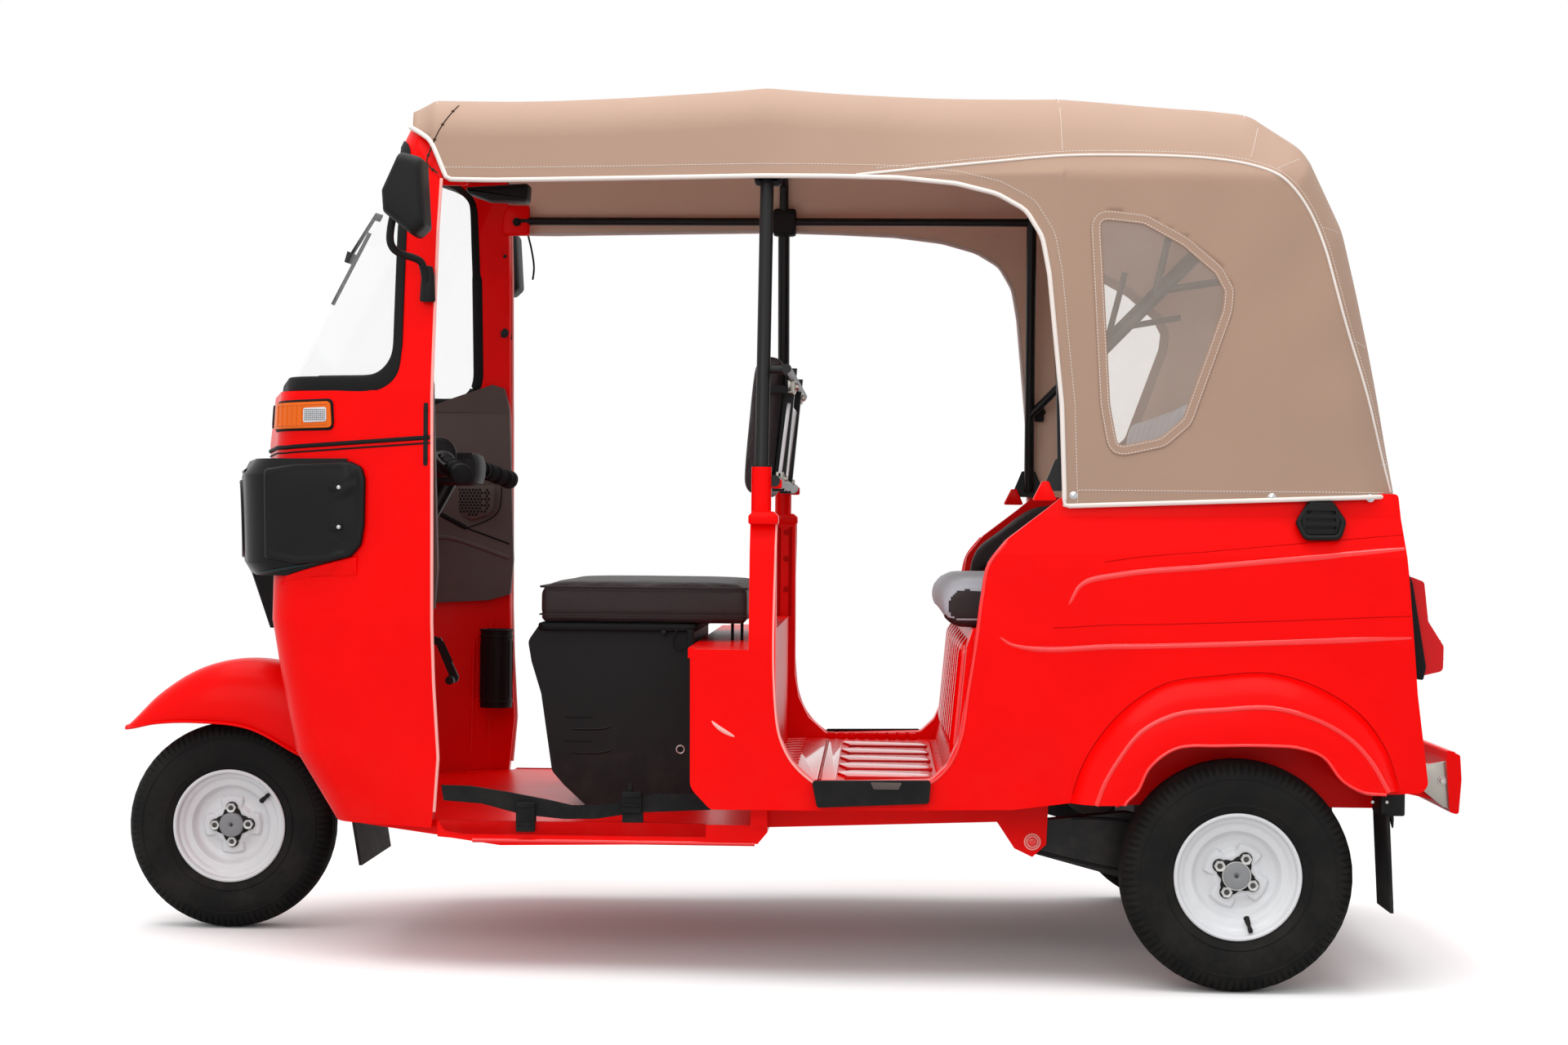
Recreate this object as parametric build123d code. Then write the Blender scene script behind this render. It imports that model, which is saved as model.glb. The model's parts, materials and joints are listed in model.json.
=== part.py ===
from build123d import *
import math
import os

# Three-wheeled auto rickshaw, millimetres.  +Z up, the nose points along -X, the near (left)
# side is -Y, and the origin is on the ground under the middle of the overall length.
# A "station" is a distance behind the front axle, so x = station - AXLE_TO_MIDDLE.

# ---------------------------------------------------------------- driving dimensions
FRONT_OVERHANG = 222.0           # front axle to fender tip
WHEELBASE = 2000.0
REAR_OVERHANG = 452.0            # rear axle to the bumper's rear
REAR_TRACK = 1150.0              # between the middles of the rear tyres
TYRE_R = 213.0
RIM_R = 117.0
SEAT_GAP = 0.3                   # gap between pieces that seat on or turn in each other

LENGTH = FRONT_OVERHANG + WHEELBASE + REAR_OVERHANG
AXLE_TO_MIDDLE = LENGTH / 2 - FRONT_OVERHANG
WHEEL_Y = REAR_TRACK / 2

SKIN = 5.0                       # pressed sheet that shows as one skin
PANEL = 22.0                     # double-skinned front cowl
SIDE_WALL = 52.0                 # double-skinned rear quarter
BODY_Y = 600.0                   # half-width of the rear body over its sill
FLARE_Y = 650.0                  # half-width over the wheel arches
FLOOR_Y = 529.0                  # half-width of the driver's floor
INNER_Y = BODY_Y - SIDE_WALL     # half-width inside the passenger cabin

COWL_BASE_Z = 272.0
SCREEN_BASE_Z = 1108.0
COWL_TOP_Z = 1632.0
DRIVER_FLOOR_Z = 285.0
PASSENGER_FLOOR_Z = 363.0
SEAT_DECK_Z = 658.0
BELT_Z = 916.0                   # top edge of the rear body
HOOD_EDGE_Z = 905.0              # lower edge of the hood at the rear

STEER_FOOT = (-70.0, 0.0)        # station and height where the steering axis meets the ground
STEER_HEAD = (455.0, 960.0)      # station and height of the handlebar clamp
STEER_TUBE_R = 20.0


# ---------------------------------------------------------------- drawing helpers
def at(station):
    """x of a station behind the front axle."""
    return station - AXLE_TO_MIDDLE


def from_rear(points):
    """Points whose first number is a distance behind the rear axle, as stations."""
    return [(WHEELBASE + point[0], *point[1:]) for point in points]


def outline(points, radius=0.0):
    """Closed face from points (u, v), its corners rounded by one radius or by a list of them."""
    radii = radius if isinstance(radius, (list, tuple)) else [radius] * len(points)
    if max(radii) > 0:
        return make_face(FilletPolyline(*points, radius=radii, close=True))
    return make_face(Polyline(*points, close=True))


def side_slab(points, y_low, y_high, radius=0.0):
    """Side-view outline of (station, z) points, extruded from y_low to y_high."""
    plane = Plane(origin=(0, y_low, 0), x_dir=(1, 0, 0), z_dir=(0, -1, 0))
    face = plane * outline([(at(s), z) for s, z in points], radius)
    return extrude(face, amount=y_high - y_low, dir=(0, 1, 0))


def front_slab(points, station_low, station_high, radius=0.0):
    """Front-view outline of (y, z) points, extruded between two stations."""
    plane = Plane(origin=(at(station_low), 0, 0), x_dir=(0, 1, 0), z_dir=(1, 0, 0))
    return extrude(plane * outline(points, radius), amount=station_high - station_low, dir=(1, 0, 0))


def block(s_low, s_high, y_low, y_high, z_low, z_high):
    """Box between two stations, two y and two heights."""
    size = (s_high - s_low, y_high - y_low, z_high - z_low)
    middle = (at((s_low + s_high) / 2), (y_low + y_high) / 2, (z_low + z_high) / 2)
    return Pos(*middle) * Box(*size)


def rod(start, end, radius):
    """Round bar between two (station, y, z) points."""
    a = Vector(at(start[0]), start[1], start[2])
    b = Vector(at(end[0]), end[1], end[2])
    bar = Cylinder(radius, (b - a).length, align=(Align.CENTER, Align.CENTER, Align.MIN))
    return Plane(origin=a, z_dir=b - a) * bar


def bent_tube(points, radius, bend):
    """Round bar along (station, y, z) points with one bend radius."""
    path = FilletPolyline(*[(at(s), y, z) for s, y, z in points], radius=bend)
    return sweep(Plane(origin=path @ 0, z_dir=path % 0) * Circle(radius), path=path)


def mirrored(*shapes):
    """The shapes, which lie at -Y, with their mirror images at +Y."""
    return [*shapes, *[mirror(shape, about=Plane.XZ) for shape in shapes]]


def both_ways(points):
    """Half outline at positive second coordinate, closed with its mirror image."""
    return [*points, *[(u, -v) for u, v in reversed(points)]]


def along_steering(distance):
    """Point (station, 0, z) on the steering axis, measured up from the ground."""
    rise = Vector(STEER_HEAD[0] - STEER_FOOT[0], 0, STEER_HEAD[1] - STEER_FOOT[1]).normalized()
    return (STEER_FOOT[0] + rise.X * distance, 0.0, STEER_FOOT[1] + rise.Z * distance)


# ---------------------------------------------------------------- front cowl and windscreen
# columns: z, front station, front half-width, corner station, corner half-width,
#          rear station, rear half-width
COWL_ROWS = [
    (COWL_BASE_Z, 288, 290, 300, 438, 503, 529),
    (404, 205, 290, 218, 440, 514, 536),
    (546, 165, 260, 196, 450, 504, 541),
    (657, 118, 160, 180, 454, 500, 543),
    (1000, 100, 140, 190, 456, 497, 545),
    (SCREEN_BASE_Z - 13, 110, 140, 196, 456, 496, 545),
]
SCREEN_ROWS = [
    (SCREEN_BASE_Z - 13, 122, 140, 206, 455, 496, 545),
    (1400, 276, 150, 335, 440, 498, 506),
    (COWL_TOP_Z, 392, 160, 442, 405, 500, 436),
]
COWL_CORNER_R = 90.0
SCREEN_REAR = 434.0              # station of the glass opening's rear edge
SCREEN_TOP_Z = 1590.0
ARCH_HALF = 285.0                # half-width of the front wheel house
ARCH_TOP_Z = 650.0
HOUSE_REAR = 335.0               # station of the wheel house's rear wall
GLASS = 6.0
RUBBER = 14.0


def cowl_form(rows, inset, overrun):
    """Ruled loft through the plan sections, drawn in by inset and run past the rear by overrun."""
    sections = []
    for z, s_front, w_front, s_corner, w_corner, s_rear, w_rear in rows:
        half = [
            (s_rear + overrun, w_rear - inset),
            (s_corner + 0.7 * inset, w_corner - 0.8 * inset),
            (s_front + inset, w_front),
        ]
        points = [(at(s), y) for s, y in both_ways(half)]
        radii = [0, COWL_CORNER_R, COWL_CORNER_R, COWL_CORNER_R, COWL_CORNER_R, 0]
        sections.append(Plane.XY.offset(z) * outline(points, radii))
    return loft(sections, ruled=True)


def screen_hole(grow):
    """Side-view block that cuts the wrap-round windscreen opening."""
    points = [
        (0, SCREEN_BASE_Z - grow),
        (SCREEN_REAR + grow, SCREEN_BASE_Z - grow),
        (SCREEN_REAR + grow, SCREEN_TOP_Z + grow),
        (0, SCREEN_TOP_Z + grow),
    ]
    return side_slab(points, -700, 700, [0, 60 + grow, 40 + grow, 0])


def front_cowl():
    lower = cowl_form(COWL_ROWS, 0, 0) - cowl_form(COWL_ROWS, PANEL, 10)
    upper = cowl_form(SCREEN_ROWS, 0, 0) - cowl_form(SCREEN_ROWS, PANEL, 10) - screen_hole(0)
    upper &= side_slab(HOOD_EAVES, -700, 700) + hood_form(HOOD_T)
    arch = [(-ARCH_HALF, 0), (ARCH_HALF, 0), (ARCH_HALF, ARCH_TOP_Z), (-ARCH_HALF, ARCH_TOP_Z)]
    return lower + upper - front_slab(arch, -100, HOUSE_REAR, [0, 0, 150, 150])


def windscreen():
    glass = cowl_form(SCREEN_ROWS, 8, 5) - cowl_form(SCREEN_ROWS, 8 + GLASS, 10)
    return glass & screen_hole(-RUBBER)


def windscreen_rubber():
    """Seal around the glass, proud of the cowl and lapping the glass's edge."""
    band = cowl_form(SCREEN_ROWS, -3, 5) - cowl_form(SCREEN_ROWS, PANEL - 4, 10)
    return (band & screen_hole(0)) - screen_hole(-RUBBER)


def house_form(skin):
    """Solid of the front wheel house: its room, grown by the skin at the top and the rear."""
    profile = [
        (0, COWL_BASE_Z),
        (0, ARCH_TOP_Z + skin),
        (231, ARCH_TOP_Z + skin),
        (HOUSE_REAR + skin, 559),
        (HOUSE_REAR + skin, COWL_BASE_Z),
    ]
    half = ARCH_HALF - SKIN + skin
    return side_slab(profile, -half, half)


def front_bulkhead():
    """Wheel house: roof, raked wall, two cheeks and the steering tube's bearing."""
    house = (house_form(SKIN) - house_form(0)) & cowl_form(COWL_ROWS, PANEL, 10)
    house += rod(along_steering(688), along_steering(770), STEER_TUBE_R + 12)
    return house - rod(along_steering(600), along_steering(900), STEER_TUBE_R + SEAT_GAP)


# columns as those of COWL_ROWS
MASK_ROWS = [
    (742, 66, 150, 150, 448, 300, 487),
    (765, 52, 150, 132, 455, 312, 497),
    (936, 45, 150, 128, 462, 344, 512),
    (966, 60, 150, 150, 458, 330, 502),
]


def headlamp_mask():
    """Black moulding that wraps the nose from one cheek to the other."""
    band = cowl_form(MASK_ROWS, 0, 0) - cowl_form(COWL_ROWS, 0, 0)
    chin = [(-130, 628), (130, 628), (200, 742), (-200, 742)]
    chin_rows = [(628, 96, 110, 150, 300, 300, 420), (742, 66, 150, 150, 448, 300, 487)]
    tongue = front_slab(chin, 0, 300) & cowl_form(chin_rows, 0, 0)
    mask = band + (tongue - cowl_form(COWL_ROWS, 0, 0))
    for socket in lamp_barrels():
        mask -= socket
    return mask


def lamp_barrels():
    return [rod((0, y, 850), (140, y, 850), 70) for y in (-165, 165)]


def headlamps():
    """Two round lamps set just inside the mask's face."""
    face = cowl_form(MASK_ROWS, 2, 0) - cowl_form(COWL_ROWS, 0, 0)
    return [barrel & face for barrel in lamp_barrels()]


def turn_lamps():
    lamp = side_slab([(168, 1022), (300, 1025), (296, 1075), (168, 1071)], -520, -380, 8)
    lamp &= cowl_form(COWL_ROWS, -10, 0)
    return mirrored(lamp - cowl_form(COWL_ROWS, 0, 0))


# ---------------------------------------------------------------- front fittings
def mirrors():
    head = [(456, 1526), (498, 1515), (506, 1388), (485, 1368), (427, 1414), (424, 1454)]
    shell = side_slab(head, -690, -585, [12, 12, 12, 10, 10, 12])
    arm = bent_tube([(440, -620, 1420), (434, -610, 1360), (478, -560, 1335), (478, -532, 1300)], 8, 14)
    foot = side_slab([(462, 1262), (492, 1262), (496, 1345), (468, 1345)], -540, -500, 6)
    return mirrored((shell + arm + foot) - cowl_form(SCREEN_ROWS, 0, 0))


def wiper():
    """Arm from a pivot in the glass to a blade that lies down the screen's front."""
    y = -110
    arm = rod((308, y, 1474), (252, y, 1384), 4)
    blade = rod((294, y, 1436), (219, y, 1289), 4)
    hub = side_slab([(244, 1376), (262, 1370), (270, 1390), (250, 1398)], y - 10, y + 10)
    pivot = rod((304, y, 1470), (350, y, 1456), 8)
    return arm + blade + hub + pivot - cowl_form(SCREEN_ROWS, 8, 5)


def dash_trim():
    """Inner lining of both cheeks and the pocketed facia between them."""
    profile = [
        (320, 663), (457, 670), (503, 684), (509, 760), (497, 1107), (486, 1151), (461, 1159), (377, 1128),
        (320, 1105),
    ]
    room = cowl_form(COWL_ROWS, PANEL, 10) + cowl_form(SCREEN_ROWS, PANEL, 10)
    core = cowl_form(COWL_ROWS, PANEL + 14, 20) + cowl_form(SCREEN_ROWS, PANEL + 14, 20)
    lining = mirrored((side_slab(profile, -532, -360) & room) - core)
    facia = side_slab([(170, 900), (205, 900), (260, 1085), (150, 1085)], -470, 470)
    facia &= cowl_form(COWL_ROWS, PANEL, 10)
    return [*lining, facia]


def brake_pedal():
    arm = side_slab([(391, 597), (405, 600), (445, 515), (440, 505), (420, 505), (424, 520)], 140, 152)
    pad = rod((430, 110, 510), (430, 180, 510), 9)
    stem = side_slab([(290, 612), (290, 575), (400, 585), (400, 600)], 140, 152)
    return (arm + pad + stem) - house_form(SKIN)


def bottle_holder():
    can = rod((480, 455, 430), (480, 455, 605), 36) - rod((480, 455, 440), (480, 455, 610), 31)
    plate = block(455, 505, 486, 540, 450, 590) & cowl_form(COWL_ROWS, PANEL, 10)
    return can + plate


def sill_rail():
    """Waved guard rail along the near door sill, on two brackets."""
    top = [
        (521, 352), (575, 351), (644, 341), (722, 327), (768, 317), (814, 318), (860, 324), (921, 341),
        (1013, 342),
    ]
    low = [(1029, 313), (891, 306), (814, 293), (753, 292), (676, 299), (598, 319), (526, 324)]
    rail = side_slab(top + low, -FLOOR_Y, 12 - FLOOR_Y)
    for s_low, s_high in ((663, 700), (863, 902)):
        rail += block(s_low, s_high, -FLOOR_Y, 12 - FLOOR_Y, DRIVER_FLOOR_Z, 312)
    return rail


# ---------------------------------------------------------------- floors and rear body
PARTITION = (1105.0, 1136.0)     # stations of the wall behind the driver
POST_CAP_Z = 870.0               # top of the sheet-steel posts behind the driver


def driver_floor():
    """Pressed pan under the driver, stepped in where it lies inside the cowl."""
    profile = [
        (300, 272),
        (540, 254),
        (634, 241),
        (1118, 250),
        (PARTITION[1], 272),
        (PARTITION[1], DRIVER_FLOOR_Z),
        (300, DRIVER_FLOOR_Z),
    ]
    pan = side_slab(profile, -FLOOR_Y, FLOOR_Y)
    inside = cowl_form([(200, *COWL_ROWS[0][1:]), (400, *COWL_ROWS[0][1:])], PANEL, 15)
    front = pan & block(300, 515, -600, 600, 200, 300) & inside
    return front + (pan & block(515, 1200, -600, 600, 200, 300)) - house_room()


def house_room():
    """Space taken by the front wheel house at floor level."""
    return block(0, HOUSE_REAR + SKIN, -ARCH_HALF, ARCH_HALF, 0, 400)


def driver_partition():
    """Low wall behind the driver with the shelf that carries the seat's rear."""
    wall = block(*PARTITION, -INNER_Y, INNER_Y, DRIVER_FLOOR_Z, 640)
    shelf = block(985, PARTITION[0], -INNER_Y, INNER_Y, 598, 617)
    return wall + shelf


# side-view outline of the rear quarter, from the post's cap round to the doorway
QUARTER = [
    (1101, POST_CAP_Z), (1101, 617), (993, 617), (995, 361), (1033, 321), (1229, 322),
    *from_rear([
        (-410, 328), (-300, 343), (-210, 345), (290, 366), (349, 370), (326, 549), (308, 774), (293, BELT_Z),
        (-310, BELT_Z), (-348, 885), (-423, 827), (-460, 781), (-481, 646), (-509, 458), (-531, 408),
        (-561, 379),
    ]),
    (1224, 372), (1183, 409), (1160, 454), (1151, 506), (1149, POST_CAP_Z),
]
QUARTER_R = [6, 0, 10, 30, 20, 0, 0, 0, 0, 0, 20, 0, 0, 8, 20, 0, 30, 30, 0, 30, 15, 20, 15, 20, 20, 20, 6]
# front-view section of the quarter: sill, waist, crease and belt
QUARTER_SECTION = [
    (-INNER_Y, 300), (-INNER_Y, 930), (-572, 930), (-576, 870), (-602, 800), (-606, 640), (-BODY_Y, 300),
]
FLARE_OUTER = from_rear([
    (-305, 343), (-257, 456), (-205, 516), (-132, 562), (61, 582), (149, 556), (224, 507), (268, 448), (294, 374),
])
FLARE_FACE = from_rear([
    (-255, 343), (-218, 420), (-178, 472), (-120, 502), (55, 516), (130, 498), (190, 466), (228, 428), (262, 374),
])
WHEEL_HOLE = from_rear([
    (-210, 250), (-210, 348), (-188, 369), (-165, 414), (-118, 450), (-74, 455), (103, 455), (147, 441),
    (184, 392), (221, 371), (262, 367), (262, 250),
])
VENT = from_rear([(129, 900), (170, 900), (193, 863), (182, 833), (118, 832), (104, 862)])
VENT_FLOOR_Y = 578.0             # depth of the vent's pocket in the quarter
REAR_WALL = from_rear([(349, 370), (326, 549), (308, 774), (293, BELT_Z)])
DECK_REAR = WHEELBASE + 290.0
BULKHEAD_FOOT = WHEELBASE - 530.0


def wheel_flare():
    """Blister over the rear wheel: a loft from the panel out to the arch's flat lip."""
    def face(points, y):
        plane = Plane(origin=(0, y, 0), x_dir=(1, 0, 0), z_dir=(0, -1, 0))
        return plane * outline([(at(s), z) for s, z in points])

    return loft([face(FLARE_OUTER, 2 - BODY_Y), face(FLARE_FACE, -FLARE_Y)], ruled=True)


def quarter_panel():
    wall = side_slab(QUARTER, -620, -INNER_Y, QUARTER_R) & front_slab(QUARTER_SECTION, 900, WHEELBASE + 400)
    body = wall + wheel_flare()
    return body - side_slab(WHEEL_HOLE, -700, -INNER_Y + 1) - vent_pocket()


def vent_pocket():
    return side_slab(VENT, -640, -VENT_FLOOR_Y)


def side_vents():
    """Hexagonal louvred outlets let into the quarters."""
    body = side_slab(VENT, -596, -VENT_FLOOR_Y)
    for step in range(3):
        z = 850 + 14 * step
        body -= block(WHEELBASE + 122, WHEELBASE + 176, -610, -590, z, z + 6)
    return mirrored(body)


def rear_slab(y_low, y_high, grow_in):
    """Sloping tail wall between the quarters."""
    inner = [(s - grow_in, z) for s, z in reversed(REAR_WALL)]
    return side_slab(REAR_WALL + inner, y_low, y_high)


LID_Y = 330.0
LID_LOW_Z = 452.0
LID_TOP_Z = 846.0
LID_GAP = 5.0
LID_HINGE = (WHEELBASE + 308.0, 849.0)   # station and height of the lid's hinge pins
LID_PIN_R = 3.0
KNUCKLE_R = 6.0
KNUCKLE_Y = (-220.0, 220.0)      # middles of the two hinges
KNUCKLE_HALF = 30.0


def hinge_rod(y_low, y_high, radius):
    """Round bar on the lid's hinge axis."""
    return rod((LID_HINGE[0], y_low, LID_HINGE[1]), (LID_HINGE[0], y_high, LID_HINGE[1]), radius)


def rear_panel():
    """Tail wall with the lid's opening and the lugs and pins of its two hinges."""
    wall = rear_slab(-INNER_Y, INNER_Y, 25)
    half = LID_Y + LID_GAP
    panel = wall - lid_room(half, LID_LOW_Z - LID_GAP, LID_TOP_Z + LID_GAP)
    for y in KNUCKLE_Y:
        panel += hinge_rod(y - KNUCKLE_HALF - 9, y + KNUCKLE_HALF + 9, LID_PIN_R)
        for side in (-1, 1):
            low, high = sorted((y + side * (KNUCKLE_HALF + 1), y + side * (KNUCKLE_HALF + 9)))
            lug = block(LID_HINGE[0] - KNUCKLE_R, LID_HINGE[0] + KNUCKLE_R, low, high, LID_HINGE[1], 880)
            foot = block(LID_HINGE[0] - 23, LID_HINGE[0], low, high, 856, 880)
            panel += hinge_rod(low, high, KNUCKLE_R) + lug + (foot - wall)
    return panel


def lid_room(half, z_low, z_high):
    """Block through the tail wall, as wide as the lid or its opening."""
    return block(WHEELBASE + 200, WHEELBASE + 400, -half, half, z_low, z_high)


def engine_lid():
    """Louvred lid over the engine bay, hinged along its top edge."""
    lid = rear_slab(-LID_Y, LID_Y, 16) & lid_room(LID_Y, LID_LOW_Z, LID_TOP_Z)
    for y in KNUCKLE_Y:
        low, high = y - KNUCKLE_HALF, y + KNUCKLE_HALF
        tongue = block(LID_HINGE[0] - 18, LID_HINGE[0], low, high, 836, LID_HINGE[1] - 3)
        keep = block(LID_HINGE[0] - 18, LID_HINGE[0] + 22, low, high, 800, 860)
        lid += (hinge_rod(low, high, KNUCKLE_R) + tongue) & keep
        lid -= hinge_rod(low, high, LID_PIN_R + SEAT_GAP)
    for row in range(6):
        z = 520 + 40 * row
        for y in (-165, 165):
            lid -= Pos(0, y, 0) * lid_room(115, z, z + 12)
    return lid


def passenger_floor():
    return block(PARTITION[1], BULKHEAD_FOOT, -INNER_Y, INNER_Y, PASSENGER_FLOOR_Z - 20, PASSENGER_FLOOR_Z)


def passenger_bulkhead():
    face = [
        (BULKHEAD_FOOT, PASSENGER_FLOOR_Z - 20), (BULKHEAD_FOOT, PASSENGER_FLOOR_Z), (BULKHEAD_FOOT + 17, 428),
        (BULKHEAD_FOOT + 35, 625), (BULKHEAD_FOOT + 46, SEAT_DECK_Z),
    ]
    back = [(s + 16, z) for s, z in reversed(face)]
    deck = block(BULKHEAD_FOOT + 60, DECK_REAR - 16, -INNER_Y, INNER_Y, SEAT_DECK_Z - 16, SEAT_DECK_Z)
    return side_slab(face + back, -INNER_Y, INNER_Y) + deck


HOUSE_Y = 494.0                  # inner face of the rear wheel houses


def wheel_houses():
    outer = from_rear([(-216, 330), (-216, 400), (-138, 468), (122, 468), (215, 400), (270, 388), (270, 330)])
    inner = from_rear([(-210, 300), (-210, 398), (-136, 462), (120, 462), (213, 394), (264, 382), (264, 300)])
    skin = side_slab(outer, -INNER_Y, -HOUSE_Y) - side_slab(inner, -INNER_Y - 1, -HOUSE_Y - 6)
    return mirrored(skin)


def step_plates():
    plate = [(1220, 378), (1439, 381), (1436, 339), (1230, 329)]
    return mirrored(side_slab(plate, -616, -590, 6) - front_slab(QUARTER_SECTION, 900, WHEELBASE))


def side_members():
    """Box rails under the body, each with the bracket of its trailing arm."""
    front = [(PARTITION[1], 343), (PARTITION[1], 275)]
    rail = side_slab(front + from_rear([(-433, 291), (-418, 343)]), -470, -430)
    ear = from_rear([(-444, 343), (-444, 308), (-400, 242), (-366, 226), (-340, 250), (-336, 343)])
    bracket = side_slab(ear, -474, -466) + side_slab(ear, -414, -406)
    pin = rod((PIVOT[0], -474, PIVOT[1]), (PIVOT[0], -406, PIVOT[1]), PIN_R)
    beam = side_slab(from_rear([(-433, 320), (-300, 343), (-440, 343)]), -474, -406)
    return mirrored(rail + bracket + pin + beam)


# ---------------------------------------------------------------- seats
SEAT_BASE_Z = 652.0              # top of the box under the driver's seat


def driver_seat_base():
    profile = [
        (674, SEAT_BASE_Z), (648, 614), (655, 574), (675, 510), (698, 357), (722, 330), (771, DRIVER_FLOOR_Z),
        (973, DRIVER_FLOOR_Z), (970, 640), (945, SEAT_BASE_Z),
    ]
    return side_slab(profile, -270, 270, [20, 20, 30, 0, 20, 20, 0, 0, 10, 0])


def driver_seat():
    base = SEAT_BASE_Z + SEAT_GAP
    profile = [(668, base), (664, 724), (740, 730), (1090, 724), (1092, base)]
    return side_slab(profile, -300, 300, [12, 24, 0, 20, 14])


BACKREST = [(1066, 905), (1122, 893), (1134, 981), (1144, 1078), (1154, 1188), (1112, 1195), (1089, 1109)]


def driver_backrest():
    return side_slab(BACKREST, -280, 280, [24, 14, 0, 0, 14, 14, 0])


def backrest_bars():
    """Cross tubes between the driver's posts, with the backrest's two straps."""
    strap = [(1126, 915), (1150, 915), (1173, 1160), (1146, 1160)]
    bars = rod((1144, -568, 930), (1144, 568, 930), 11) + rod((1164, -545, 1140), (1164, 545, 1140), 9)
    for side in (-1, 1):
        bars += side_slab(strap, side * 200 - 18, side * 200 + 18)
        bars += rod((POLE_S + 12, side * 520, 1140), (1164, side * 520, 1140), 8)
    bars -= side_slab(BACKREST, -290, 290)
    for pole in hood_poles():
        bars -= pole
    return bars


def passenger_seat():
    profile = from_rear([(-551, 746), (-165, 746), (-165, SEAT_DECK_Z), (-551, SEAT_DECK_Z)])
    return side_slab(profile, -500, 500, [42, 20, 10, 34])


def passenger_backrest():
    profile = from_rear([(-158, SEAT_DECK_Z), (-64, SEAT_DECK_Z), (-38, 1090), (-100, 1100)])
    return side_slab(profile, -500, 500, [20, 10, 20, 25])


def side_trim():
    """Padded linings on the insides of the quarters."""
    profile = from_rear([
        (-468, 662), (-460, 781), (-423, 827), (-348, 880), (-300, 902), (-168, 902), (-168, 765), (-455, 768),
    ])
    return mirrored(side_slab(profile, SEAT_GAP - INNER_Y, -506, [0, 20, 20, 20, 0, 12, 12, 8]))


# ---------------------------------------------------------------- hood and its frame
HOOD_FRONT = 386.0
# columns: station, half-width at the belt, half-width at the eaves, shoulder half-width,
#          shoulder z, crown z
HOOD_ROWS = [
    (HOOD_FRONT, 520, 442, 330, 1624, 1648),
    (450, 540, 462, 372, 1650, 1684),
    (690, 560, 466, 385, 1672, 1701),
    (1108, 575, 474, 385, 1692, 1722),
    *from_rear([
        (-324, 586, 536, 400, 1668, 1707),
        (30, 592, 530, 405, 1640, 1686),
        (420, 596, 520, 405, 1560, 1610),
    ]),
]
EAVES_Z = 1508.0
HOOD_T = 5.0
HOOD_BACK_TOP = WHEELBASE + 40.0
HOOD_BACK = [
    *from_rear([(70, 1672), (156, 1574), (220, 1408), (261, 1182), (304, HOOD_EDGE_Z)]),
    (360, HOOD_EDGE_Z), (360, 1740), (HOOD_BACK_TOP, 1740),
]
HOOD_EAVES = [
    (300, 1654), (378, 1654), (442, 1577), (496, 1498), (598, 1499), (1108, 1509), (1246, 1507),
    *from_rear([
        (-631, 1503), (-523, 1491), (-447, 1471), (-393, 1440), (-362, 1389), (-349, 1320), (-325, 1075),
        (-319, 893), (-319, 700),
    ]),
    (300, 700),
]
HOOD_WINDOW = from_rear([
    (-265, 1433), (-173, 1423), (-97, 1381), (-36, 1328), (-16, 1290), (-20, 1252), (-50, 1168),
    (-94, 1046), (-139, 1007), (-230, 987), (-246, 1075),
])
WINDOW_R = [25, 0, 30, 20, 15, 20, 0, 30, 25, 25, 0]


def hood_form(inset):
    """Closed outer shape of the hood, drawn in by inset."""
    sections = []
    for s, w_belt, w_eaves, w_shoulder, z_shoulder, z_crown in HOOD_ROWS:
        if inset and s == HOOD_FRONT:
            s -= 20
        half = [
            (w_belt - inset, HOOD_EDGE_Z - 40),
            (w_eaves - inset, EAVES_Z),
            (w_shoulder + 48 - inset, z_shoulder - 40),
            (w_shoulder - inset, z_shoulder - inset),
            (60, z_crown - inset),
        ]
        plane = Plane(origin=(at(s), 0, 0), x_dir=(0, 1, 0), z_dir=(1, 0, 0))
        sections.append(plane * outline(both_ways_z(half)))
    shape = loft(sections, ruled=True)
    return shape & side_slab(shrunk(HOOD_BACK, inset), -640, 640)


def both_ways_z(points):
    """Half outline of (y, z) points at +y, closed with its mirror image."""
    return [*points, *[(-y, z) for y, z in reversed(points)]]


def shrunk(points, inset):
    """Side outline drawn in from the rear and from above, and run past the lower edge."""
    moved = []
    for s, z in points:
        new_s = s - inset if s > HOOD_BACK_TOP else s
        new_z = z - inset if z > HOOD_EDGE_Z else z - 10 if inset else z
        moved.append((new_s, new_z))
    return moved


def window_cut(grow):
    middle = [sum(values) / len(HOOD_WINDOW) for values in zip(*HOOD_WINDOW)]
    points = []
    for s, z in HOOD_WINDOW:
        reach = math.hypot(s - middle[0], z - middle[1])
        scale = (reach + grow) / reach
        points.append((middle[0] + (s - middle[0]) * scale, middle[1] + (z - middle[1]) * scale))
    return side_slab(points, -700, 700, WINDOW_R)


def hood_cover():
    cover = hood_form(0) - hood_form(HOOD_T)
    return cover - side_slab(HOOD_EAVES, -700, 700) - window_cut(0)


def hood_windows():
    pane = (hood_form(1) - hood_form(3)) & window_cut(0)
    return pane - block(1000, WHEELBASE + 400, -300, 300, 0, 2000)


POLE_S = 1120.0
REAR_POLE_S = WHEELBASE - 326.0
RAIL_Y = 440.0
RAIL_Z = 1528.0
POLE_R = 13.0
RAIL_R = 9.0


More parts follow.
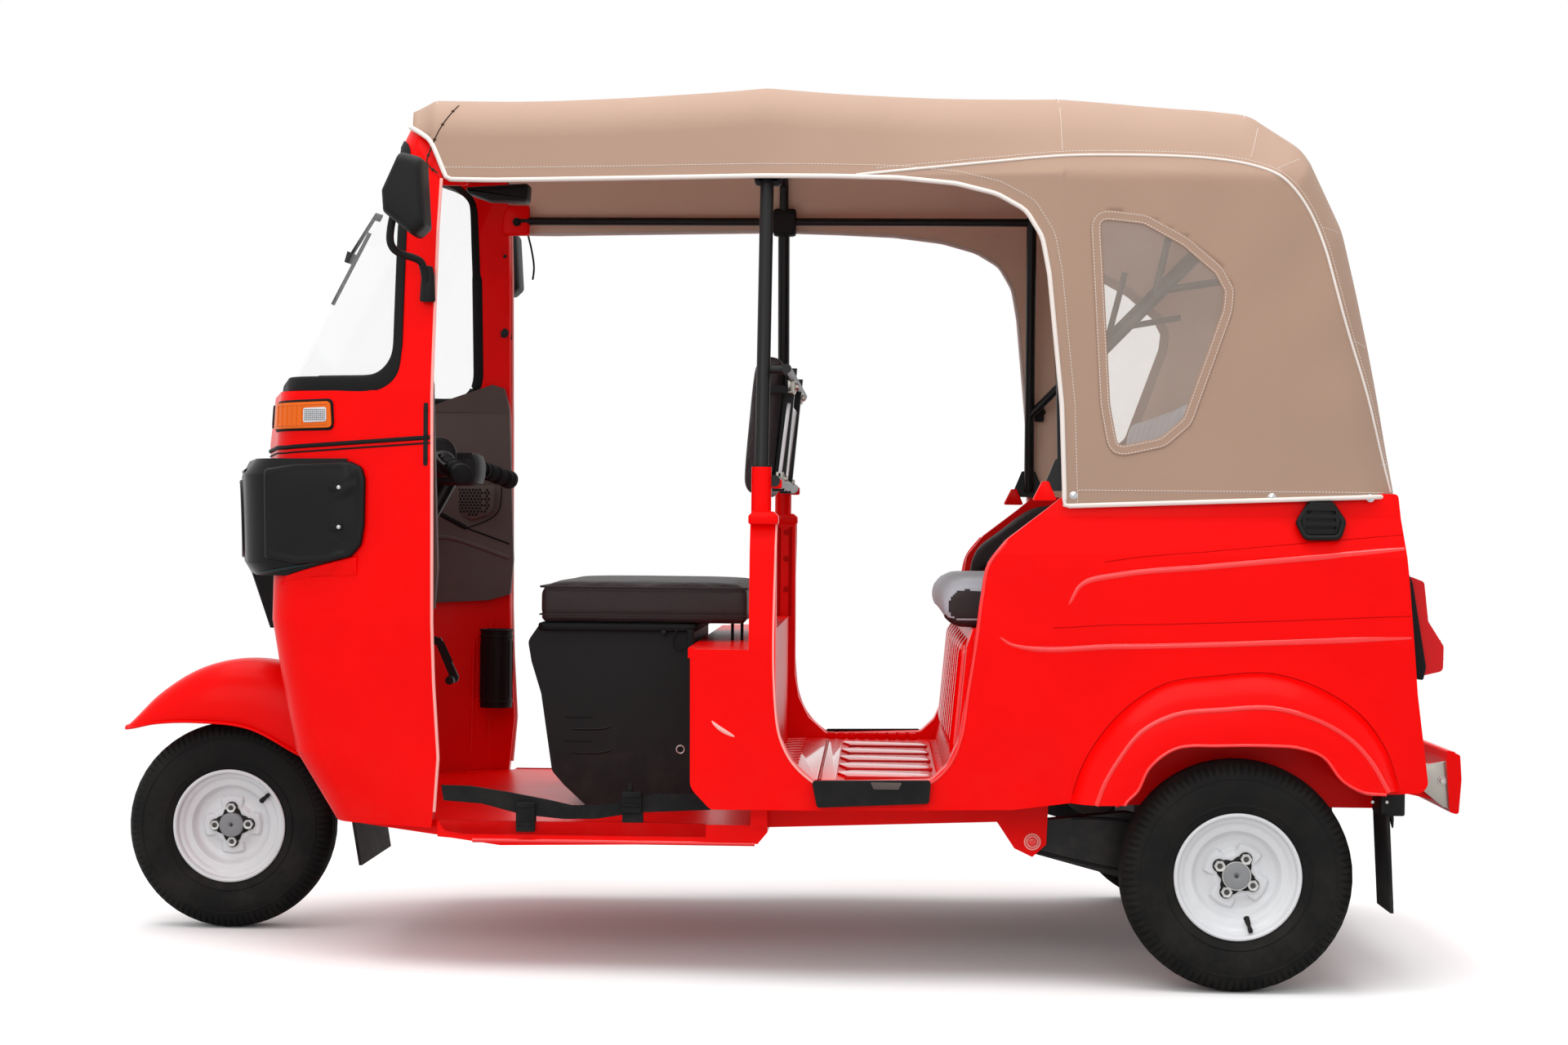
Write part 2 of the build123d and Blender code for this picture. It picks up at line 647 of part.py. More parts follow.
def hood_poles():
    """Uprights: a socketed pair behind the driver and a pair at the doorway's rear."""
    rails = hood_rails()
    post = rod((POLE_S, -565, POST_CAP_Z), (POLE_S, -565, 958), 18)
    post += rod((POLE_S, -565, 950), (POLE_S, -RAIL_Y, RAIL_Z), POLE_R)
    rear = rod((REAR_POLE_S + 6, -558, 930), (REAR_POLE_S, -RAIL_Y, RAIL_Z), 11)
    foot = side_slab(from_rear([(-360, BELT_Z), (-280, BELT_Z), (-306, 975), (-336, 975)]), -570, -560, 4)
    return mirrored(post - rails[0], (rear + foot) - rails[0])


def hood_rails():
    """Side rails from the screen header back to the rear uprights."""
    rail = rod((515, -RAIL_Y, RAIL_Z - 3), (REAR_POLE_S, -RAIL_Y, RAIL_Z), RAIL_R)
    clamp = block(POLE_S - 24, POLE_S + 24, -RAIL_Y - 14, -RAIL_Y + 18, RAIL_Z - 26, RAIL_Z + 14)
    return mirrored(rail + clamp)


def hood_bows():
    """Hoops over the cabin that hold the hood's shape."""
    bows = []
    for s, foot_z, half, shoulder_z, crown_z in (
        (POLE_S, RAIL_Z, 430, 1668, 1700),
        (REAR_POLE_S, RAIL_Z, 440, 1640, 1686),
    ):
        path = [(s, -RAIL_Y, foot_z), (s, -half, shoulder_z - 60), (s, -half + 80, shoulder_z),
                (s, half - 80, shoulder_z), (s, half, shoulder_z - 60), (s, RAIL_Y, foot_z)]
        bow = bent_tube(path, 10, 30)
        for tube in [*hood_rails(), *hood_poles()]:
            bow -= tube
        bows.append(bow)
    return bows


def hood_stays():
    """Rear hoop on its two diagonal stays, with the stays' forked ends."""
    foot, head, *forks = from_rear([
        (-321, -522, 1100), (60, -440, 1490), (-150, -485, 1275), (-115, -466, 1420), (-128, -480, 1297),
        (10, -466, 1320),
    ])
    stay = rod(foot, head, 9) + rod(*forks[:2], 7) + rod(*forks[2:], 7)
    for pole in hood_poles():
        stay -= pole
    path = from_rear([(60, -440, 1490), (80, -390, 1600), (80, 390, 1600), (60, 440, 1490)])
    hoop = bent_tube(path, 9, 30)
    return hoop + mirrored(stay)[0] + mirrored(stay)[1]


# ---------------------------------------------------------------- tail fittings
def tail_lamps():
    profile = from_rear([
        (310, 764), (328, 763), (351, 754), (359, 681), (388, 635), (387, 589), (354, 581), (323, 581),
    ])
    lamp = side_slab(profile, -530, -430, [0, 6, 8, 10, 10, 10, 8, 0])
    return mirrored(lamp - rear_slab(-600, 600, 40))


PLATE_HOLE_Y = 100.0             # half the spacing of the number plate's two holes
PLATE_HOLE_Z = 366.0
PLATE_HOLE_R = 3.5


def rear_bumper():
    rear = WHEELBASE + REAR_OVERHANG
    section = [
        (rear - 28, 433), (rear - 3, 422), (rear, 376), (rear - 5, 309), (rear - 22, 313), (rear - 29, 414),
    ]
    bar = side_slab(section, -400, 400, 5)
    wall = WHEELBASE + 330.0
    profile = [(wall, 400), (rear - 56, 402), (rear - 27, 404), (rear - 27, 330), (rear - 82, 342), (wall, 350)]
    arm = side_slab(profile, -380, -350) - rear_slab(-INNER_Y, INNER_Y, 40)
    for y in (-PLATE_HOLE_Y, PLATE_HOLE_Y):
        bar -= rod((rear - 52, y, PLATE_HOLE_Z), (rear + 28, y, PLATE_HOLE_Z), PLATE_HOLE_R)
    return bar + mirrored(arm)[0] + mirrored(arm)[1]


FLAP_PAST_TYRE = 65.0            # rear flap's outer edge out from the wheel's middle plane


def mud_flaps():
    """Rubber flaps behind each rear wheel and behind the front wheel."""
    front = side_slab([(273, COWL_BASE_Z), (279, COWL_BASE_Z), (300, 150), (294, 150)], -160, 160)
    front += block(273, HOUSE_REAR + SKIN, -140, 140, COWL_BASE_Z - 6, COWL_BASE_Z)
    face = from_rear([(264, 330), (270, 330), (279, 154), (273, 154)])
    rear = side_slab(face, -WHEEL_Y - FLAP_PAST_TYRE, -HOUSE_Y - 16)
    return [front, *mirrored(rear)]


# ---------------------------------------------------------------- running gear
ENGINE_FRONT = WHEELBASE - 150.0
ENGINE_REAR = WHEELBASE + 230.0
ENGINE_HALF = 210.0
ENGINE_LOW_Z = 190.0
ENGINE_TOP_Z = 560.0
PIVOT = (WHEELBASE - 366.0, 255.0)       # station and height of the trailing arms' pins
ARM_Y = (418.0, 462.0)
HUB_R = 30.0
BACKPLATE_Y = 500.0


def engine_block():
    return block(ENGINE_FRONT, ENGINE_REAR, -ENGINE_HALF, ENGINE_HALF, ENGINE_LOW_Z, ENGINE_TOP_Z)


def muffler():
    """Silencer across the engine's front with its pipe to the rear."""
    can_s = ENGINE_FRONT - 82.0
    can = rod((can_s, -200, 340), (can_s, 200, 340), 60)
    path = [(can_s, 190, 340), (can_s, 330, 340), (can_s + 132, 330, 262), (WHEELBASE + 330, 330, 262)]
    pipe = bent_tube(path, 16, 40)
    neck = rod((can_s, 0, 340), (ENGINE_FRONT, 0, 340), 20)
    return can + pipe + neck


def trailing_arms():
    """Pressed arms from the body's pins back to the rear hubs and their brake plates."""
    profile = from_rear([
        (-396, 262), (-366, 232), (-195, 187), (20, 183), (36, 240), (-185, 312), (-380, 290),
    ])
    arm = side_slab(profile, -ARM_Y[1], -ARM_Y[0], [14, 20, 30, 20, 20, 60, 14])
    arm += rod((WHEELBASE, -BACKPLATE_Y, TYRE_R), (WHEELBASE, -ARM_Y[0], TYRE_R), HUB_R)
    arm -= rod((PIVOT[0], -500, PIVOT[1]), (PIVOT[0], -400, PIVOT[1]), PIN_R)
    arm += rod((WHEELBASE, 5 - DRUM_FACE_Y, TYRE_R), (WHEELBASE, -BACKPLATE_Y, TYRE_R), DRUM_R + 6)
    arm += rod((WHEELBASE, SEAT_GAP - WHEEL_Y, TYRE_R), (WHEELBASE, -BACKPLATE_Y, TYRE_R), SPINDLE_R)
    return mirrored(arm)


def shock_absorbers():
    """Damper and spring units from the arms up to the seat deck."""
    damper_s = WHEELBASE - 70.0
    unit = rod((damper_s, -440, 240), (damper_s, -440, SEAT_DECK_Z - 16), 12)
    unit += rod((damper_s, -440, 320), (damper_s, -440, 580), 34)
    return [shape - arm for shape, arm in zip(mirrored(unit), trailing_arms())]


def drive_shafts():
    return mirrored(rod((WHEELBASE, -ARM_Y[0], TYRE_R), (WHEELBASE, -ENGINE_HALF, TYRE_R), 14))


BEAD_R = RIM_R - 5               # seat of the tyre's bead inside the rim's flanges
SPINDLE_R = 17.0
DRUM_R = 78.0
DRUM_DEPTH = 52.0                # from the wheel's middle plane in to the drum's open face
DRUM_FACE_Y = WHEEL_Y - DRUM_DEPTH
PIN_R = 9.0

# columns: radius, half-width out from the tyre's middle plane
TYRE_PROFILE = [
    (BEAD_R + SEAT_GAP, 43.7), (RIM_R + 1, 43.7), (RIM_R + 12, 50), (150, 56), (182, 54), (200, 46), (209, 34),
]


def tyre(station, y):
    half = [(r, w) for r, w in TYRE_PROFILE]
    points = [*[(w, r) for r, w in half], (0, TYRE_R), *[(-w, r) for r, w in reversed(half)]]
    profile = Plane(origin=(0, 0, 0), x_dir=(0, 1, 0), z_dir=(1, 0, 0)) * outline(points)
    return Pos(at(station), y, TYRE_R) * revolve(profile, axis=Axis.Y)


def rim(station, y, outward):
    """Stepped steel disc and well with the brake drum; outward is -1 or +1 along y."""
    points = [
        (-48, RIM_R), (-44, RIM_R), (-44, BEAD_R), (-24, BEAD_R), (-16, RIM_R - 18), (12, RIM_R - 18),
        (22, BEAD_R), (44, BEAD_R), (44, RIM_R), (48, RIM_R), (48, RIM_R - 8), (34, RIM_R - 10), (26, 78),
        (10, 66), (6, 40), (24, 34), (24, 0), (4, 0), (0, 60), (8, RIM_R - 26), (-18, RIM_R - 24),
        (-26, BEAD_R - 5), (-48, BEAD_R - 5),
    ]
    points = [(outward * u, v) for u, v in points]
    profile = Plane(origin=(0, 0, 0), x_dir=(0, 1, 0), z_dir=(1, 0, 0)) * outline(points)
    disc = Pos(at(station), y, TYRE_R) * revolve(profile, axis=Axis.Y)
    drum_face = y - DRUM_DEPTH * outward
    drum = rod((station, y + 8 * outward, TYRE_R), (station, drum_face, TYRE_R), DRUM_R)
    return disc + drum - rod((station, y, TYRE_R), (station, drum_face, TYRE_R), SPINDLE_R + SEAT_GAP)


# columns: station, half-width, crown z, lower edge z
FENDER_ROWS = [
    (-222, 30, 417, 411),
    (-150, 74, 486, 427),
    (-60, 92, 542, 431),
    (53, 96, 559, 419),
    (152, 94, 535, 368),
    (222, 88, 470, 330),
]


def fender_form(inset, drop):
    sections = []
    for s, w, z_crown, z_low in FENDER_ROWS:
        top = z_crown - inset
        low = z_low - drop
        half = w - inset
        shoulder = max(low + 2, top - 0.55 * half)
        points = [(-half, low), (half, low), (half, shoulder), (0.55 * half, top - 0.12 * half),
                  (-0.55 * half, top - 0.12 * half), (-half, shoulder)]
        plane = Plane(origin=(at(s), 0, 0), x_dir=(0, 1, 0), z_dir=(1, 0, 0))
        sections.append(plane * outline(points))
    return loft(sections, ruled=True)


def front_fender():
    return fender_form(0, 0) - fender_form(SKIN, 60)


FORK_Y = 118.0                   # middle plane of the one-sided leg


def front_fork():
    """Steering tube, the one-sided leg, its trailing link, damper, stub axle and brake plate."""
    tube = rod(along_steering(640), along_steering(1080), STEER_TUBE_R)
    crown = rod(along_steering(650), (205, FORK_Y, 505), 18)
    leg = rod((205, FORK_Y, 505), (118, FORK_Y, 262), 17)
    knee = rod((118, FORK_Y - 18, 262), (118, FORK_Y + 22, 262), 22)
    link = rod((118, FORK_Y, 262), (0, FORK_Y - 12, TYRE_R), 16)
    stub = rod((0, SEAT_GAP, TYRE_R), (0, FORK_Y + 6, TYRE_R), SPINDLE_R)
    plate = rod((0, DRUM_DEPTH + 5, TYRE_R), (0, DRUM_DEPTH + 14, TYRE_R), DRUM_R)
    damper = rod((44, FORK_Y + 14, 240), (180, FORK_Y + 14, 440), 15)
    stay = rod((170, 90, 430), (170, FORK_Y, 430), 8)
    return (tube + crown + leg + knee + link + stub + plate + damper + stay) - fender_form(0, 0)


def handlebar():
    """Clamp housing on the steering tube with two swept-back grips."""
    hub = Pos(at(STEER_HEAD[0]), 0, STEER_HEAD[1]) * Box(90, 120, 60)
    grip = bent_tube([(440, 0, 975), (448, -150, 975), (521, -330, 942)], 13, 30)
    grip += rod((480, -230, 960), (521, -330, 942), 17)
    bar = hub + grip + mirror(grip, about=Plane.XZ)
    return bar - rod(along_steering(900), along_steering(1080), STEER_TUBE_R)


# ---------------------------------------------------------------- the file of every node
def save(name, shapes):
    """Write one node, as one solid or several that do not touch."""
    shapes = shapes if isinstance(shapes, (list, tuple)) else [shapes]
    solids = [solid for shape in shapes for solid in shape.solids()]
    export_step(Compound(solids), f"parts/{name}.step")


NODES = {
    "front_cowl": front_cowl,
    "windscreen": windscreen,
    "windscreen_rubber": windscreen_rubber,
    "front_bulkhead": front_bulkhead,
    "headlamp_mask": headlamp_mask,
    "headlamps": headlamps,
    "turn_lamps": turn_lamps,
    "mirrors": mirrors,
    "wiper": wiper,
    "dash_trim": dash_trim,
    "brake_pedal": brake_pedal,
    "bottle_holder": bottle_holder,
    "sill_rail": sill_rail,
    "driver_floor": driver_floor,
    "driver_partition": driver_partition,
    "rear_panel": rear_panel,
    "engine_lid": engine_lid,
    "passenger_floor": passenger_floor,
    "passenger_bulkhead": passenger_bulkhead,
    "wheel_houses": wheel_houses,
    "side_vents": side_vents,
    "step_plates": step_plates,
    "side_members": side_members,
    "driver_seat_base": driver_seat_base,
    "driver_seat": driver_seat,
    "driver_backrest": driver_backrest,
    "backrest_bars": backrest_bars,
    "passenger_seat": passenger_seat,
    "passenger_backrest": passenger_backrest,
    "side_trim": side_trim,
    "hood_cover": hood_cover,
    "hood_windows": hood_windows,
    "hood_poles": hood_poles,
    "hood_rails": hood_rails,
    "hood_bows": hood_bows,
    "hood_stays": hood_stays,
    "tail_lamps": tail_lamps,
    "rear_bumper": rear_bumper,
    "mud_flaps": mud_flaps,
    "engine_block": engine_block,
    "muffler": muffler,
    "trailing_arms": trailing_arms,
    "shock_absorbers": shock_absorbers,
    "drive_shafts": drive_shafts,
    "front_fender": front_fender,
    "front_fork": front_fork,
    "handlebar": handlebar,
}

os.makedirs("parts", exist_ok=True)
for node, make in NODES.items():
    save(node, make())

left_quarter = quarter_panel()
save("left_quarter_panel", left_quarter)
save("right_quarter_panel", mirror(left_quarter, about=Plane.XZ))

# columns: node prefix, station, y, outward direction
WHEELS = [
    ("front", 0.0, 0.0, -1),
    ("rear_left", WHEELBASE, -WHEEL_Y, -1),
    ("rear_right", WHEELBASE, WHEEL_Y, 1),
]
for prefix, station, y, outward in WHEELS:
    save(f"{prefix}_tyre", tyre(station, y))
    save(f"{prefix}_rim", rim(station, y, outward))
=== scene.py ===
"""Looks of a three-wheeled auto rickshaw, built around its packed frame, in metres."""

import json
import math
from typing import NamedTuple

import bmesh
import bpy
import numpy as np
from bpy.props import FloatProperty, FloatVectorProperty, IntProperty, PointerProperty
from mathutils import Matrix, Vector
from mathutils.bvhtree import BVHTree


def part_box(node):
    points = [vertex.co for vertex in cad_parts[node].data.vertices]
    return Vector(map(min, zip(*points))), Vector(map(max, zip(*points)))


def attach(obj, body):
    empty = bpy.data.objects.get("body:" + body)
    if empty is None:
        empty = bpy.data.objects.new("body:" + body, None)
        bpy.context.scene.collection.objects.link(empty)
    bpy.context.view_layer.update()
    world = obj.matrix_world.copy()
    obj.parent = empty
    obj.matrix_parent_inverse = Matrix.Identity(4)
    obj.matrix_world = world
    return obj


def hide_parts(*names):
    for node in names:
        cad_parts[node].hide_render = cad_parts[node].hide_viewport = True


bl_info = {
    "name": "Auto Rickshaw Dresser",
    "version": (1, 0, 0),
    "blender": (4, 5, 0),
    "location": "View3D > Sidebar > Rickshaw",
    "description": "Dresses the packed rickshaw frame with its paint, hood, seats, lamps and wheels",
    "category": "Object",
}

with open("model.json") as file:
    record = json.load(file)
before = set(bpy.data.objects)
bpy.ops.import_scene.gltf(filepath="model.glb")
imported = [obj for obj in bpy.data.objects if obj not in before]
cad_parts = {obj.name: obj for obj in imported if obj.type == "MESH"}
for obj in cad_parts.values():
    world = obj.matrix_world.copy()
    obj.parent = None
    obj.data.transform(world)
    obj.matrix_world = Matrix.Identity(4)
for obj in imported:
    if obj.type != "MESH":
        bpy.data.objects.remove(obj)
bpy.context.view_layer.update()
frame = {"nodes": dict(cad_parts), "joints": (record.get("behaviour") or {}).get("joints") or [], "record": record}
NODES = frame["nodes"]
JOINTS = {joint["name"]: joint for joint in frame["joints"]}
AXLE_X, _, TYRE_R = JOINTS["front_spin"]["pos_m"]
REAR_X, NEAR_WHEEL_Y, _ = JOINTS["rear_left_spin"]["pos_m"]
WHEELBASE = (REAR_X - AXLE_X) * 1000


# ---------------------------------------------------------------- places
def place(station, y, z):
    """Points from stations behind the front axle, y and z, all in millimetres, as metres in the frame."""
    station, y, z = np.broadcast_arrays(station, y, z)
    return np.stack([AXLE_X + station / 1000, y / 1000, z / 1000], axis=-1)


def placed(points):
    """Points of (station, y, z) in millimetres, as metres in the frame."""
    return place(points[..., 0], points[..., 1], points[..., 2])


def unit(vectors):
    """Each row scaled to length 1."""
    return vectors / np.maximum(np.linalg.norm(vectors, axis=1, keepdims=True), 1e-9)


def square_to(axis):
    """The axis and two directions square to it and to each other, all of length 1."""
    axis = np.asarray(axis, float)
    axis = axis / np.linalg.norm(axis)
    side = np.cross(axis, np.eye(3)[int(np.argmin(np.abs(axis)))])
    side /= np.linalg.norm(side)
    return axis, side, np.cross(axis, side)


def full_turn(count):
    """Angles spaced evenly round a full turn, without its end."""
    return np.linspace(0, 2 * math.pi, count, endpoint=False)


def run(first, last, count):
    """Points spaced evenly from the first to the last."""
    return np.stack([np.linspace(a, b, count) for a, b in zip(first, last)], axis=-1)


def read(rows, key, width=3, kind=float):
    """One property of a mesh's rows as an array with a line for each row."""
    flat = np.empty(len(rows) * width, kind)
    rows.foreach_get(key, flat)
    return flat.reshape(-1, width)


def node_points(node):
    """Corners of a node's mesh as (station, y, z) in millimetres."""
    points = read(NODES[node].data.vertices, "co") * 1000
    points[:, 0] -= AXLE_X * 1000
    return points


def node_limits(node):
    """Lowest and highest corner of a node at rest, as (station, y, z) in millimetres."""
    low, high = (np.array(corner, float) * 1000 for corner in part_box(node))
    low[0] -= AXLE_X * 1000
    high[0] -= AXLE_X * 1000
    return low, high


def smoothstep(value, low, high):
    """0 below low, 1 above high, with an S curve 3t^2 - 2t^3 between."""
    t = np.clip((np.asarray(value, float) - low) / (high - low), 0, 1)
    return t * t * (3 - 2 * t)


def rounded(points, radii, steps=6):
    """Closed outline whose corners are arcs: each corner's arc touches both runs at r / tan(half angle)."""
    points = np.asarray(points, float)
    radii = np.broadcast_to(radii, len(points))
    before, after = np.roll(points, 1, axis=0), np.roll(points, -1, axis=0)
    out = []
    for corner, left, right, radius in zip(points, before, after, radii):
        if radius <= 0:
            out.append(corner[None])
            continue
        a, b = left - corner, right - corner
        reach_a, reach_b = np.linalg.norm(a), np.linalg.norm(b)
        a, b = a / reach_a, b / reach_b
        half = math.acos(float(np.clip(a @ b, -0.9999, 0.9999))) / 2
        cut = min(radius / math.tan(half), 0.49 * reach_a, 0.49 * reach_b)
        t = np.linspace(0, 1, steps + 1)[:, None]
        start, end = corner + a * cut, corner + b * cut
        out.append((1 - t) ** 2 * start + 2 * t * (1 - t) * corner + t ** 2 * end)
    return np.concatenate(out)


def resample(points, count, closed=False):
    """Points spaced evenly by arc length along a polyline."""
    points = np.asarray(points, float)
    if closed:
        points = np.concatenate([points, points[:1]])
    reach = np.concatenate([[0], np.cumsum(np.linalg.norm(np.diff(points, axis=0), axis=1))])
    stops = np.linspace(0, reach[-1], count + 1 if closed else count)
    line = np.stack([np.interp(stops, reach, points[:, k]) for k in range(points.shape[1])], axis=-1)
    return line[:-1] if closed else line


def eased(points, rounds=2, closed=False):
    """Polyline whose corners are cut at a quarter and three quarters of each run, so it turns smoothly."""
    points = np.asarray(points, float)
    for _ in range(rounds):
        nexts = np.roll(points, -1, axis=0) if closed else points[1:]
        firsts = points if closed else points[:-1]
        pairs = np.stack([0.75 * firsts + 0.25 * nexts, 0.25 * firsts + 0.75 * nexts], axis=1)
        cut = pairs.reshape(-1, points.shape[1])
        points = cut if closed else np.concatenate([points[:1], cut[1:-1], points[-1:]])
    return points


# ---------------------------------------------------------------- mesh makers
def add_mesh(name, verts, faces, material, body="body", smooth=True):
    """Links a mesh object at the origin and lets it ride on a body of the frame."""
    mesh = bpy.data.meshes.new(name)
    mesh.from_pydata(np.asarray(verts, float).reshape(-1, 3).tolist(), [], [list(f) for f in faces])
    mesh.polygons.foreach_set("use_smooth", np.full(len(mesh.polygons), smooth))
    mesh.materials.append(material)
    mesh.update()
    piece = bpy.data.objects.new(name, mesh)
    bpy.context.scene.collection.objects.link(piece)
    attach(piece, body)
    return piece


def grid_faces(rows, columns, wrap_rows=False, wrap_columns=False, start=0):
    """Quads of a grid whose vertex (i, j) has the number start + i * columns + j."""
    i = np.arange(rows if wrap_rows else rows - 1)
    j = np.arange(columns if wrap_columns else columns - 1)
    i, j = np.meshgrid(i, j, indexing="ij")
    i_next, j_next = (i + 1) % rows, (j + 1) % columns
    corners = [i * columns + j, i_next * columns + j, i_next * columns + j_next, i * columns + j_next]
    return (np.stack(corners, axis=-1).reshape(-1, 4) + start).tolist()


def signed_volume(verts, faces):
    """Sum of the tetrahedra from the origin to each face's fan; negative when faces point inwards."""
    total = 0.0
    by_size = {}
    for face in faces:
        by_size.setdefault(len(face), []).append(face)
    for size, group in by_size.items():
        corners = verts[np.array(group)]
        for k in range(1, size - 1):
            cross = np.cross(corners[:, k], corners[:, k + 1])
            total += np.einsum("ij,ij->", corners[:, 0], cross)
    return total


class Solid:
    """Gathers closed shells that share one material into one piece."""

    def __init__(self):
        self.verts = []
        self.faces = []
        self.count = 0

    def add(self, verts, faces):
        """Adds a closed shell, turned so that its faces point outwards."""
        verts = np.asarray(verts, float).reshape(-1, 3)
        middle = verts.mean(axis=0)
        if signed_volume(verts - middle, faces) < 0:
            faces = [face[::-1] for face in faces]
        self.verts.append(verts)
        self.faces.extend([[index + self.count for index in face] for face in faces])
        self.count += len(verts)
        return self

    def loft(self, rings, capped=True):
        """Shell through closed rings of equal length, its first and last ring closed by flat faces."""
        rings = np.asarray(rings, float)
        rows, columns = rings.shape[:2]
        faces = grid_faces(rows, columns, wrap_columns=True)
        if capped:
            faces.append(list(range(columns)))
            faces.append(list(range((rows - 1) * columns, rows * columns))[::-1])
        return self.add(rings.reshape(-1, 3), faces)

    def prism(self, outline, low, high, to_place, bevel=1.0):
        """Outline carried from low to high; the bevel draws its two rims in along its normals."""
        outline = np.asarray(outline, float)
        along = np.roll(outline, -1, axis=0) - np.roll(outline, 1, axis=0)
        normal = np.stack([along[:, 1], -along[:, 0]], axis=-1)
        normal = unit(normal)
        area = np.sum(outline[:, 0] * np.roll(outline[:, 1], -1) - np.roll(outline[:, 0], -1) * outline[:, 1])
        normal *= 1 if area > 0 else -1
        rings = []
        for depth, draw in ((low, 1), (low + bevel * 0.3, 0.3), (low + bevel, 0),
                            (high - bevel, 0), (high - bevel * 0.3, 0.3), (high, 1)):
            flat = outline - normal * bevel * draw
            rings.append(to_place(flat[:, 0], flat[:, 1], np.full(len(flat), float(depth))))
        return self.loft(rings)

    def tube(self, path, radius, sides=10, closed=False):
        """Circle carried along a path of (station, y, z); its frame turns with the path's tangent."""
        path = np.asarray(path, float)
        if closed:
            tangent = np.roll(path, -1, axis=0) - np.roll(path, 1, axis=0)
        else:
            tangent = np.gradient(path, axis=0)
        tangent = unit(tangent)
        side = unit(np.cross(tangent, np.eye(3)[int(np.argmin(np.abs(tangent).mean(axis=0)))]))
        top = np.cross(side, tangent)
        radius = np.broadcast_to(radius, len(path))[:, None, None]
        points = placed(path[:, None] + radius * spokes(side, top, sides))
        if closed:
            return self.add(points, grid_faces(len(path), sides, wrap_rows=True, wrap_columns=True))
        return self.loft(points)

    def hoop(self, centre, reach, radius, flat=1, count=40):
        """Closed tube of a radius round a circle of a reach; flat is the coordinate that the circle keeps."""
        turn, path = full_turn(count), np.tile(np.asarray(centre, float), (count, 1))
        first, second = (k for k in range(3) if k != flat)
        path[:, first] += reach * np.cos(turn)
        path[:, second] += reach * np.sin(turn)
        return self.tube(path, radius, sides=8, closed=True)

    def turned(self, profile, origin, axis, sides=32):
        """Profile of (radius, distance along the axis) turned about a (station, y, z) axis."""
        profile = np.asarray(profile, float)
        axis, side, top = square_to(axis)
        turn = full_turn(sides)
        spoke = np.cos(turn)[:, None] * side + np.sin(turn)[:, None] * top
        along, out = profile[:, 1, None, None] * axis, profile[:, 0, None, None] * spoke[None]
        return self.loft(placed(np.asarray(origin, float) + along + out))

    def block(self, low, high, bevel=1.5):
        """Box between two (station, y, z) corners with a small bevel round its vertical-plane rims."""
        (s0, y0, z0), (s1, y1, z1) = low, high
        outline = rounded([(s0, z0), (s1, z0), (s1, z1), (s0, z1)], bevel, 2)
        return self.prism(outline, y0, y1, side_view, bevel=min(bevel, (y1 - y0) / 3))

    def mirror(self):
        """Adds the mirror image at the other side of the vehicle."""
        verts = np.concatenate(self.verts) * (1, -1, 1)
        faces = [face[::-1] for face in self.faces]
        self.faces.extend([[index + self.count for index in face] for face in faces])
        self.verts.append(verts)
        self.count *= 2
        return self

    def finish(self, name, look, body="body"):
        """Makes the gathered shells one piece with the finish of that name, on a body of the frame."""
        piece = add_mesh(name, np.concatenate(self.verts), self.faces, material(look), body)
        soften(piece)
        return piece


def soften(piece, angle=40.0):
    """Marks edges sharp where neighbouring faces turn by more than the angle."""
    piece.data.set_sharp_from_angle(angle=math.radians(angle))


def side_view(u, v, depth):
    """(station, z) outline carried along y."""
    return place(u, depth, v)


def front_view(u, v, depth):
    """(y, z) outline carried along the stations."""
    return place(depth, u, v)


def plan_view(u, v, depth):
    """(station, y) outline carried along z."""
    return place(u, v, depth)


def spokes(side, top, count):
    """Directions round the circle of every row: cos(turn) times its side plus sin(turn) times its top."""
    turn = full_turn(count)[None, :, None]
    return np.cos(turn) * side[:, None] + np.sin(turn) * top[:, None]


SPINDLE_SIDES = 5


def stitches(solid, path, pitch=6.0, length=4.2, radius=0.7):
    """Row of small spindles along a path of (station, y, z), thin at both ends."""
    path = np.asarray(path, float)
    reach = float(np.linalg.norm(np.diff(path, axis=0), axis=1).sum())
    count = max(2, int(reach / pitch))
    line = resample(path, count + 1)
    along = unit(np.diff(line, axis=0))
    middle = 0.5 * (line[:-1] + line[1:])
    side = unit(np.cross(along, np.eye(3)[int(np.argmin(np.abs(along).mean(axis=0)))]))
    top = np.cross(side, along)
    ring = spokes(side, top, SPINDLE_SIDES)
    offsets, scales = np.array([-0.5, -0.3, 0.3, 0.5]) * length, np.array([0.35, 1, 1, 0.35]) * radius
    points = middle[:, None, None] + offsets[None, :, None, None] * along[:, None, None]
    points = placed(points + scales[None, :, None, None] * ring[:, None])
    rows, corners = len(offsets), len(offsets) * SPINDLE_SIDES
    quads = np.array(grid_faces(rows, SPINDLE_SIDES, wrap_columns=True))
    first = corners * np.arange(count)[:, None, None]
    many = (quads[None] + first).reshape(-1, 4).tolist()
    caps = np.array([range(SPINDLE_SIDES)[::-1], range(corners - SPINDLE_SIDES, corners)])
    many += (caps[None] + first).reshape(-1, SPINDLE_SIDES).tolist()
    sample = points[0].reshape(-1, 3)
    if signed_volume(sample - sample.mean(axis=0), quads.tolist()) < 0:
        many = [face[::-1] for face in many]
    solid.verts.append(points.reshape(-1, 3))
    solid.faces.extend([[index + solid.count for index in face] for face in many])
    solid.count += count * corners
    return solid


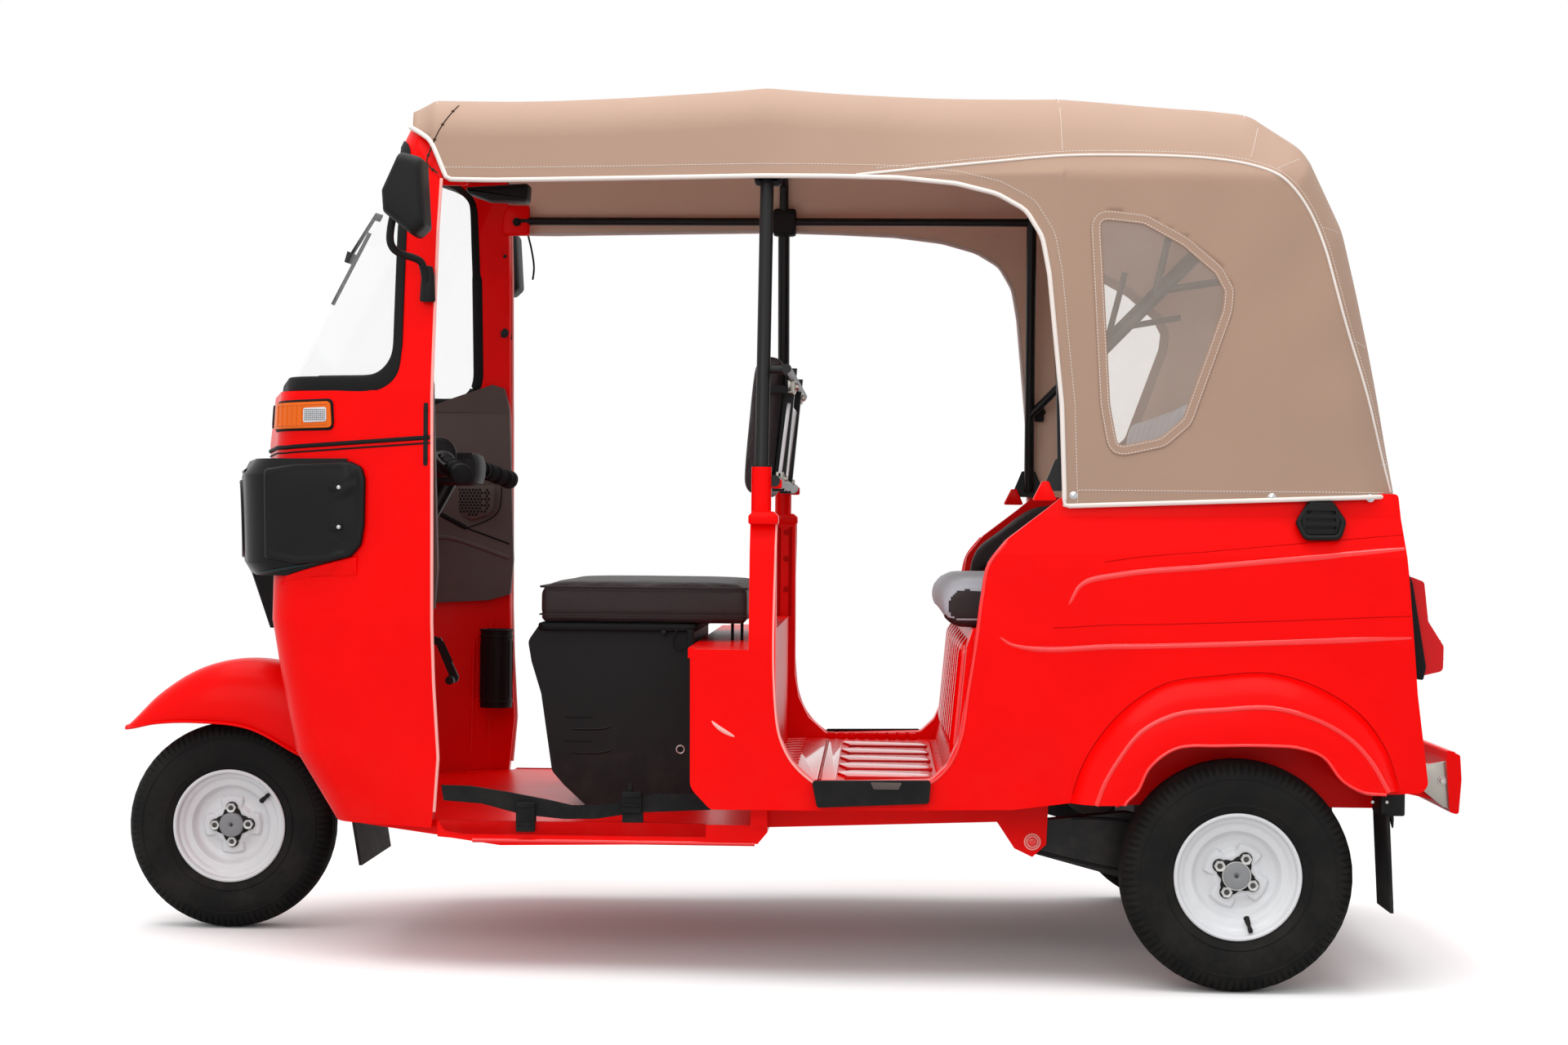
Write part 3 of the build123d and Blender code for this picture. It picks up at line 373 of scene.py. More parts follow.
# ---------------------------------------------------------------- finishes
def new_group(name, outputs, **inputs):
    """Shader node group with a vector input, number inputs with their defaults, and number outputs."""
    group = bpy.data.node_groups.new(name, "ShaderNodeTree")
    sockets = group.interface
    sockets.new_socket(name="Vector", in_out="INPUT", socket_type="NodeSocketVector")
    for label, default in inputs.items():
        label = label.replace("_", " ")
        sockets.new_socket(name=label, in_out="INPUT", socket_type="NodeSocketFloat").default_value = default
    for label in outputs:
        sockets.new_socket(name=label, in_out="OUTPUT", socket_type="NodeSocketFloat")
    return group, group.nodes.new("NodeGroupInput").outputs, group.nodes.new("NodeGroupOutput")


def feed(tree, node, **inputs):
    """Gives inputs values or links: _2 stands for input number 2, and _ inside a name stands for a space."""
    for key, value in inputs.items():
        socket = node.inputs[int(key[1:])] if key[1:].isdigit() else node.inputs[key.replace("_", " ")]
        if isinstance(value, bpy.types.NodeSocket):
            tree.links.new(value, socket)
        else:
            socket.default_value = value
    return node


def wire(tree, kind, settings=None, **inputs):
    """Adds a node, sets its properties and feeds its inputs."""
    node = tree.nodes.new(kind)
    for key, value in (settings or {}).items():
        setattr(node, key, value)
    return feed(tree, node, **inputs)


def noise(tree, space, **inputs):
    """Value of a noise texture in a space."""
    return wire(tree, "ShaderNodeTexNoise", Vector=space, **inputs).outputs["Fac"]


def calc(tree, operation, *values, clamp=False):
    """Result of a math node for its values or sockets."""
    values = {f"_{index}": value for index, value in enumerate(values)}
    return wire(tree, "ShaderNodeMath", {"operation": operation, "use_clamp": clamp}, **values).outputs[0]


def span(tree, value, shape="LINEAR", **limits):
    """A value carried from one range to another."""
    return wire(tree, "ShaderNodeMapRange", {"interpolation_type": shape}, Value=value,
                **limits).outputs["Result"]


def blend(tree, share, first, second):
    """Mix of two colours by a share."""
    return wire(tree, "ShaderNodeMix", {"data_type": "RGBA"}, _0=share, _6=first, _7=second).outputs[2]


def build_groups():
    """Effects that several finishes share, each made once."""
    # grain: fine cells and a slow cloud of the same object space, as a height and a cloud mask
    grain, given, end = new_group("surface grain", ("Height", "Cloud"), Grain_Scale=900.0, Cloud_Scale=6.0)
    fine = noise(grain, given["Vector"], Scale=given["Grain Scale"], Detail=3.0, Roughness=0.6)
    cloud = noise(grain, given["Vector"], Scale=given["Cloud Scale"], Detail=4.0, Roughness=0.55)
    feed(grain, end, Height=fine, Cloud=cloud)

    # leather: wrinkle cells of two sizes, lowered by a fine noise
    leather, given, end = new_group("leather grain", ("Height", "Cloud"), Scale=420.0)
    cells = wire(leather, "ShaderNodeTexVoronoi", {"feature": "DISTANCE_TO_EDGE"}, Vector=given["Vector"],
                 Scale=given["Scale"])
    pores = noise(leather, given["Vector"], Scale=1600.0, Detail=2.0)
    edge = span(leather, cells.outputs["Distance"], From_Max=0.18)
    cloud = noise(leather, given["Vector"], Scale=9.0, Detail=3.0)
    feed(leather, end, Height=calc(leather, "MULTIPLY_ADD", pores, 0.25, edge), Cloud=cloud)

    # coated weave: crossing ribs of a canvas under its vinyl, seen as a faint height
    weave, given, end = new_group("coated weave", ("Height", "Cloud"), Threads=4200.0)
    axes = wire(weave, "ShaderNodeSeparateXYZ", Vector=given["Vector"]).outputs
    ribs = [calc(weave, "SINE", calc(weave, "MULTIPLY", way, given["Threads"]))
            for way in (axes["X"], calc(weave, "ADD", axes["Y"], axes["Z"]))]
    cloud = noise(weave, given["Vector"], Scale=3.5, Detail=5.0, Roughness=0.6)
    feed(weave, end, Height=calc(weave, "MULTIPLY", *ribs), Cloud=cloud)

    # road dust: a mask that fades upwards from the ground and breaks up in patches
    dust, given, end = new_group("road dust", ("Mask",), Top=0.35, Amount=0.3)
    axes = wire(dust, "ShaderNodeSeparateXYZ", Vector=given["Vector"]).outputs
    fade = span(dust, axes["Z"], From_Max=given["Top"], To_Min=1.0, To_Max=0.0)
    patch = span(dust, noise(dust, given["Vector"], Scale=14.0, Detail=6.0, Roughness=0.65), From_Min=0.42,
                 From_Max=0.72)
    feed(dust, end, Mask=calc(dust, "MULTIPLY", calc(dust, "MULTIPLY", fade, patch),
                              given["Amount"], clamp=True))
    return {"grain": grain, "leather": leather, "weave": weave, "dust": dust}


class Look(NamedTuple):
    """One finish: its colour, its clouds' colour and roughness, pattern, bump in mm, dust's top in m."""

    colour: tuple
    second: tuple
    rough: float
    rough_high: float
    scale: float
    bump: float
    metal: float = 0.0
    specular: float = 0.5
    coat: float = 0.0
    pattern: str = "grain"
    top: float = 0.50
    dust: float = 0.05


FINISHES = {
    "red_paint": Look((0.93, 0.0008, 0.0004), (0.80, 0.0006, 0.0004), 0.30, 0.36, 260.0, 0.02, specular=0.07,
                      coat=0.03),
    "black_gloss": Look((0.004, 0.004, 0.0045), (0.007, 0.007, 0.0075), 0.36, 0.44, 700.0,
                        0.05, specular=0.16),
    "black_plastic": Look((0.007, 0.007, 0.0075), (0.011, 0.011, 0.0115), 0.48, 0.58, 1100.0,
                          0.12, specular=0.15, dust=0.12),
    "black_tube": Look((0.006, 0.006, 0.0065), (0.010, 0.010, 0.010), 0.32, 0.44, 500.0, 0.05, specular=0.22,
                       coat=0.05, top=0.45, dust=0.20),
    "trim_plastic": Look((0.098, 0.078, 0.071), (0.082, 0.065, 0.059), 0.52, 0.60, 1300.0,
                         0.10, specular=0.20),
    "rubber": Look((0.005, 0.005, 0.0055), (0.008, 0.008, 0.0085), 0.55, 0.70, 900.0, 0.08,
                   specular=0.14, top=0.45, dust=0.15),
    "tyre": Look((0.0060, 0.0060, 0.0060), (0.010, 0.0098, 0.0095), 0.60, 0.75, 1200.0, 0.15, specular=0.12,
                 top=0.55),
    "wheel_paint": Look((0.72, 0.73, 0.75), (0.64, 0.65, 0.67), 0.28, 0.36, 420.0, 0.03, coat=0.25, top=0.60,
                        dust=0.16),
    "cast_metal": Look((0.045, 0.045, 0.047), (0.075, 0.072, 0.070), 0.55, 0.75, 500.0, 0.30,
                       metal=0.4, specular=0.4, top=0.60, dust=0.45),
    "chrome": Look((0.62, 0.63, 0.64), (0.50, 0.50, 0.51), 0.12, 0.24, 300.0, 0.01, metal=1.0),
    "polished_paint": Look((0.93, 0.0008, 0.0004), (0.86, 0.0007, 0.0004), 0.16, 0.20, 260.0, 0.01, coat=0.6,
                           dust=0.03),
    # deep_red is a darker copy of the body red: painted shade on the floor pan's band, the passenger floor's
    # lines, the lines above the quarter creases and the post embossing; on the arch seams and sill plugs it is
    # their dark colour
    "deep_red": Look((0.52, 0.0004, 0.0003), (0.46, 0.0004, 0.0003), 0.34, 0.40, 260.0, 0.02, specular=0.05),
    "dull_chrome": Look((0.30, 0.27, 0.23), (0.48, 0.46, 0.42), 0.22, 0.34, 60.0, 0.02, metal=1.0, dust=0.10),
    "dark_thread": Look((0.030, 0.014, 0.008), (0.045, 0.022, 0.012), 0.80, 0.85, 2600.0, 0.10, specular=0.2,
                        dust=0.03),
    # pale_highlight_paint is a pale pink copy of the body red: a painted highlight for the door lips, doorway
    # lips, quarter crescent and pivot rings
    "pale_highlight_paint": Look((0.95, 0.42, 0.38), (0.90, 0.34, 0.31), 0.30, 0.40, 400.0, 0.02, specular=0.3, coat=0.1,
                      dust=0.03),
    "deep_teal": Look((0.0015, 0.010, 0.011), (0.003, 0.014, 0.015), 0.35, 0.45, 700.0, 0.04, specular=0.3),
    "pale_lens": Look((0.62, 0.62, 0.64), (0.54, 0.54, 0.57), 0.16, 0.24, 300.0, 0.03, coat=0.2, dust=0.02),
    "zinc": Look((0.60, 0.60, 0.59), (0.50, 0.49, 0.47), 0.30, 0.42, 500.0, 0.03, metal=0.55,
                 top=0.60, dust=0.06),
    "dark_leather": Look((0.020, 0.013, 0.014), (0.030, 0.020, 0.021), 0.40, 0.52, 520.0, 0.22, specular=0.26,
                         pattern="leather", dust=0.03),
    "silver_leather": Look((0.36, 0.37, 0.41), (0.42, 0.43, 0.47), 0.42, 0.52, 480.0, 0.20, specular=0.26,
                           pattern="leather", dust=0.02),
    "hood_vinyl": Look((0.375, 0.247, 0.183), (0.350, 0.229, 0.168), 0.50, 0.60, 4200.0, 0.06, specular=0.15,
                       pattern="weave", dust=0.03),
    # hood_lining is a much paler copy of the hood's tan, standing for light that does not reach inside the hood:
    # painted light
    "hood_lining": Look((0.800, 0.590, 0.450), (0.740, 0.540, 0.410), 0.62, 0.72, 4200.0, 0.08, specular=0.10,
                        pattern="weave", dust=0.03),
    "piping": Look((0.78, 0.72, 0.68), (0.70, 0.63, 0.58), 0.42, 0.52, 900.0, 0.05, specular=0.4),
    "thread": Look((0.74, 0.68, 0.63), (0.66, 0.60, 0.55), 0.80, 0.85, 2600.0, 0.10, specular=0.2, dust=0.03),
    "red_lens": Look((0.60, 0.004, 0.006), (0.52, 0.003, 0.005), 0.16, 0.24, 120.0, 0.02,
                     specular=0.20, coat=0.05),
    "amber_lens": Look((0.78, 0.14, 0.004), (0.68, 0.11, 0.003), 0.16, 0.24, 120.0, 0.02,
                       specular=0.20, coat=0.05, dust=0.02),
    "grey_plastic": Look((0.24, 0.25, 0.26), (0.20, 0.20, 0.21), 0.38, 0.48, 900.0, 0.06,
                         specular=0.45, dust=0.08),
}
PATTERN_SIZE = {"grain": "Grain_Scale", "leather": "Scale", "weave": "Threads"}
DUST_COLOUR = (0.30, 0.25, 0.20, 1)
COAT_ROUGHNESS = 0.06
# columns: colour, second colour, roughness, alpha
CLEAR_FINISHES = {
    "screen_glass": ((0.80, 0.84, 0.86), (0.86, 0.89, 0.90), 0.04, 0.05),
    "window_film": ((0.62, 0.52, 0.45), (0.72, 0.63, 0.56), 0.12, 0.16),
    "lamp_glass": ((0.86, 0.88, 0.90), (0.92, 0.93, 0.94), 0.06, 0.22),
}


def build_finish(name, groups, chosen=None):
    """One opaque finish: two colours mixed by clouds, dust over them, and a bump from its pattern."""
    look = FINISHES[name]
    colour, second = look.colour, look.second
    if chosen is not None:
        second = [part * new / max(old, 1e-6) for part, new, old in zip(second, chosen, colour)]
        colour = chosen
    material, tree, shader, space = blank_material(name)
    texture = wire(tree, "ShaderNodeGroup", {"node_tree": groups[look.pattern]}, Vector=space,
                   **{PATTERN_SIZE[look.pattern]: look.scale})
    soil = wire(tree, "ShaderNodeGroup", {"node_tree": groups["dust"]}, Vector=space, Top=look.top,
                Amount=look.dust)
    height, cloud = texture.outputs["Height"], texture.outputs["Cloud"]
    base = blend(tree, cloud, (*colour, 1), (*second, 1))
    relief = wire(tree, "ShaderNodeBump", None, Height=height, Strength=1.0, Distance=look.bump / 1000)
    feed(tree, shader, Base_Color=blend(tree, soil.outputs["Mask"], base, DUST_COLOUR),
         Roughness=span(tree, cloud, To_Min=look.rough, To_Max=look.rough_high),
         Normal=relief.outputs["Normal"], Metallic=look.metal, Specular_IOR_Level=look.specular,
         Coat_Weight=look.coat, Coat_Roughness=COAT_ROUGHNESS)
    return material


def build_clear(name, groups):
    """A see-through finish: a thin tinted film whose smears vary its colour and roughness."""
    colour, second, rough, alpha = CLEAR_FINISHES[name]
    material, tree, shader, space = blank_material(name)
    cloud = wire(tree, "ShaderNodeGroup", {"node_tree": groups["grain"]}, Vector=space).outputs["Cloud"]
    feed(tree, shader, Base_Color=blend(tree, cloud, (*colour, 1), (*second, 1)),
         Roughness=span(tree, cloud, To_Min=rough, To_Max=rough * 2),
         Alpha=span(tree, cloud, To_Min=alpha * 0.7, To_Max=alpha * 1.3))
    return material


def blank_material(name):
    """New material, its shader and its object space; a packed one of that name gives the name up."""
    packed = bpy.data.materials.get(name)
    if packed:
        packed.name = f"packed_{name}"
    material = bpy.data.materials.new(name)
    material.use_nodes = True
    tree = material.node_tree
    space = tree.nodes.new("ShaderNodeTexCoord").outputs["Object"]
    return material, tree, tree.nodes["Principled BSDF"], space


def material(name):
    """The finish of that name."""
    return bpy.data.materials[name]


# ---------------------------------------------------------------- hood
# columns: station, half-width at the belt, at the eaves and at the shoulder, shoulder z, crown z
HOOD_ROWS = np.array([
    (386, 530, 452, 366, 1642, 1658),
    (450, 545, 470, 396, 1664, 1690),
    (690, 560, 466, 385, 1672, 1701),
    (1108, 575, 474, 385, 1692, 1722),
    (WHEELBASE - 324, 586, 536, 400, 1668, 1707),
    (WHEELBASE + 30, 592, 530, 405, 1640, 1686),
    (WHEELBASE + 420, 596, 520, 405, 1560, 1610),
], float)
BELT_Z, EAVES_Z = 865.0, 1508.0
SHOULDER_IN, FOOT_DROP = 48, 40           # how far the shoulder lies inside the side, and its foot below it
BOW_STATIONS = np.array([450.0, 1120.0, 1674.0])
CLOTH_SAG = 7.0                           # deepest sag of the shoulder between two bows
HOOD_CORNER = (WHEELBASE - 319, 888.0)   # lower front corner of the hood's rear side panel
# station and z of the hood's lower edge, from the front lip to that corner
EAVES = np.array([
    (394, 1606), (442, 1577), (496, 1500), (598, 1499), (1108, 1509), (1246, 1507),
    (WHEELBASE - 631, 1503), (WHEELBASE - 523, 1491), (WHEELBASE - 447, 1471), (WHEELBASE - 393, 1440),
    (WHEELBASE - 362, 1389), (WHEELBASE - 349, 1320), (WHEELBASE - 325, 1075), HOOD_CORNER,
], float)
# station and z of the shoulder round the back, and how far the crown stands out from it
BACK_LINE = np.array([
    (WHEELBASE - 319, 1668, 39), (WHEELBASE + 40, 1638, 44), (WHEELBASE + 132, 1570, 34),
    (WHEELBASE + 206, 1412, 26), (WHEELBASE + 254, 1185, 20), (WHEELBASE + 300, 912, 16),
], float)
HOOD_WINDOW = np.array([
    (-265, 1433), (-173, 1423), (-97, 1381), (-36, 1328), (-16, 1290), (-20, 1252), (-50, 1168),
    (-94, 1046), (-139, 1007), (-230, 987), (-246, 1075),
], float) + (WHEELBASE, 0)
WINDOW_RADII = [25, 0, 30, 20, 15, 20, 0, 30, 25, 25, 0]
SIDE_SEAM = np.array([
    (1290, 1509), (1323, 1513), (1521, 1531), (1676, 1546), (1825, 1548), (1950, 1543),
    (2022, 1532), (2075, 1512), (2110, 1478), (2140, 1430), (2163, 1370), (2178, 1310), (2200, 1225),
    (2238, 1109), (2262, 1010), (2285, 920), ], float)
SIDE_POINTS, CORNER_POINTS, ROOF_POINTS = 54, 9, 15
FRONT_BOW = 44.0                  # how far the front edge's ends lie behind its middle


def side_half_width(station, z):
    """Half-width of the hood's side: straight from belt to eaves, then in to the shoulder's foot."""
    belt, eaves, shoulder, top = (np.interp(station, HOOD_ROWS[:, 0], HOOD_ROWS[:, k]) for k in (1, 2, 3, 4))
    lower = belt + (eaves - belt) * (z - BELT_Z) / (EAVES_Z - BELT_Z)
    share = np.clip((z - EAVES_Z) / np.maximum(top - FOOT_DROP - EAVES_Z, 1), 0, 1.2)
    return np.where(z < EAVES_Z, lower, eaves + (shoulder + SHOULDER_IN - eaves) * share)


def hood_stations():
    """Rows of the hood: base station and z, direction, and the low, shoulder and crown distance along it."""
    edge = resample(EAVES, 116)
    count = len(edge)
    shoulder = np.interp(edge[:, 0], HOOD_ROWS[:, 0], HOOD_ROWS[:, 4])
    crown = np.interp(edge[:, 0], HOOD_ROWS[:, 0], HOOD_ROWS[:, 5])
    cell = np.clip(np.searchsorted(BOW_STATIONS, edge[:, 0]) - 1, 0, 1)
    first = BOW_STATIONS[cell]
    share = np.clip((edge[:, 0] - first) / (BOW_STATIONS[cell + 1] - first), 0, 1)
    sag = CLOTH_SAG * 4 * share * (1 - share)
    front = np.column_stack([edge[:, 0], np.zeros(count), np.zeros(count), np.ones(count), edge[:, 1],
                             shoulder - sag, crown - 1.6 * sag])
    back = resample(BACK_LINE, 133)
    for _ in range(4):
        back[1:-1] = 0.25 * back[:-2] + 0.5 * back[1:-1] + 0.25 * back[2:]
    back = back[1:]
    out = back[:, :2] - HOOD_CORNER
    reach = np.linalg.norm(out, axis=1)
    out /= reach[:, None]
    corner = np.tile(HOOD_CORNER, (len(back), 1))
    rear = np.column_stack([corner, out, np.zeros(len(back)), reach, reach + back[:, 2]])
    return np.concatenate([front, rear]), count


def hood_sections():
    """Half sections, near side: station, y and z of every row's points from its lower edge to the middle."""
    rows, count = hood_stations()
    base, way = rows[:, None, 0:2], rows[:, None, 2:4]
    low, shoulder, crown = (rows[:, k][:, None] for k in (4, 5, 6))
    foot = np.maximum(shoulder - FOOT_DROP, low + 4)
    bend = np.maximum(foot - FOOT_DROP, low)

    def half_width(reach):
        """Half-width of every row at a reach along its direction."""
        spot = base + way * reach[..., None]
        return side_half_width(spot[..., 0], spot[..., 1])

    t = np.linspace(0, 1, SIDE_POINTS)[None]
    side_h = low + (bend - low) * t
    side_y = half_width(side_h)
    t = np.linspace(0, 1, CORNER_POINTS + 2)[None, 1:-1]
    foot_y, top_y = half_width(foot), half_width(foot) - SHOULDER_IN
    turn_y = top_y * 0.86
    turn_h = shoulder + 0.14 * (crown - shoulder) * 1.6
    weights = [(1 - t) ** 3, 3 * t * (1 - t) ** 2, 3 * t ** 2 * (1 - t), t ** 3]
    corner_h = weights[0] * bend + weights[1] * foot + weights[2] * shoulder + weights[3] * turn_h
    corner_y = (weights[0] * side_y[:, -1:] + weights[1] * foot_y + weights[2] * top_y
                + weights[3] * turn_y)
    t = np.linspace(0, 1, ROOF_POINTS)[None]
    roof_y = turn_y * (1 - t)
    roof_h = turn_h + (crown - turn_h) * (1 - (1 - t) ** 2)
    y = np.concatenate([side_y, corner_y, roof_y], axis=1)
    h = np.concatenate([side_h, corner_h, roof_h], axis=1)
    spot = base + way * h[..., None]
    bow = FRONT_BOW * np.clip(y / 450, 0, 1.1) ** 2 * (1 - smoothstep(spot[..., 0], HOOD_ROWS[0, 0], 560))
    return spot[..., 0] + bow, -y, spot[..., 1], h, count


def hood_creases(station, y, z):
    """Slack of the cloth in millimetres: slow waves across the roof and pulls that fan from the corner."""
    ang = np.arctan2(z - HOOD_CORNER[1], station - HOOD_CORNER[0])
    reach = np.hypot(z - HOOD_CORNER[1], station - HOOD_CORNER[0])
    roof = smoothstep(z, 1480, 1640) * (1.6 * np.sin(station / 61 + y / 170) * np.sin(y / 97 + 0.6)
                                        + 1.1 * np.sin(station / 33 - y / 71))
    side = 1.5 * np.sin(station / 87 + z / 210) * np.sin(z / 63 - station / 340)
    fan = 2.4 * smoothstep(station, HOOD_CORNER[0] + 40, HOOD_CORNER[0] + 260) * smoothstep(reach, 420, 700)
    return roof + side + fan * np.sin(ang * 21 + 0.8)


def inside_outline(points, outline):
    """True where a point lies in a closed outline: it crosses the outline's runs an odd number of times."""
    x, y = points[:, 0, None], points[:, 1, None]
    x0, y0 = outline[None, :, 0], outline[None, :, 1]
    x1, y1 = np.roll(outline, -1, axis=0)[None, :, 0], np.roll(outline, -1, axis=0)[None, :, 1]
    spans = (y0 > y) != (y1 > y)
    cross = x0 + (y - y0) * (x1 - x0) / np.where(y1 == y0, 1e-9, y1 - y0)
    return (spans & (x < cross)).sum(axis=1) % 2 == 1


class Hood:
    """The hood's surface, kept so that seams, piping and windows lie on it."""

    def __init__(self, settings):
        station, y, z, reach, count = hood_sections()
        full = [np.concatenate([half, sign * half[:, -2::-1]], axis=1)
                for half, sign in ((station, 1), (y, -1), (z, 1))]
        self.station, self.y, self.z = full
        self.half_reach, self.front_rows = reach, count
        slack = settings.slack * hood_creases(self.station, self.y, self.z)
        middle = np.clip(np.abs(self.y) / 300, 0, 1)
        outward_y = np.sign(self.y) * middle
        rise = np.sqrt(np.maximum(1 - outward_y ** 2, 0))
        way = np.concatenate([np.tile((0.0, 1.0), (count, 1)), self._back_way(count)])
        edge = np.minimum(1, np.minimum(np.arange(len(y)), len(y) - 1 - np.arange(len(y))) / 4)[:, None]
        slack = slack * edge
        self.y = self.y + outward_y * slack * 0.8
        self.station = self.station + way[:, :1] * rise * slack
        self.z = self.z + way[:, 1:] * rise * slack
        self.half_y = self.y[:, :y.shape[1]]

    @staticmethod
    def _back_way(count):
        """Directions of the rows that fan round the back."""
        rows, _ = hood_stations()
        return rows[count:, 2:4]

    def near_y(self, station, z, lift=0.0):
        """y of the near side at a station and z, moved outwards by lift."""
        station, z = np.atleast_1d(np.asarray(station, float)), np.atleast_1d(np.asarray(z, float))
        fan = station > HOOD_CORNER[0]
        rows, _ = hood_stations()
        front_s = rows[:self.front_rows, 0]
        front_row = np.interp(station, front_s, np.arange(self.front_rows))
        angles = np.arctan2(rows[self.front_rows:, 3], rows[self.front_rows:, 2])[::-1]
        ang = np.arctan2(z - HOOD_CORNER[1], np.maximum(station - HOOD_CORNER[0], 1e-6))
        fan_row = len(rows) - 1 - np.interp(ang, angles, np.arange(len(angles)))
        row = np.where(fan, fan_row, front_row)
        reach = np.where(fan, np.hypot(station - HOOD_CORNER[0], z - HOOD_CORNER[1]), z)
        low = np.clip(row.astype(int), 0, len(rows) - 2)
        share = row - low
        y = (1 - share) * self._along(low, reach) + share * self._along(low + 1, reach)
        return y - lift

    def _along(self, row, reach):
        """y of rows at a reach, straight between the points on either side of it."""
        heights, widths = self.half_reach[row], self.half_y[row]
        j = np.clip((heights < reach[:, None]).sum(axis=1), 1, heights.shape[1] - 1)
        i = np.arange(len(row))
        h0, h1 = heights[i, j - 1], heights[i, j]
        t = np.clip((reach - h0) / np.maximum(h1 - h0, 1e-9), 0, 1)
        return widths[i, j - 1] * (1 - t) + widths[i, j] * t

    def on_side(self, line, lift=0.0):
        """Side-view line of (station, z) laid on the near side, as (station, y, z)."""
        line = np.asarray(line, float)
        return np.column_stack([line[:, 0], self.near_y(line[:, 0], line[:, 1], lift), line[:, 1]])

    def rim(self):
        """Closed line round the hood's edge: eaves, lower edge round the back, far eaves and front lip."""
        last = self.front_rows - 1
        points = np.stack([self.station, self.y, self.z], axis=-1)
        return np.concatenate([points[:last, 0], points[-1], points[last - 1::-1, -1], points[0, -2:0:-1]])


def offset_line(line, distance):
    """Side-view line moved sideways by a distance, to the left of its direction."""
    line = np.asarray(line, float)
    along = unit(np.gradient(line, axis=0))
    return line + distance * np.column_stack([-along[:, 1], along[:, 0]])


def make_hood_cover(hood, settings):
    """One curved sheet: rows of sections over the roof, then rows that fan round the back."""
    points = place(hood.station, hood.y, hood.z)
    rows, columns = points.shape[:2]
    faces = np.array(grid_faces(rows, columns))
    flat = points.reshape(-1, 3)
    middles = np.stack([hood.station.ravel(), hood.z.ravel()], axis=-1)[faces].mean(axis=1)
    sides = np.abs(hood.y.ravel()[faces].mean(axis=1)) > 300
    outline = rounded(HOOD_WINDOW, WINDOW_RADII)
    holes = sides & inside_outline(middles, outline)
    cover = add_mesh("hood_cloth", flat, faces[~holes].tolist(), material("hood_vinyl"))
    weld(cover)
    # paler lining on the inner faces: painted light inside the hood
    cover.data.materials.append(material("hood_lining"))
    wall = cover.modifiers.new("thickness", "SOLIDIFY")
    wall.thickness = settings.cloth
    wall.offset = -1.0
    wall.material_offset = 1
    wall.material_offset_rim = 0
    apply_modifiers(cover)
    return cover


def weld(piece, distance=0.00002):
    """Merges doubled vertices and lets faces point outwards."""
    bm = bmesh.new()
    bm.from_mesh(piece.data)
    bmesh.ops.remove_doubles(bm, verts=bm.verts, dist=distance)
    bmesh.ops.dissolve_degenerate(bm, edges=bm.edges, dist=distance)
    bmesh.ops.recalc_face_normals(bm, faces=bm.faces)
    bm.to_mesh(piece.data)
    bm.free()
    piece.data.update()


def apply_modifiers(piece):
    """Puts the modifiers' result into the mesh."""
    graph = bpy.context.evaluated_depsgraph_get()
    shaped = bpy.data.meshes.new_from_object(piece.evaluated_get(graph))
    piece.modifiers.clear()
    piece.data = shaped


def make_windows(hood):
    """Film panes in both sides, each bound by a flat band that is sewn on along two lines."""
    outline = resample(rounded(HOOD_WINDOW, WINDOW_RADII), 132, closed=True)
    middle = outline.mean(axis=0)
    pane = Solid()
    rings = []
    for share in (0.001, 0.25, 0.5, 0.75, 1.0):
        rings.append(middle + (outline - middle) * share)
    front = [hood.on_side(ring, 0.4) for ring in rings]
    rear = [hood.on_side(ring, -0.8) for ring in rings[::-1]]
    pane.loft(placed(np.stack([*front, *rear])))
    pane = pane.mirror().finish("window_panes", "window_film")
    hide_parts("hood_windows")

    band = Solid()
    closed = np.concatenate([outline[-1:], outline, outline[:1]])
    profile = [(10, 0.4), (9, 2.0), (-9, 2.0), (-10, 0.4), (-10, -3.0), (-9, -4.4), (9, -4.4), (10, -3.0)]
    rows = []
    for aside, lift in profile:
        line = offset_line(closed, aside)[1:-1]
        rows.append(hood.on_side(line, lift))
    rows = np.stack(rows, axis=1)
    band.add(placed(rows),
             grid_faces(len(outline), len(profile), wrap_rows=True, wrap_columns=True))
    band = band.mirror().finish("window_borders", "hood_vinyl")
    thread = Solid()
    for aside in (-6.5, 6.5):
        line = offset_line(closed, aside)[1:]
        stitches(thread, hood.on_side(line, 2.2))
    thread = thread.mirror().finish("window_stitches", "thread")
    return [pane, band, thread]


def make_piping(hood, settings):
    """White cord sewn round the hood's edge and along both side seams."""
    edge = Solid()
    edge.tube(resample(hood.rim(), 620, closed=True), settings.cord * 1000, sides=10, closed=True)
    edge = edge.finish("edge_piping", "piping")
    seam = Solid()
    line = resample(eased(SIDE_SEAM, 2), 150)
    seam.tube(hood.on_side(line, 0.6), 2.6, sides=8)
    lip = resample(eased([(520, 1652), (492, 1600), (472, 1545), (470, 1529), (492, 1512)], 2), 30)
    seam = seam.mirror().finish("seam_piping", "piping")
    front = Solid().tube(hood.on_side(lip, 0.4), 1.5, sides=8)
    for s, z in lip[3::6]:
        front.turned([(0.2, 2.4), (2.4, 2.2), (3.2, 1), (3.2, -1), (0.2, -1)],
                     hood.on_side(np.array([(s, z)]), 0)[0], (0, -1, 0.4), 12)
    front = front.mirror().finish("front_seam", "dark_thread")
    return [edge, seam, front]


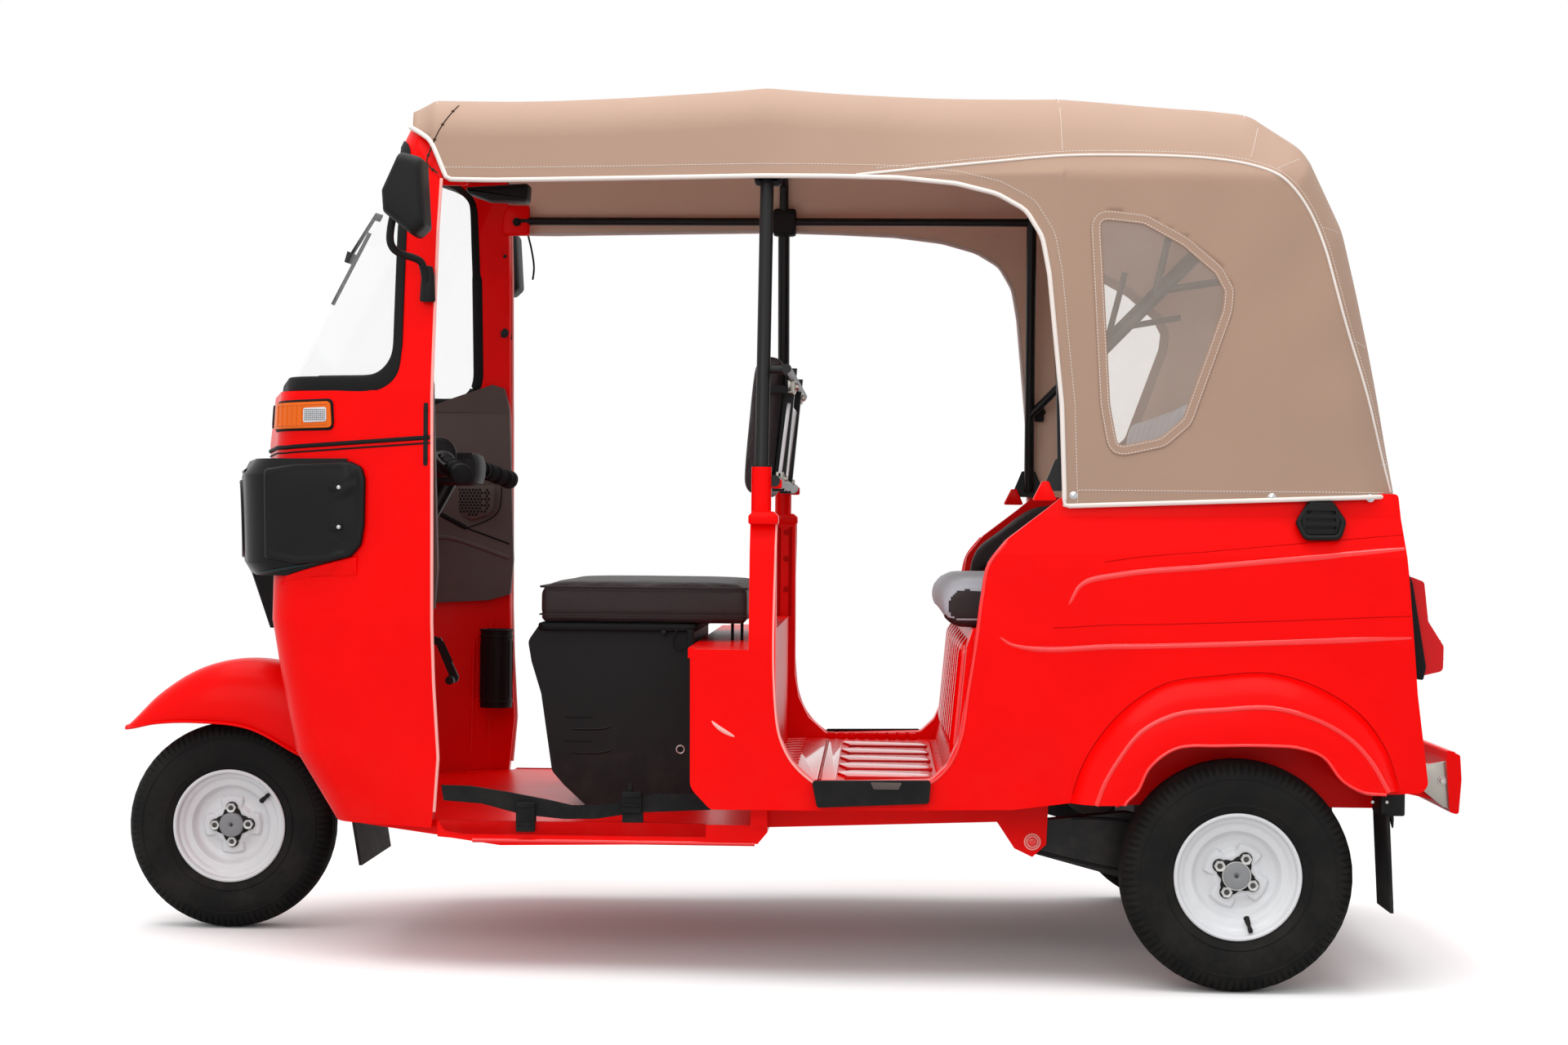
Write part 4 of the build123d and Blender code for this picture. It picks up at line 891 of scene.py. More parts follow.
def make_hood_stitches(hood):
    """Thread along the hems, beside the seams and down the pleats of the rear corners."""
    thread = Solid()
    eaves = resample(EAVES, 200)
    hem = offset_line(eaves, 24)
    hem = hem[(hem[:, 0] > 505)]
    stitches(thread, hood.on_side(hem, 0.3))
    low = run((HOOD_CORNER[0] + 24, HOOD_CORNER[1] + 30), (2268, HOOD_CORNER[1] + 30), 80)
    stitches(thread, hood.on_side(low, 0.3))
    beside = offset_line(resample(eased(SIDE_SEAM, 2), 150), 9)
    stitches(thread, hood.on_side(beside[4:-2], 0.3))
    for knot, foot in (((1676, 1650), (1676, 1556)), ((2052, 1612), (2028, 1545)),
                       ((2122, 1545), (2075, 1522)), ((2196, 1405), (2155, 1412)),
                       ((2244, 1190), (2215, 1200))):
        line = np.linspace(knot, foot, 14)
        stitches(thread, hood.on_side(line, 0.3))
    thread.mirror()
    rows = np.stack([hood.station, hood.y, hood.z], axis=-1)
    back = rows[-8]
    back = back[np.abs(back[:, 1]) < 560]
    stitches(thread, back + (0.6, 0, 0))
    for station in (452, 1676, 2046):
        index = int(np.argmin(np.abs(hood.station[:, hood.station.shape[1] // 2] - station)))
        arc = rows[index]
        arc = arc[np.abs(arc[:, 1]) < 400]
        stitches(thread, arc + (0, 0, 0.5))
    return thread.finish("hood_stitches", "thread")


def make_snaps(hood):
    """Domed press studs along the lower edge."""
    studs = Solid()
    for station in (1697, 2060, 2240):
        y = float(hood.near_y(station, 906, 0)[0])
        dome = [(0.01, 3.4), (3.0, 3.1), (5.4, 2.0), (6.6, 0.6), (7.4, 0.4), (7.6, -1.0), (0.01, -1.0)]
        studs.turned(dome, (station, y, 908), (0, -1, 0), sides=20)
    studs = studs.mirror()
    for y in (-330, 0, 330):
        studs.turned([(0.01, 3.4), (3.0, 3.1), (5.4, 2.0), (6.6, 0.6), (7.6, -1.0), (0.01, -1.0)],
                     (2300 + 14 * (1 - (y / 545) ** 2), y, 918), (1, 0, 0), sides=20)
    return studs.finish("press_studs", "chrome")


def make_hood(settings):
    """The cover with everything that is sewn or pressed onto it."""
    hood = Hood(settings)
    cover = make_hood_cover(hood, settings)
    sewn = [*make_windows(hood), *make_piping(hood, settings), make_hood_stitches(hood), make_snaps(hood)]
    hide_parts("hood_cover")


# ---------------------------------------------------------------- wheels
RIM_FACE = np.array([
    (17, 0.6), (17, 20), (17, 32), (17, 37), (16, 39.5), (12, 44), (10, 48), (9, 52), (9, 55),
    (9, 57), (9, 59), (9, 61), (9.3, 63), (10.5, 66), (11.5, 69), (12.5, 72), (14.5, 75), (18, 78),
    (22.5, 80.2), (23, 81.2), (25.8, 82), (26.8, 84), (27.6, 90), (28.4, 94), (29.6, 96.6), (32.2, 98.8),
    (34, 101), (34.8, 104), (36, 107), (41, 108.2), (45.4, 109.2), (47.2, 110.8), (48, 113.5), (47.4, 115.8),
    (46, 116.8), (44.2, 116.6), (43.8, 112), (24, 112), (12, 99), (-16, 99), (-24, 112), (-43.8, 112),
    (-44, 116.6), (-46, 117), (-48, 115), (-48, 108), (-27, 106.5), (-18, 93), (6, 91), (1, 60),
    (4, 30), (4, 0.6), ], float)
TYRE_HALF = np.array([
    (42.6, 112.4), (43.9, 117.6), (46.4, 120), (49.6, 125), (51.2, 130), (53.0, 131.6),
    (53.2, 133.2), (51.9, 135), (53.4, 141), (54.9, 148), (55.7, 156), (55.9, 165), (55.4, 173),
    (54.4, 178.4), (55.4, 179.4), (55.3, 181.6), (54.0, 183), (53.2, 187), (51.4, 192), (48.9, 197),
    (45.4, 201.6), (41, 205.6), (36.5, 208.4), (31, 210.2), (28.4, 210.9), (27.6, 206.4), (24.4, 206.4),
    (23.6, 211.4), (18, 212.0), (13.4, 212.4), (12.6, 207.6), (9.4, 207.6), (8.6, 212.7),
    (4, 212.95), (0, 213), ], float)


def wheel_view(hub, outward, turn):
    """Turns (u, v, depth) on a wheel's face into the frame: u and v turn with it, depth goes outwards."""
    cos, sin = math.cos(turn), math.sin(turn)

    def view(u, v, depth):
        """A point of the wheel's face in the frame."""
        return place(hub[0] + u * cos - v * sin, hub[1] + outward * depth, hub[2] + u * sin + v * cos)
    return view


def make_tyre(prefix, hub, shoulder_notches):
    """Section of (half-width, radius) turned about the axle; notches cut its shoulders, ribs weave."""
    half = TYRE_HALF
    section = np.concatenate([half, half[-2::-1] * (-1, 1)])
    count = shoulder_notches * 6
    angle = full_turn(count)[:, None]
    wide, radius = section[None, :, 0], section[None, :, 1]
    notch = ((np.arange(count)[:, None] + np.where(wide > 0, 0, 3)) % 6) < 2
    band = smoothstep(radius, 188, 193) * smoothstep(np.abs(wide), 31, 36)
    depth = 2.6 * notch * band
    slope = np.arctan2(radius - 150, np.abs(wide))
    weave = 1.4 * np.sin(angle * shoulder_notches / 2) * (1 - smoothstep(np.abs(wide), 27, 31))
    y = wide + weave - np.sign(wide) * depth * np.cos(slope)
    r = radius - depth * np.sin(slope)
    points = place(hub[0] + r * np.cos(angle), hub[1] + y, hub[2] + r * np.sin(angle))
    solid = Solid().add(points, grid_faces(count, len(section), wrap_rows=True, wrap_columns=True))
    piece = solid.finish(f"{prefix}_tread_tyre", "tyre", f"{prefix}_wheel")
    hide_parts(f"{prefix}_tyre")
    return piece


def make_rim(prefix, view, body):
    """Section turned about the axle; its centre is pressed outwards inside a four-lobed line."""
    angle = full_turn(144)[None]
    radius = RIM_FACE[:, 1][:, None]
    lobe = 38 + 22 * smoothstep(np.cos(4 * angle), -0.78, 0.12)
    dished = (radius > 37.5) * (np.arange(len(RIM_FACE))[:, None] < 16)
    press = 7.5 * smoothstep(lobe - radius, -3, 3) * dished
    depth = np.maximum(RIM_FACE[:, 0][:, None], np.minimum(9.5 + press, 17) * (press > 0))
    solid = Solid().loft(view(radius * np.cos(angle), radius * np.sin(angle), depth))
    piece = solid.finish(f"{prefix}_disc", "wheel_paint", body)
    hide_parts(f"{prefix}_rim")
    return piece


NUT_REACH, LOBE_RADIUS, HOLLOW_RADIUS = 35, 12.4, 28


def lobed_plate(steps=120):
    """Outline in polar form: four round lobes about the nuts, joined by hollow flanks."""
    angle = full_turn(steps)
    off = np.abs((angle + math.pi / 4) % (math.pi / 2) - math.pi / 4)
    limit = math.asin(LOBE_RADIUS / NUT_REACH) * 0.98
    inner = np.minimum(off, limit)
    half_chord = np.sqrt(np.maximum(LOBE_RADIUS ** 2 - (NUT_REACH * np.sin(inner)) ** 2, 0))
    round_part = NUT_REACH * np.cos(inner) + half_chord
    flank = HOLLOW_RADIUS + (round_part - HOLLOW_RADIUS) * (1 - smoothstep(off, limit, math.pi / 4))
    radius = np.where(off < limit, round_part, flank)
    return np.column_stack([radius * np.cos(angle), radius * np.sin(angle)])


def nut_rings(across=9.2, hole=5.6, low=20.4, high=30.0):
    """Hexagon rings (half across flats / cos of the angle from the flat's middle), then the stud's hole."""
    angle = full_turn(24)
    hexagon = across / np.cos((angle % (math.pi / 3)) - math.pi / 6)
    round_ = np.full(24, across)
    table = [(hexagon, low), (hexagon, high - 1.2), (np.minimum(hexagon, across * 1.06), high),
             (round_ * 0.8, high), (np.full(24, hole), high - 0.6), (np.full(24, hole), high - 4.0)]
    radius = np.stack([row for row, _ in table])
    depth = np.array([row for _, row in table])[:, None]
    return radius * np.cos(angle), radius * np.sin(angle), np.broadcast_to(depth, radius.shape)


def turned_rings(view, profile, count, middle=(0, 0)):
    """Rings of a profile of (radius, depth) turned about a point of the wheel's face."""
    turn = full_turn(count)
    return np.stack([view(middle[0] + r * np.cos(turn), middle[1] + r * np.sin(turn),
                          np.full(count, float(d)))
                     for r, d in profile])


def make_hub(prefix, view, body, has_ring):
    """Lobed plate, four nuts on studs, the dimpled cap with its dot, and a bright ring on some caps."""
    plate = Solid().prism(lobed_plate(), 17.0, 20.6, view, bevel=0.8)
    plate.finish(f"{prefix}_hub_plate", "black_gloss", body)
    nuts, studs, washers = Solid(), Solid(), Solid()
    for k in range(4):
        middle = NUT_REACH * math.cos(k * math.pi / 2), NUT_REACH * math.sin(k * math.pi / 2)
        u, v, depth = nut_rings()
        nuts.loft(view(middle[0] + u, middle[1] + v, depth))
        studs.loft(turned_rings(view, [(4.6, 20.5), (4.6, 27.2), (3.6, 28.4), (0.3, 28.6)], 20, middle))
    nuts.finish(f"{prefix}_nuts", "zinc", body)
    dimple = [(25.4, 20.2), (25.4, 28.0), (24.0, 30.2), (21, 31.0), (9, 31.4), (6.2, 31.2),
              (4.2, 29.4), (0.3, 29.0)]
    cap = Solid().loft(turned_rings(view, dimple, 48))
    cap.finish(f"{prefix}_hub_cap", "grey_plastic", body)
    if has_ring:
        section = [(25.3, 27.8), (26.4, 28.0), (26.6, 29.2), (25.9, 30.0), (24.9, 29.9), (24.6, 29.4)]
        rows = turned_rings(view, section, 48)
        washers.add(rows.reshape(-1, 3), grid_faces(len(rows), 48, wrap_rows=True, wrap_columns=True))
        washers.finish(f"{prefix}_cap_ring", "zinc", body)
    studs.loft(turned_rings(view, [(3.2, 29.2), (3.0, 31.2), (1.8, 32.2), (0.3, 32.4)], 48))
    studs.finish(f"{prefix}_studs", "cast_metal", body)


def make_valve(prefix, hub, outward, angle, body):
    """Rubber stem with a ribbed cap that leans out from the well."""
    reach = np.array([80, 84, 88, 90.5, 91, 96.5, 97, 103.5, 104.5])
    depth = np.array([22, 27, 31, 33.2, 33.6, 37.5, 37.9, 42.0, 42.6])
    radius = np.array([5.6, 5.2, 4.6, 4.2, 3.4, 3.3, 4.3, 4.2, 2.4])
    path = np.column_stack([hub[0] + reach * math.cos(angle), hub[1] + outward * depth,
                            hub[2] + reach * math.sin(angle)])
    Solid().tube(path, radius, sides=14).finish(f"{prefix}_valve", "rubber", body)


def make_drum(prefix, view, body):
    """Brake drum: a closed ring section turned about the axle, with four cooling ribs."""
    section = [(17.3, 3), (17.3, -51.6), (70, -51.6), (70, -48), (82, -48), (82, -44), (78, -43), (78, -39),
               (81, -38.4), (81, -36), (78, -35.4), (78, -31), (81, -30.4), (81, -28), (78, -27.4), (78, -23),
               (81, -22.4), (81, -20), (78, -19.4), (78, 0), (60, 3)]
    rows = turned_rings(view, section, 56)
    drum = Solid().add(rows.reshape(-1, 3), grid_faces(len(section), 56, wrap_rows=True, wrap_columns=True))
    drum.finish(f"{prefix}_drum", "cast_metal", body)


def make_wheels(settings):
    """Front and rear wheels: tyre, pressed disc, lobed plate, nuts, cap, valve and drum."""
    axle_z = TYRE_R * 1000
    track = NEAR_WHEEL_Y * 1000
    # columns: name, station, y, outward, turn of the disc, turn of the valve, whether the cap has a ring
    wheels = [
        ("front", 0.0, 0.0, -1, math.radians(2), math.radians(39), False),
        ("rear_left", WHEELBASE, track, -1, math.radians(60), math.radians(-76), True),
        ("rear_right", WHEELBASE, -track, 1, math.radians(20), math.radians(130), True),
    ]
    for prefix, station, y, outward, turn, valve, ringed in wheels:
        hub, body = (station, y, axle_z), f"{prefix}_wheel"
        view = wheel_view(hub, outward, turn)
        make_tyre(prefix, hub, settings.notches)
        make_rim(prefix, view, body)
        make_hub(prefix, view, body, ringed)
        make_valve(prefix, hub, outward, valve, body)
        make_drum(prefix, view, body)


# ---------------------------------------------------------------- seats
PAD_CLOTH = {"quality": 5, "mass": 0.25, "tension_stiffness": 12, "compression_stiffness": 12,
             "shear_stiffness": 6, "bending_stiffness": 1.2, "use_pressure": True}
SWELL_FRAMES = 20
PLEATS = np.linspace(-0.36, 0.36, 7)      # y of the bench's seams, in metres
PLEAT_WIDTH = 0.005
BENCH_SIDE = 0.486                        # half-width of the pale cloth on the bench, in metres


def swell(piece, settings, cap, voxel=0.006):
    """Remeshes a pad into even cells and lets cloth with inner pressure swell it, by cap metres at most."""
    remesh = piece.modifiers.new("cells", "REMESH")
    remesh.mode = "VOXEL"
    remesh.voxel_size = voxel
    remesh.use_smooth_shade = True
    apply_modifiers(piece)
    before = read(piece.data.vertices, "co")
    cloth = piece.modifiers.new("swelling", "CLOTH")
    for key, value in {**PAD_CLOTH, "uniform_pressure_force": settings.pressure}.items():
        setattr(cloth.settings, key, value)
    cloth.settings.effector_weights.gravity = 0
    cloth.collision_settings.use_collision = False
    cloth.point_cache.frame_start, cloth.point_cache.frame_end = 1, SWELL_FRAMES
    scene = bpy.context.scene
    for step in range(1, SWELL_FRAMES + 1):
        scene.frame_set(step)
    shaped = piece.evaluated_get(bpy.context.evaluated_depsgraph_get()).to_mesh()
    after = read(shaped.vertices, "co")
    piece.evaluated_get(bpy.context.evaluated_depsgraph_get()).to_mesh_clear()
    piece.modifiers.clear()
    scene.frame_set(1)
    move = after - before
    far = np.linalg.norm(move, axis=1, keepdims=True)
    return before, before + move * np.minimum(1, cap / np.maximum(far, 1e-9))


def shape_pad(piece, points, rounds=1):
    """Writes points into a pad, closes it with one subdivision and shades it smooth."""
    piece.data.vertices.foreach_set("co", np.ascontiguousarray(points).ravel())
    piece.data.update()
    if rounds:
        finer = piece.modifiers.new("finer", "SUBSURF")
        finer.levels = finer.render_levels = rounds
        apply_modifiers(piece)
    piece.data.polygons.foreach_set("use_smooth", np.ones(len(piece.data.polygons), bool))
    piece.data.update()
    return piece


def paint_faces(piece, second, test):
    """Gives the faces whose middle passes a test the second material."""
    piece.data.materials.append(second)
    polygons = piece.data.polygons
    chosen = test(read(polygons, "center"), read(polygons, "normal"))
    polygons.foreach_set("material_index", chosen.astype(np.int32))
    piece.data.update()


def profile_pad(name, outline, half, bevel, finish):
    """Side outline of (station, z) carried across the vehicle from -half to half."""
    return Solid().prism(outline, -half, half, side_view, bevel=bevel).finish(name, finish)


def make_driver_seat(settings):
    """A block swollen into a crowned top, with a dip round its foot and corded edges."""
    low, high = node_limits("driver_seat")
    inset = 5.0
    outline = rounded([(low[0] + inset, low[2] + 1), (high[0] - inset, low[2] + 1),
                       (high[0] - inset, high[2] - 6), (low[0] + inset, high[2] - 6)], [10, 12, 16, 18])
    pad = profile_pad("driver_cushion", outline, high[1] - inset, 12, "dark_leather")
    _, points = swell(pad, settings, settings.cap * 0.7)
    floor = place(0, 0, low[2])[2]
    points[:, 2] = np.maximum(points[:, 2], floor)
    middle = place((low[0] + high[0]) / 2, 0, high[2])
    top = smoothstep(points[:, 2], floor + 0.05, floor + 0.068)
    points[:, 2] += top * 0.006 * (1 - np.clip((points[:, 0] - middle[0]) / 0.21, -1, 1) ** 4) * (
        1 - np.clip(points[:, 1] / 0.29, -1, 1) ** 4)
    rim_z = floor + 0.015
    side = (np.abs(points[:, 1]) > 0.28) | (points[:, 0] < middle[0] - 0.2)
    out = points - middle
    out[:, 2] = 0
    out = unit(out)
    points -= out * (0.0035 * np.exp(-((points[:, 2] - rim_z) / 0.0035) ** 2) * side)[:, None]
    shape_pad(pad, points)
    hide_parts("driver_seat")

    cord = Solid()
    ring = rounded([(low[0] + 6, low[1] + 6), (high[0] - 6, low[1] + 6), (high[0] - 6, high[1] - 6),
                    (low[0] + 6, high[1] - 6)], 14)
    ring = resample(ring, 160, closed=True)
    for height, radius, out in ((high[2] - 8, 2.2, -2.5), (low[2] + 15, 1.3, -0.5)):
        middle = ring.mean(axis=0)
        line = middle + (ring - middle) * (1 + out / 250)
        cord.tube(np.column_stack([line, np.full(len(line), height)]), radius, sides=8, closed=True)
    cord.finish("driver_cushion_seams", "dark_leather")


def make_driver_backrest(settings):
    """A slab between its leaning front and rear lines, swollen, with a plate fixed behind it."""
    half = node_limits("driver_backrest")[1][1] - 5
    outline = rounded([(1078, 908), (1102, 1186), (1146, 1180), (1116, 902)], [14, 16, 14, 14])
    pad = profile_pad("driver_back_pad", outline, half, 12, "dark_leather")
    _, points = swell(pad, settings, settings.cap * 0.8)
    middle = place(1110, 0, 1046)
    along = (points[:, 2] - middle[2]) / 0.14
    face = points[:, 0] < middle[0] + (points[:, 2] - middle[2]) * 0.1
    across = 1 - np.clip(points[:, 1] / 0.275, -1, 1) ** 4
    points[:, 0] -= face * 0.006 * (1 - np.clip(along, -1, 1) ** 4) * across
    for y in (-0.14, 0.14):
        dip = 0.004 * np.exp(-((points[:, 1] - y) / 0.004) ** 2) * face
        points[:, 0] += dip * (np.abs(along) < 0.92)
    shape_pad(pad, points)
    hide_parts("driver_backrest")


def make_passenger_seat(settings):
    """Long cushion with a rounded nose; dips for its pleats run from front to rear."""
    low, high = node_limits("passenger_seat")
    base = low[0]
    profile = [(base + 5, 694), (base + 8, 716), (base + 24, 736), (base + 48, 742), (high[0] - 4, 742),
               (high[0] - 4, 661), (base + 60, 660), (base + 26, 664), (base + 10, 676)]
    outline = rounded(profile, [6, 10, 14, 18, 14, 6, 10, 10, 8])
    pad = profile_pad("passenger_cushion", outline, high[1] - 6, 16, "silver_leather")
    _, points = swell(pad, settings, settings.cap * 0.7, voxel=0.0075)
    floor, roof = low[2] / 1000, high[2] / 1000
    points[:, 2] = np.clip(points[:, 2], floor, roof + 0.006)
    top = smoothstep(points[:, 2], roof - 0.022, roof - 0.010)
    station = (points[:, 0] - AXLE_X) * 1000
    for y in PLEATS:
        points[:, 2] -= top * 0.005 * np.exp(-((points[:, 1] - y) / PLEAT_WIDTH) ** 2) * (station > base + 40)
    points[:, 2] -= top * 0.004 * np.exp(-((np.abs(points[:, 1]) - 0.455) / PLEAT_WIDTH) ** 2)
    shape_pad(pad, points)
    paint_faces(pad, material("dark_leather"), lambda m, n: (np.abs(m[:, 1]) > BENCH_SIDE) | (n[:, 2] < -0.4))
    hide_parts("passenger_seat")


def make_passenger_backrest(settings):
    """Leaning pad between its node's front and rear lines, pleated like the bench."""
    low, high = node_limits("passenger_backrest")
    corners = node_points("passenger_backrest")
    foot, head = (corners[np.abs(corners[:, 2] - height) < 30] for height in (low[2], high[2]))
    heights = np.linspace(low[2] + 8, high[2] - 8, 9)
    fore, rear = [], []
    for height in heights:
        t = (height - low[2]) / (high[2] - low[2])
        fore.append((foot[:, 0].min() * (1 - t) + head[:, 0].min() * t + 6, height))
        rear.append((foot[:, 0].max() * (1 - t) + head[:, 0].max() * t - 4, height))
    outline = rounded([fore[0], fore[-1], rear[-1], rear[0]], [14, 20, 16, 10])
    pad = profile_pad("passenger_back_pad", outline, high[1] - 6, 16, "silver_leather")
    before, points = swell(pad, settings, settings.cap * 0.7, voxel=0.0085)
    nose = np.interp(before[:, 2] * 1000, heights, np.array(fore)[:, 0])
    ahead = (before[:, 0] - AXLE_X) * 1000 < nose + 26
    for y in PLEATS:
        points[:, 0] += ahead * 0.005 * np.exp(-((points[:, 1] - y) / PLEAT_WIDTH) ** 2)
    shape_pad(pad, points)
    paint_faces(pad, material("dark_leather"), lambda m, n: (np.abs(m[:, 1]) > BENCH_SIDE) | (n[:, 0] > 0.5))
    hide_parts("passenger_backrest")


def make_seats(settings):
    """Cushion and back pad of the driver, then of the passengers."""
    make_driver_seat(settings)
    make_driver_backrest(settings)
    make_passenger_seat(settings)
    make_passenger_backrest(settings)


# ---------------------------------------------------------------- lines and fittings laid on the frame
class Skin:
    """Surface of CAD nodes, asked by straight probes for where a line or a fitting lies on it."""

    def __init__(self, *names):
        verts, faces, count = [], [], 0
        for name in names:
            mesh = NODES[name].data
            verts.append(read(mesh.vertices, "co"))
            mesh.calc_loop_triangles()
            faces.append(read(mesh.loop_triangles, "vertices", kind=int) + count)
            count += len(verts[-1])
        self.tree = BVHTree.FromPolygons(np.concatenate(verts).tolist(), np.concatenate(faces).tolist())

    def lay(self, starts, way, lift=0.0):
        """First hit of a probe from each (station, y, z) start, drawn back by lift; a miss keeps the last."""
        starts = np.asarray(starts, float).reshape(-1, 3)
        hits = [self.tree.ray_cast(Vector(point), Vector(way))[0] for point in placed(starts)]
        known = next((hit for hit in hits if hit is not None), None)
        if known is None:
            raise RuntimeError("a fitting has nothing to lie on")
        found = []
        for hit in hits:
            known = hit if hit is not None else known
            found.append(known)
        found = np.array(found) * 1000 - np.array(way) * lift
        found[:, 0] -= AXLE_X * 1000
        return found

    def near_side(self, line, lift=0.0, start=-900.0):
        """Line of (station, z) laid on the side that a probe meets from start towards the far side."""
        line = np.asarray(line, float)
        return self.lay(np.column_stack([line[:, 0], np.full(len(line), start), line[:, 1]]), (0, 1, 0), lift)

    def from_front(self, line, lift=0.0, start=-400.0):
        """Line of (y, z) laid on the side that faces forwards."""
        line = np.asarray(line, float)
        return self.lay(np.column_stack([np.full(len(line), start), line]), (1, 0, 0), lift)

    def from_rear(self, line, lift=0.0, start=3000.0):
        """Line of (y, z) laid on the side that faces backwards."""
        line = np.asarray(line, float)
        return self.lay(np.column_stack([np.full(len(line), start), line]), (-1, 0, 0), lift)


def strip(solid, path, width, height, across, sides=12, ends=0.25):
    """Oval section along a path: its width runs across, its height along the path's other normal."""
    path = np.asarray(path, float)
    tangent, across = unit(np.gradient(path, axis=0)), np.asarray(across, float)
    flat = unit(across - (tangent @ across)[:, None] * tangent)
    rise = np.cross(tangent, flat)
    turn = full_turn(sides)
    from_end = np.minimum(np.arange(len(path)), np.arange(len(path))[::-1])
    taper = np.minimum(1, from_end / 3 + ends)[:, None, None]
    ring = (width / 2 * np.cos(turn)[None, :, None] * flat[:, None]
            + height / 2 * np.sin(turn)[None, :, None] * rise[:, None]) * taper
    return solid.loft(placed(path[:, None] + ring))


def bolt(solid, centre, axis, across=10.0, height=6.0, washer=True):
    """Hexagon head on a round washer; the hexagon's radius is half across / cos(angle)."""
    centre = np.asarray(centre, float)
    axis, side, top = square_to(axis)
    angle = full_turn(24)
    hexagon = across / 2 / np.cos((angle % (math.pi / 3)) - math.pi / 6)
    round_ = np.full(24, across * 0.85)
    table = [(round_, -1.0), (round_, 1.0), (round_ * 0.96, 1.5), (hexagon, 1.5), (hexagon, height - 1),
             (np.full(24, across * 0.46), height), (np.full(24, 0.2), height)]
    rows = [centre + d * axis + r[:, None] * (np.cos(angle)[:, None] * side + np.sin(angle)[:, None] * top)
            for r, d in (table if washer else table[3:])]
    return solid.loft(placed(np.stack(rows)))


# ---------------------------------------------------------------- front
def make_fender():
    """Front fender: sections whose half-width, crown and edge follow smooth curves between stations."""
    stations = np.array([-222, -205, -150, -60, 53, 152, 222], float)
    half = np.array([30, 46, 74, 92, 96, 94, 88], float)
    crown = np.array([416, 432, 486, 541, 559, 533, 470], float)
    edge = np.array([411, 414, 426, 431, 419, 368, 330], float)
    s = np.linspace(-222, 222, 90)
    w, top, low = (curve_through(stations, values, s) for values in (half, crown, edge))
    t = np.linspace(0, 1, 41)[None]
    angle = math.pi * (1 - t)
    bulge = np.sign(np.cos(angle)) * np.abs(np.cos(angle)) ** 0.62
    y = w[:, None] * bulge
    z = low[:, None] + (top - low)[:, None] * np.sin(angle) ** 0.78
    fender = add_mesh("fender_skin", place(s[:, None], y, z).reshape(-1, 3), grid_faces(90, 41),
                      material("red_paint"), "steering")
    wall = fender.modifiers.new("thickness", "SOLIDIFY")
    wall.thickness = 0.003
    wall.offset = -1.0 if fender.data.polygons[1800].normal.z > 0 else 1.0
    apply_modifiers(fender)
    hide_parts("front_fender")
    rim = Solid()
    for side in (0, -1):
        rim.tube(np.column_stack([s, y[:, side], z[:, side]]), 2.8, sides=8)
    rim.tube(np.column_stack([np.full(41, s[0]), y[0], z[0]]), 2.8, sides=8)
    rim.finish("fender_rim", "red_paint", "steering")


def curve_through(knots, values, at):
    """Cubic Hermite pieces through knots; each slope is the mean of the slopes beside its knot."""
    slopes = np.diff(values) / np.diff(knots)
    inner = 0.5 * (slopes[:-1] + slopes[1:])
    tangent = np.concatenate([slopes[:1], inner, slopes[-1:]])
    cell = np.clip(np.searchsorted(knots, at) - 1, 0, len(knots) - 2)
    span = knots[cell + 1] - knots[cell]
    t = (at - knots[cell]) / span
    return ((2 * t ** 3 - 3 * t ** 2 + 1) * values[cell] + (t ** 3 - 2 * t ** 2 + t) * span * tangent[cell]
            + (3 * t ** 2 - 2 * t ** 3) * values[cell + 1] + (t ** 3 - t ** 2) * span * tangent[cell + 1])


def make_mask():
    """Rim, panel line, screw recesses and lamp bezels of the black moulding round the nose."""
    mask = Skin("headlamp_mask")
    rim, screws, recesses = Solid(), Solid(), Solid()
    for z in (911, 836):
        hole = rounded([(298, z - 8), (326, z - 8), (326, z + 8), (298, z + 8)], 7.8)
        spot = Skin("headlamp_mask", "front_cowl").near_side([(312, z)], 12.6)[0]
        recesses.prism(hole, spot[1] - 1.2, spot[1] + 5, side_view, bevel=0.8)
        screws.turned([(0.2, 4.0), (2.6, 3.6), (4.0, 2.2), (4.4, -1), (0.2, -1)],
                      (319, spot[1], z), (0, -1, 0), 16)
    nose = run((-300, 944), (300, 944), 80)
    rim.tube(mask.from_front(nose, -1.0), 5.0, sides=10)
    rim.finish("mask_rim", "black_gloss")
    recesses.mirror().finish("mask_screw_pockets", "rubber")
    screws.mirror().finish("mask_screws", "zinc")
    lips, mirrors = Solid(), Solid()
    for y in (-165, 165):
        turn = full_turn(72)
        ring = np.column_stack([y + 74 * np.cos(turn), 850 + 74 * np.sin(turn)])
        lips.tube(mask.from_front(ring, 0.5), 5.0, sides=10, closed=True)
        spot = Skin("headlamps").from_front([(y, 850)], 0)[0]
        mirrors.turned([(0.3, 8), (14, 9.5), (30, 14), (48, 24), (60, 38), (64, 42), (64, 46), (0.3, 46)],
                       (spot[0], y, 850), (1, 0, 0), 56)
        mirrors.turned([(0.3, 5), (9, 6), (12, 10), (12, 24), (0.3, 24)],
                       (spot[0] - 2, y, 850), (1, 0, 0), 24)
    lips.finish("headlamp_bezels", "black_gloss")
    mirrors.finish("headlamp_reflectors", "chrome")
    chin = Solid()
    line = eased([(150, 745), (190, 752), (250, 764), (300, 772), (322, 780)], 2)
    chin.tube(Skin("headlamp_mask", "front_cowl").near_side(resample(line, 50), 0.5), 3.4, sides=8)
    chin.mirror().finish("mask_lower_lip", "deep_teal")


MASK_SIDE = [(168, 775), (166, 946), (232, 957), (338, 961), (362, 950), (369, 928), (368, 840), (362, 802),
             (342, 780), (300, 769), (236, 764)]


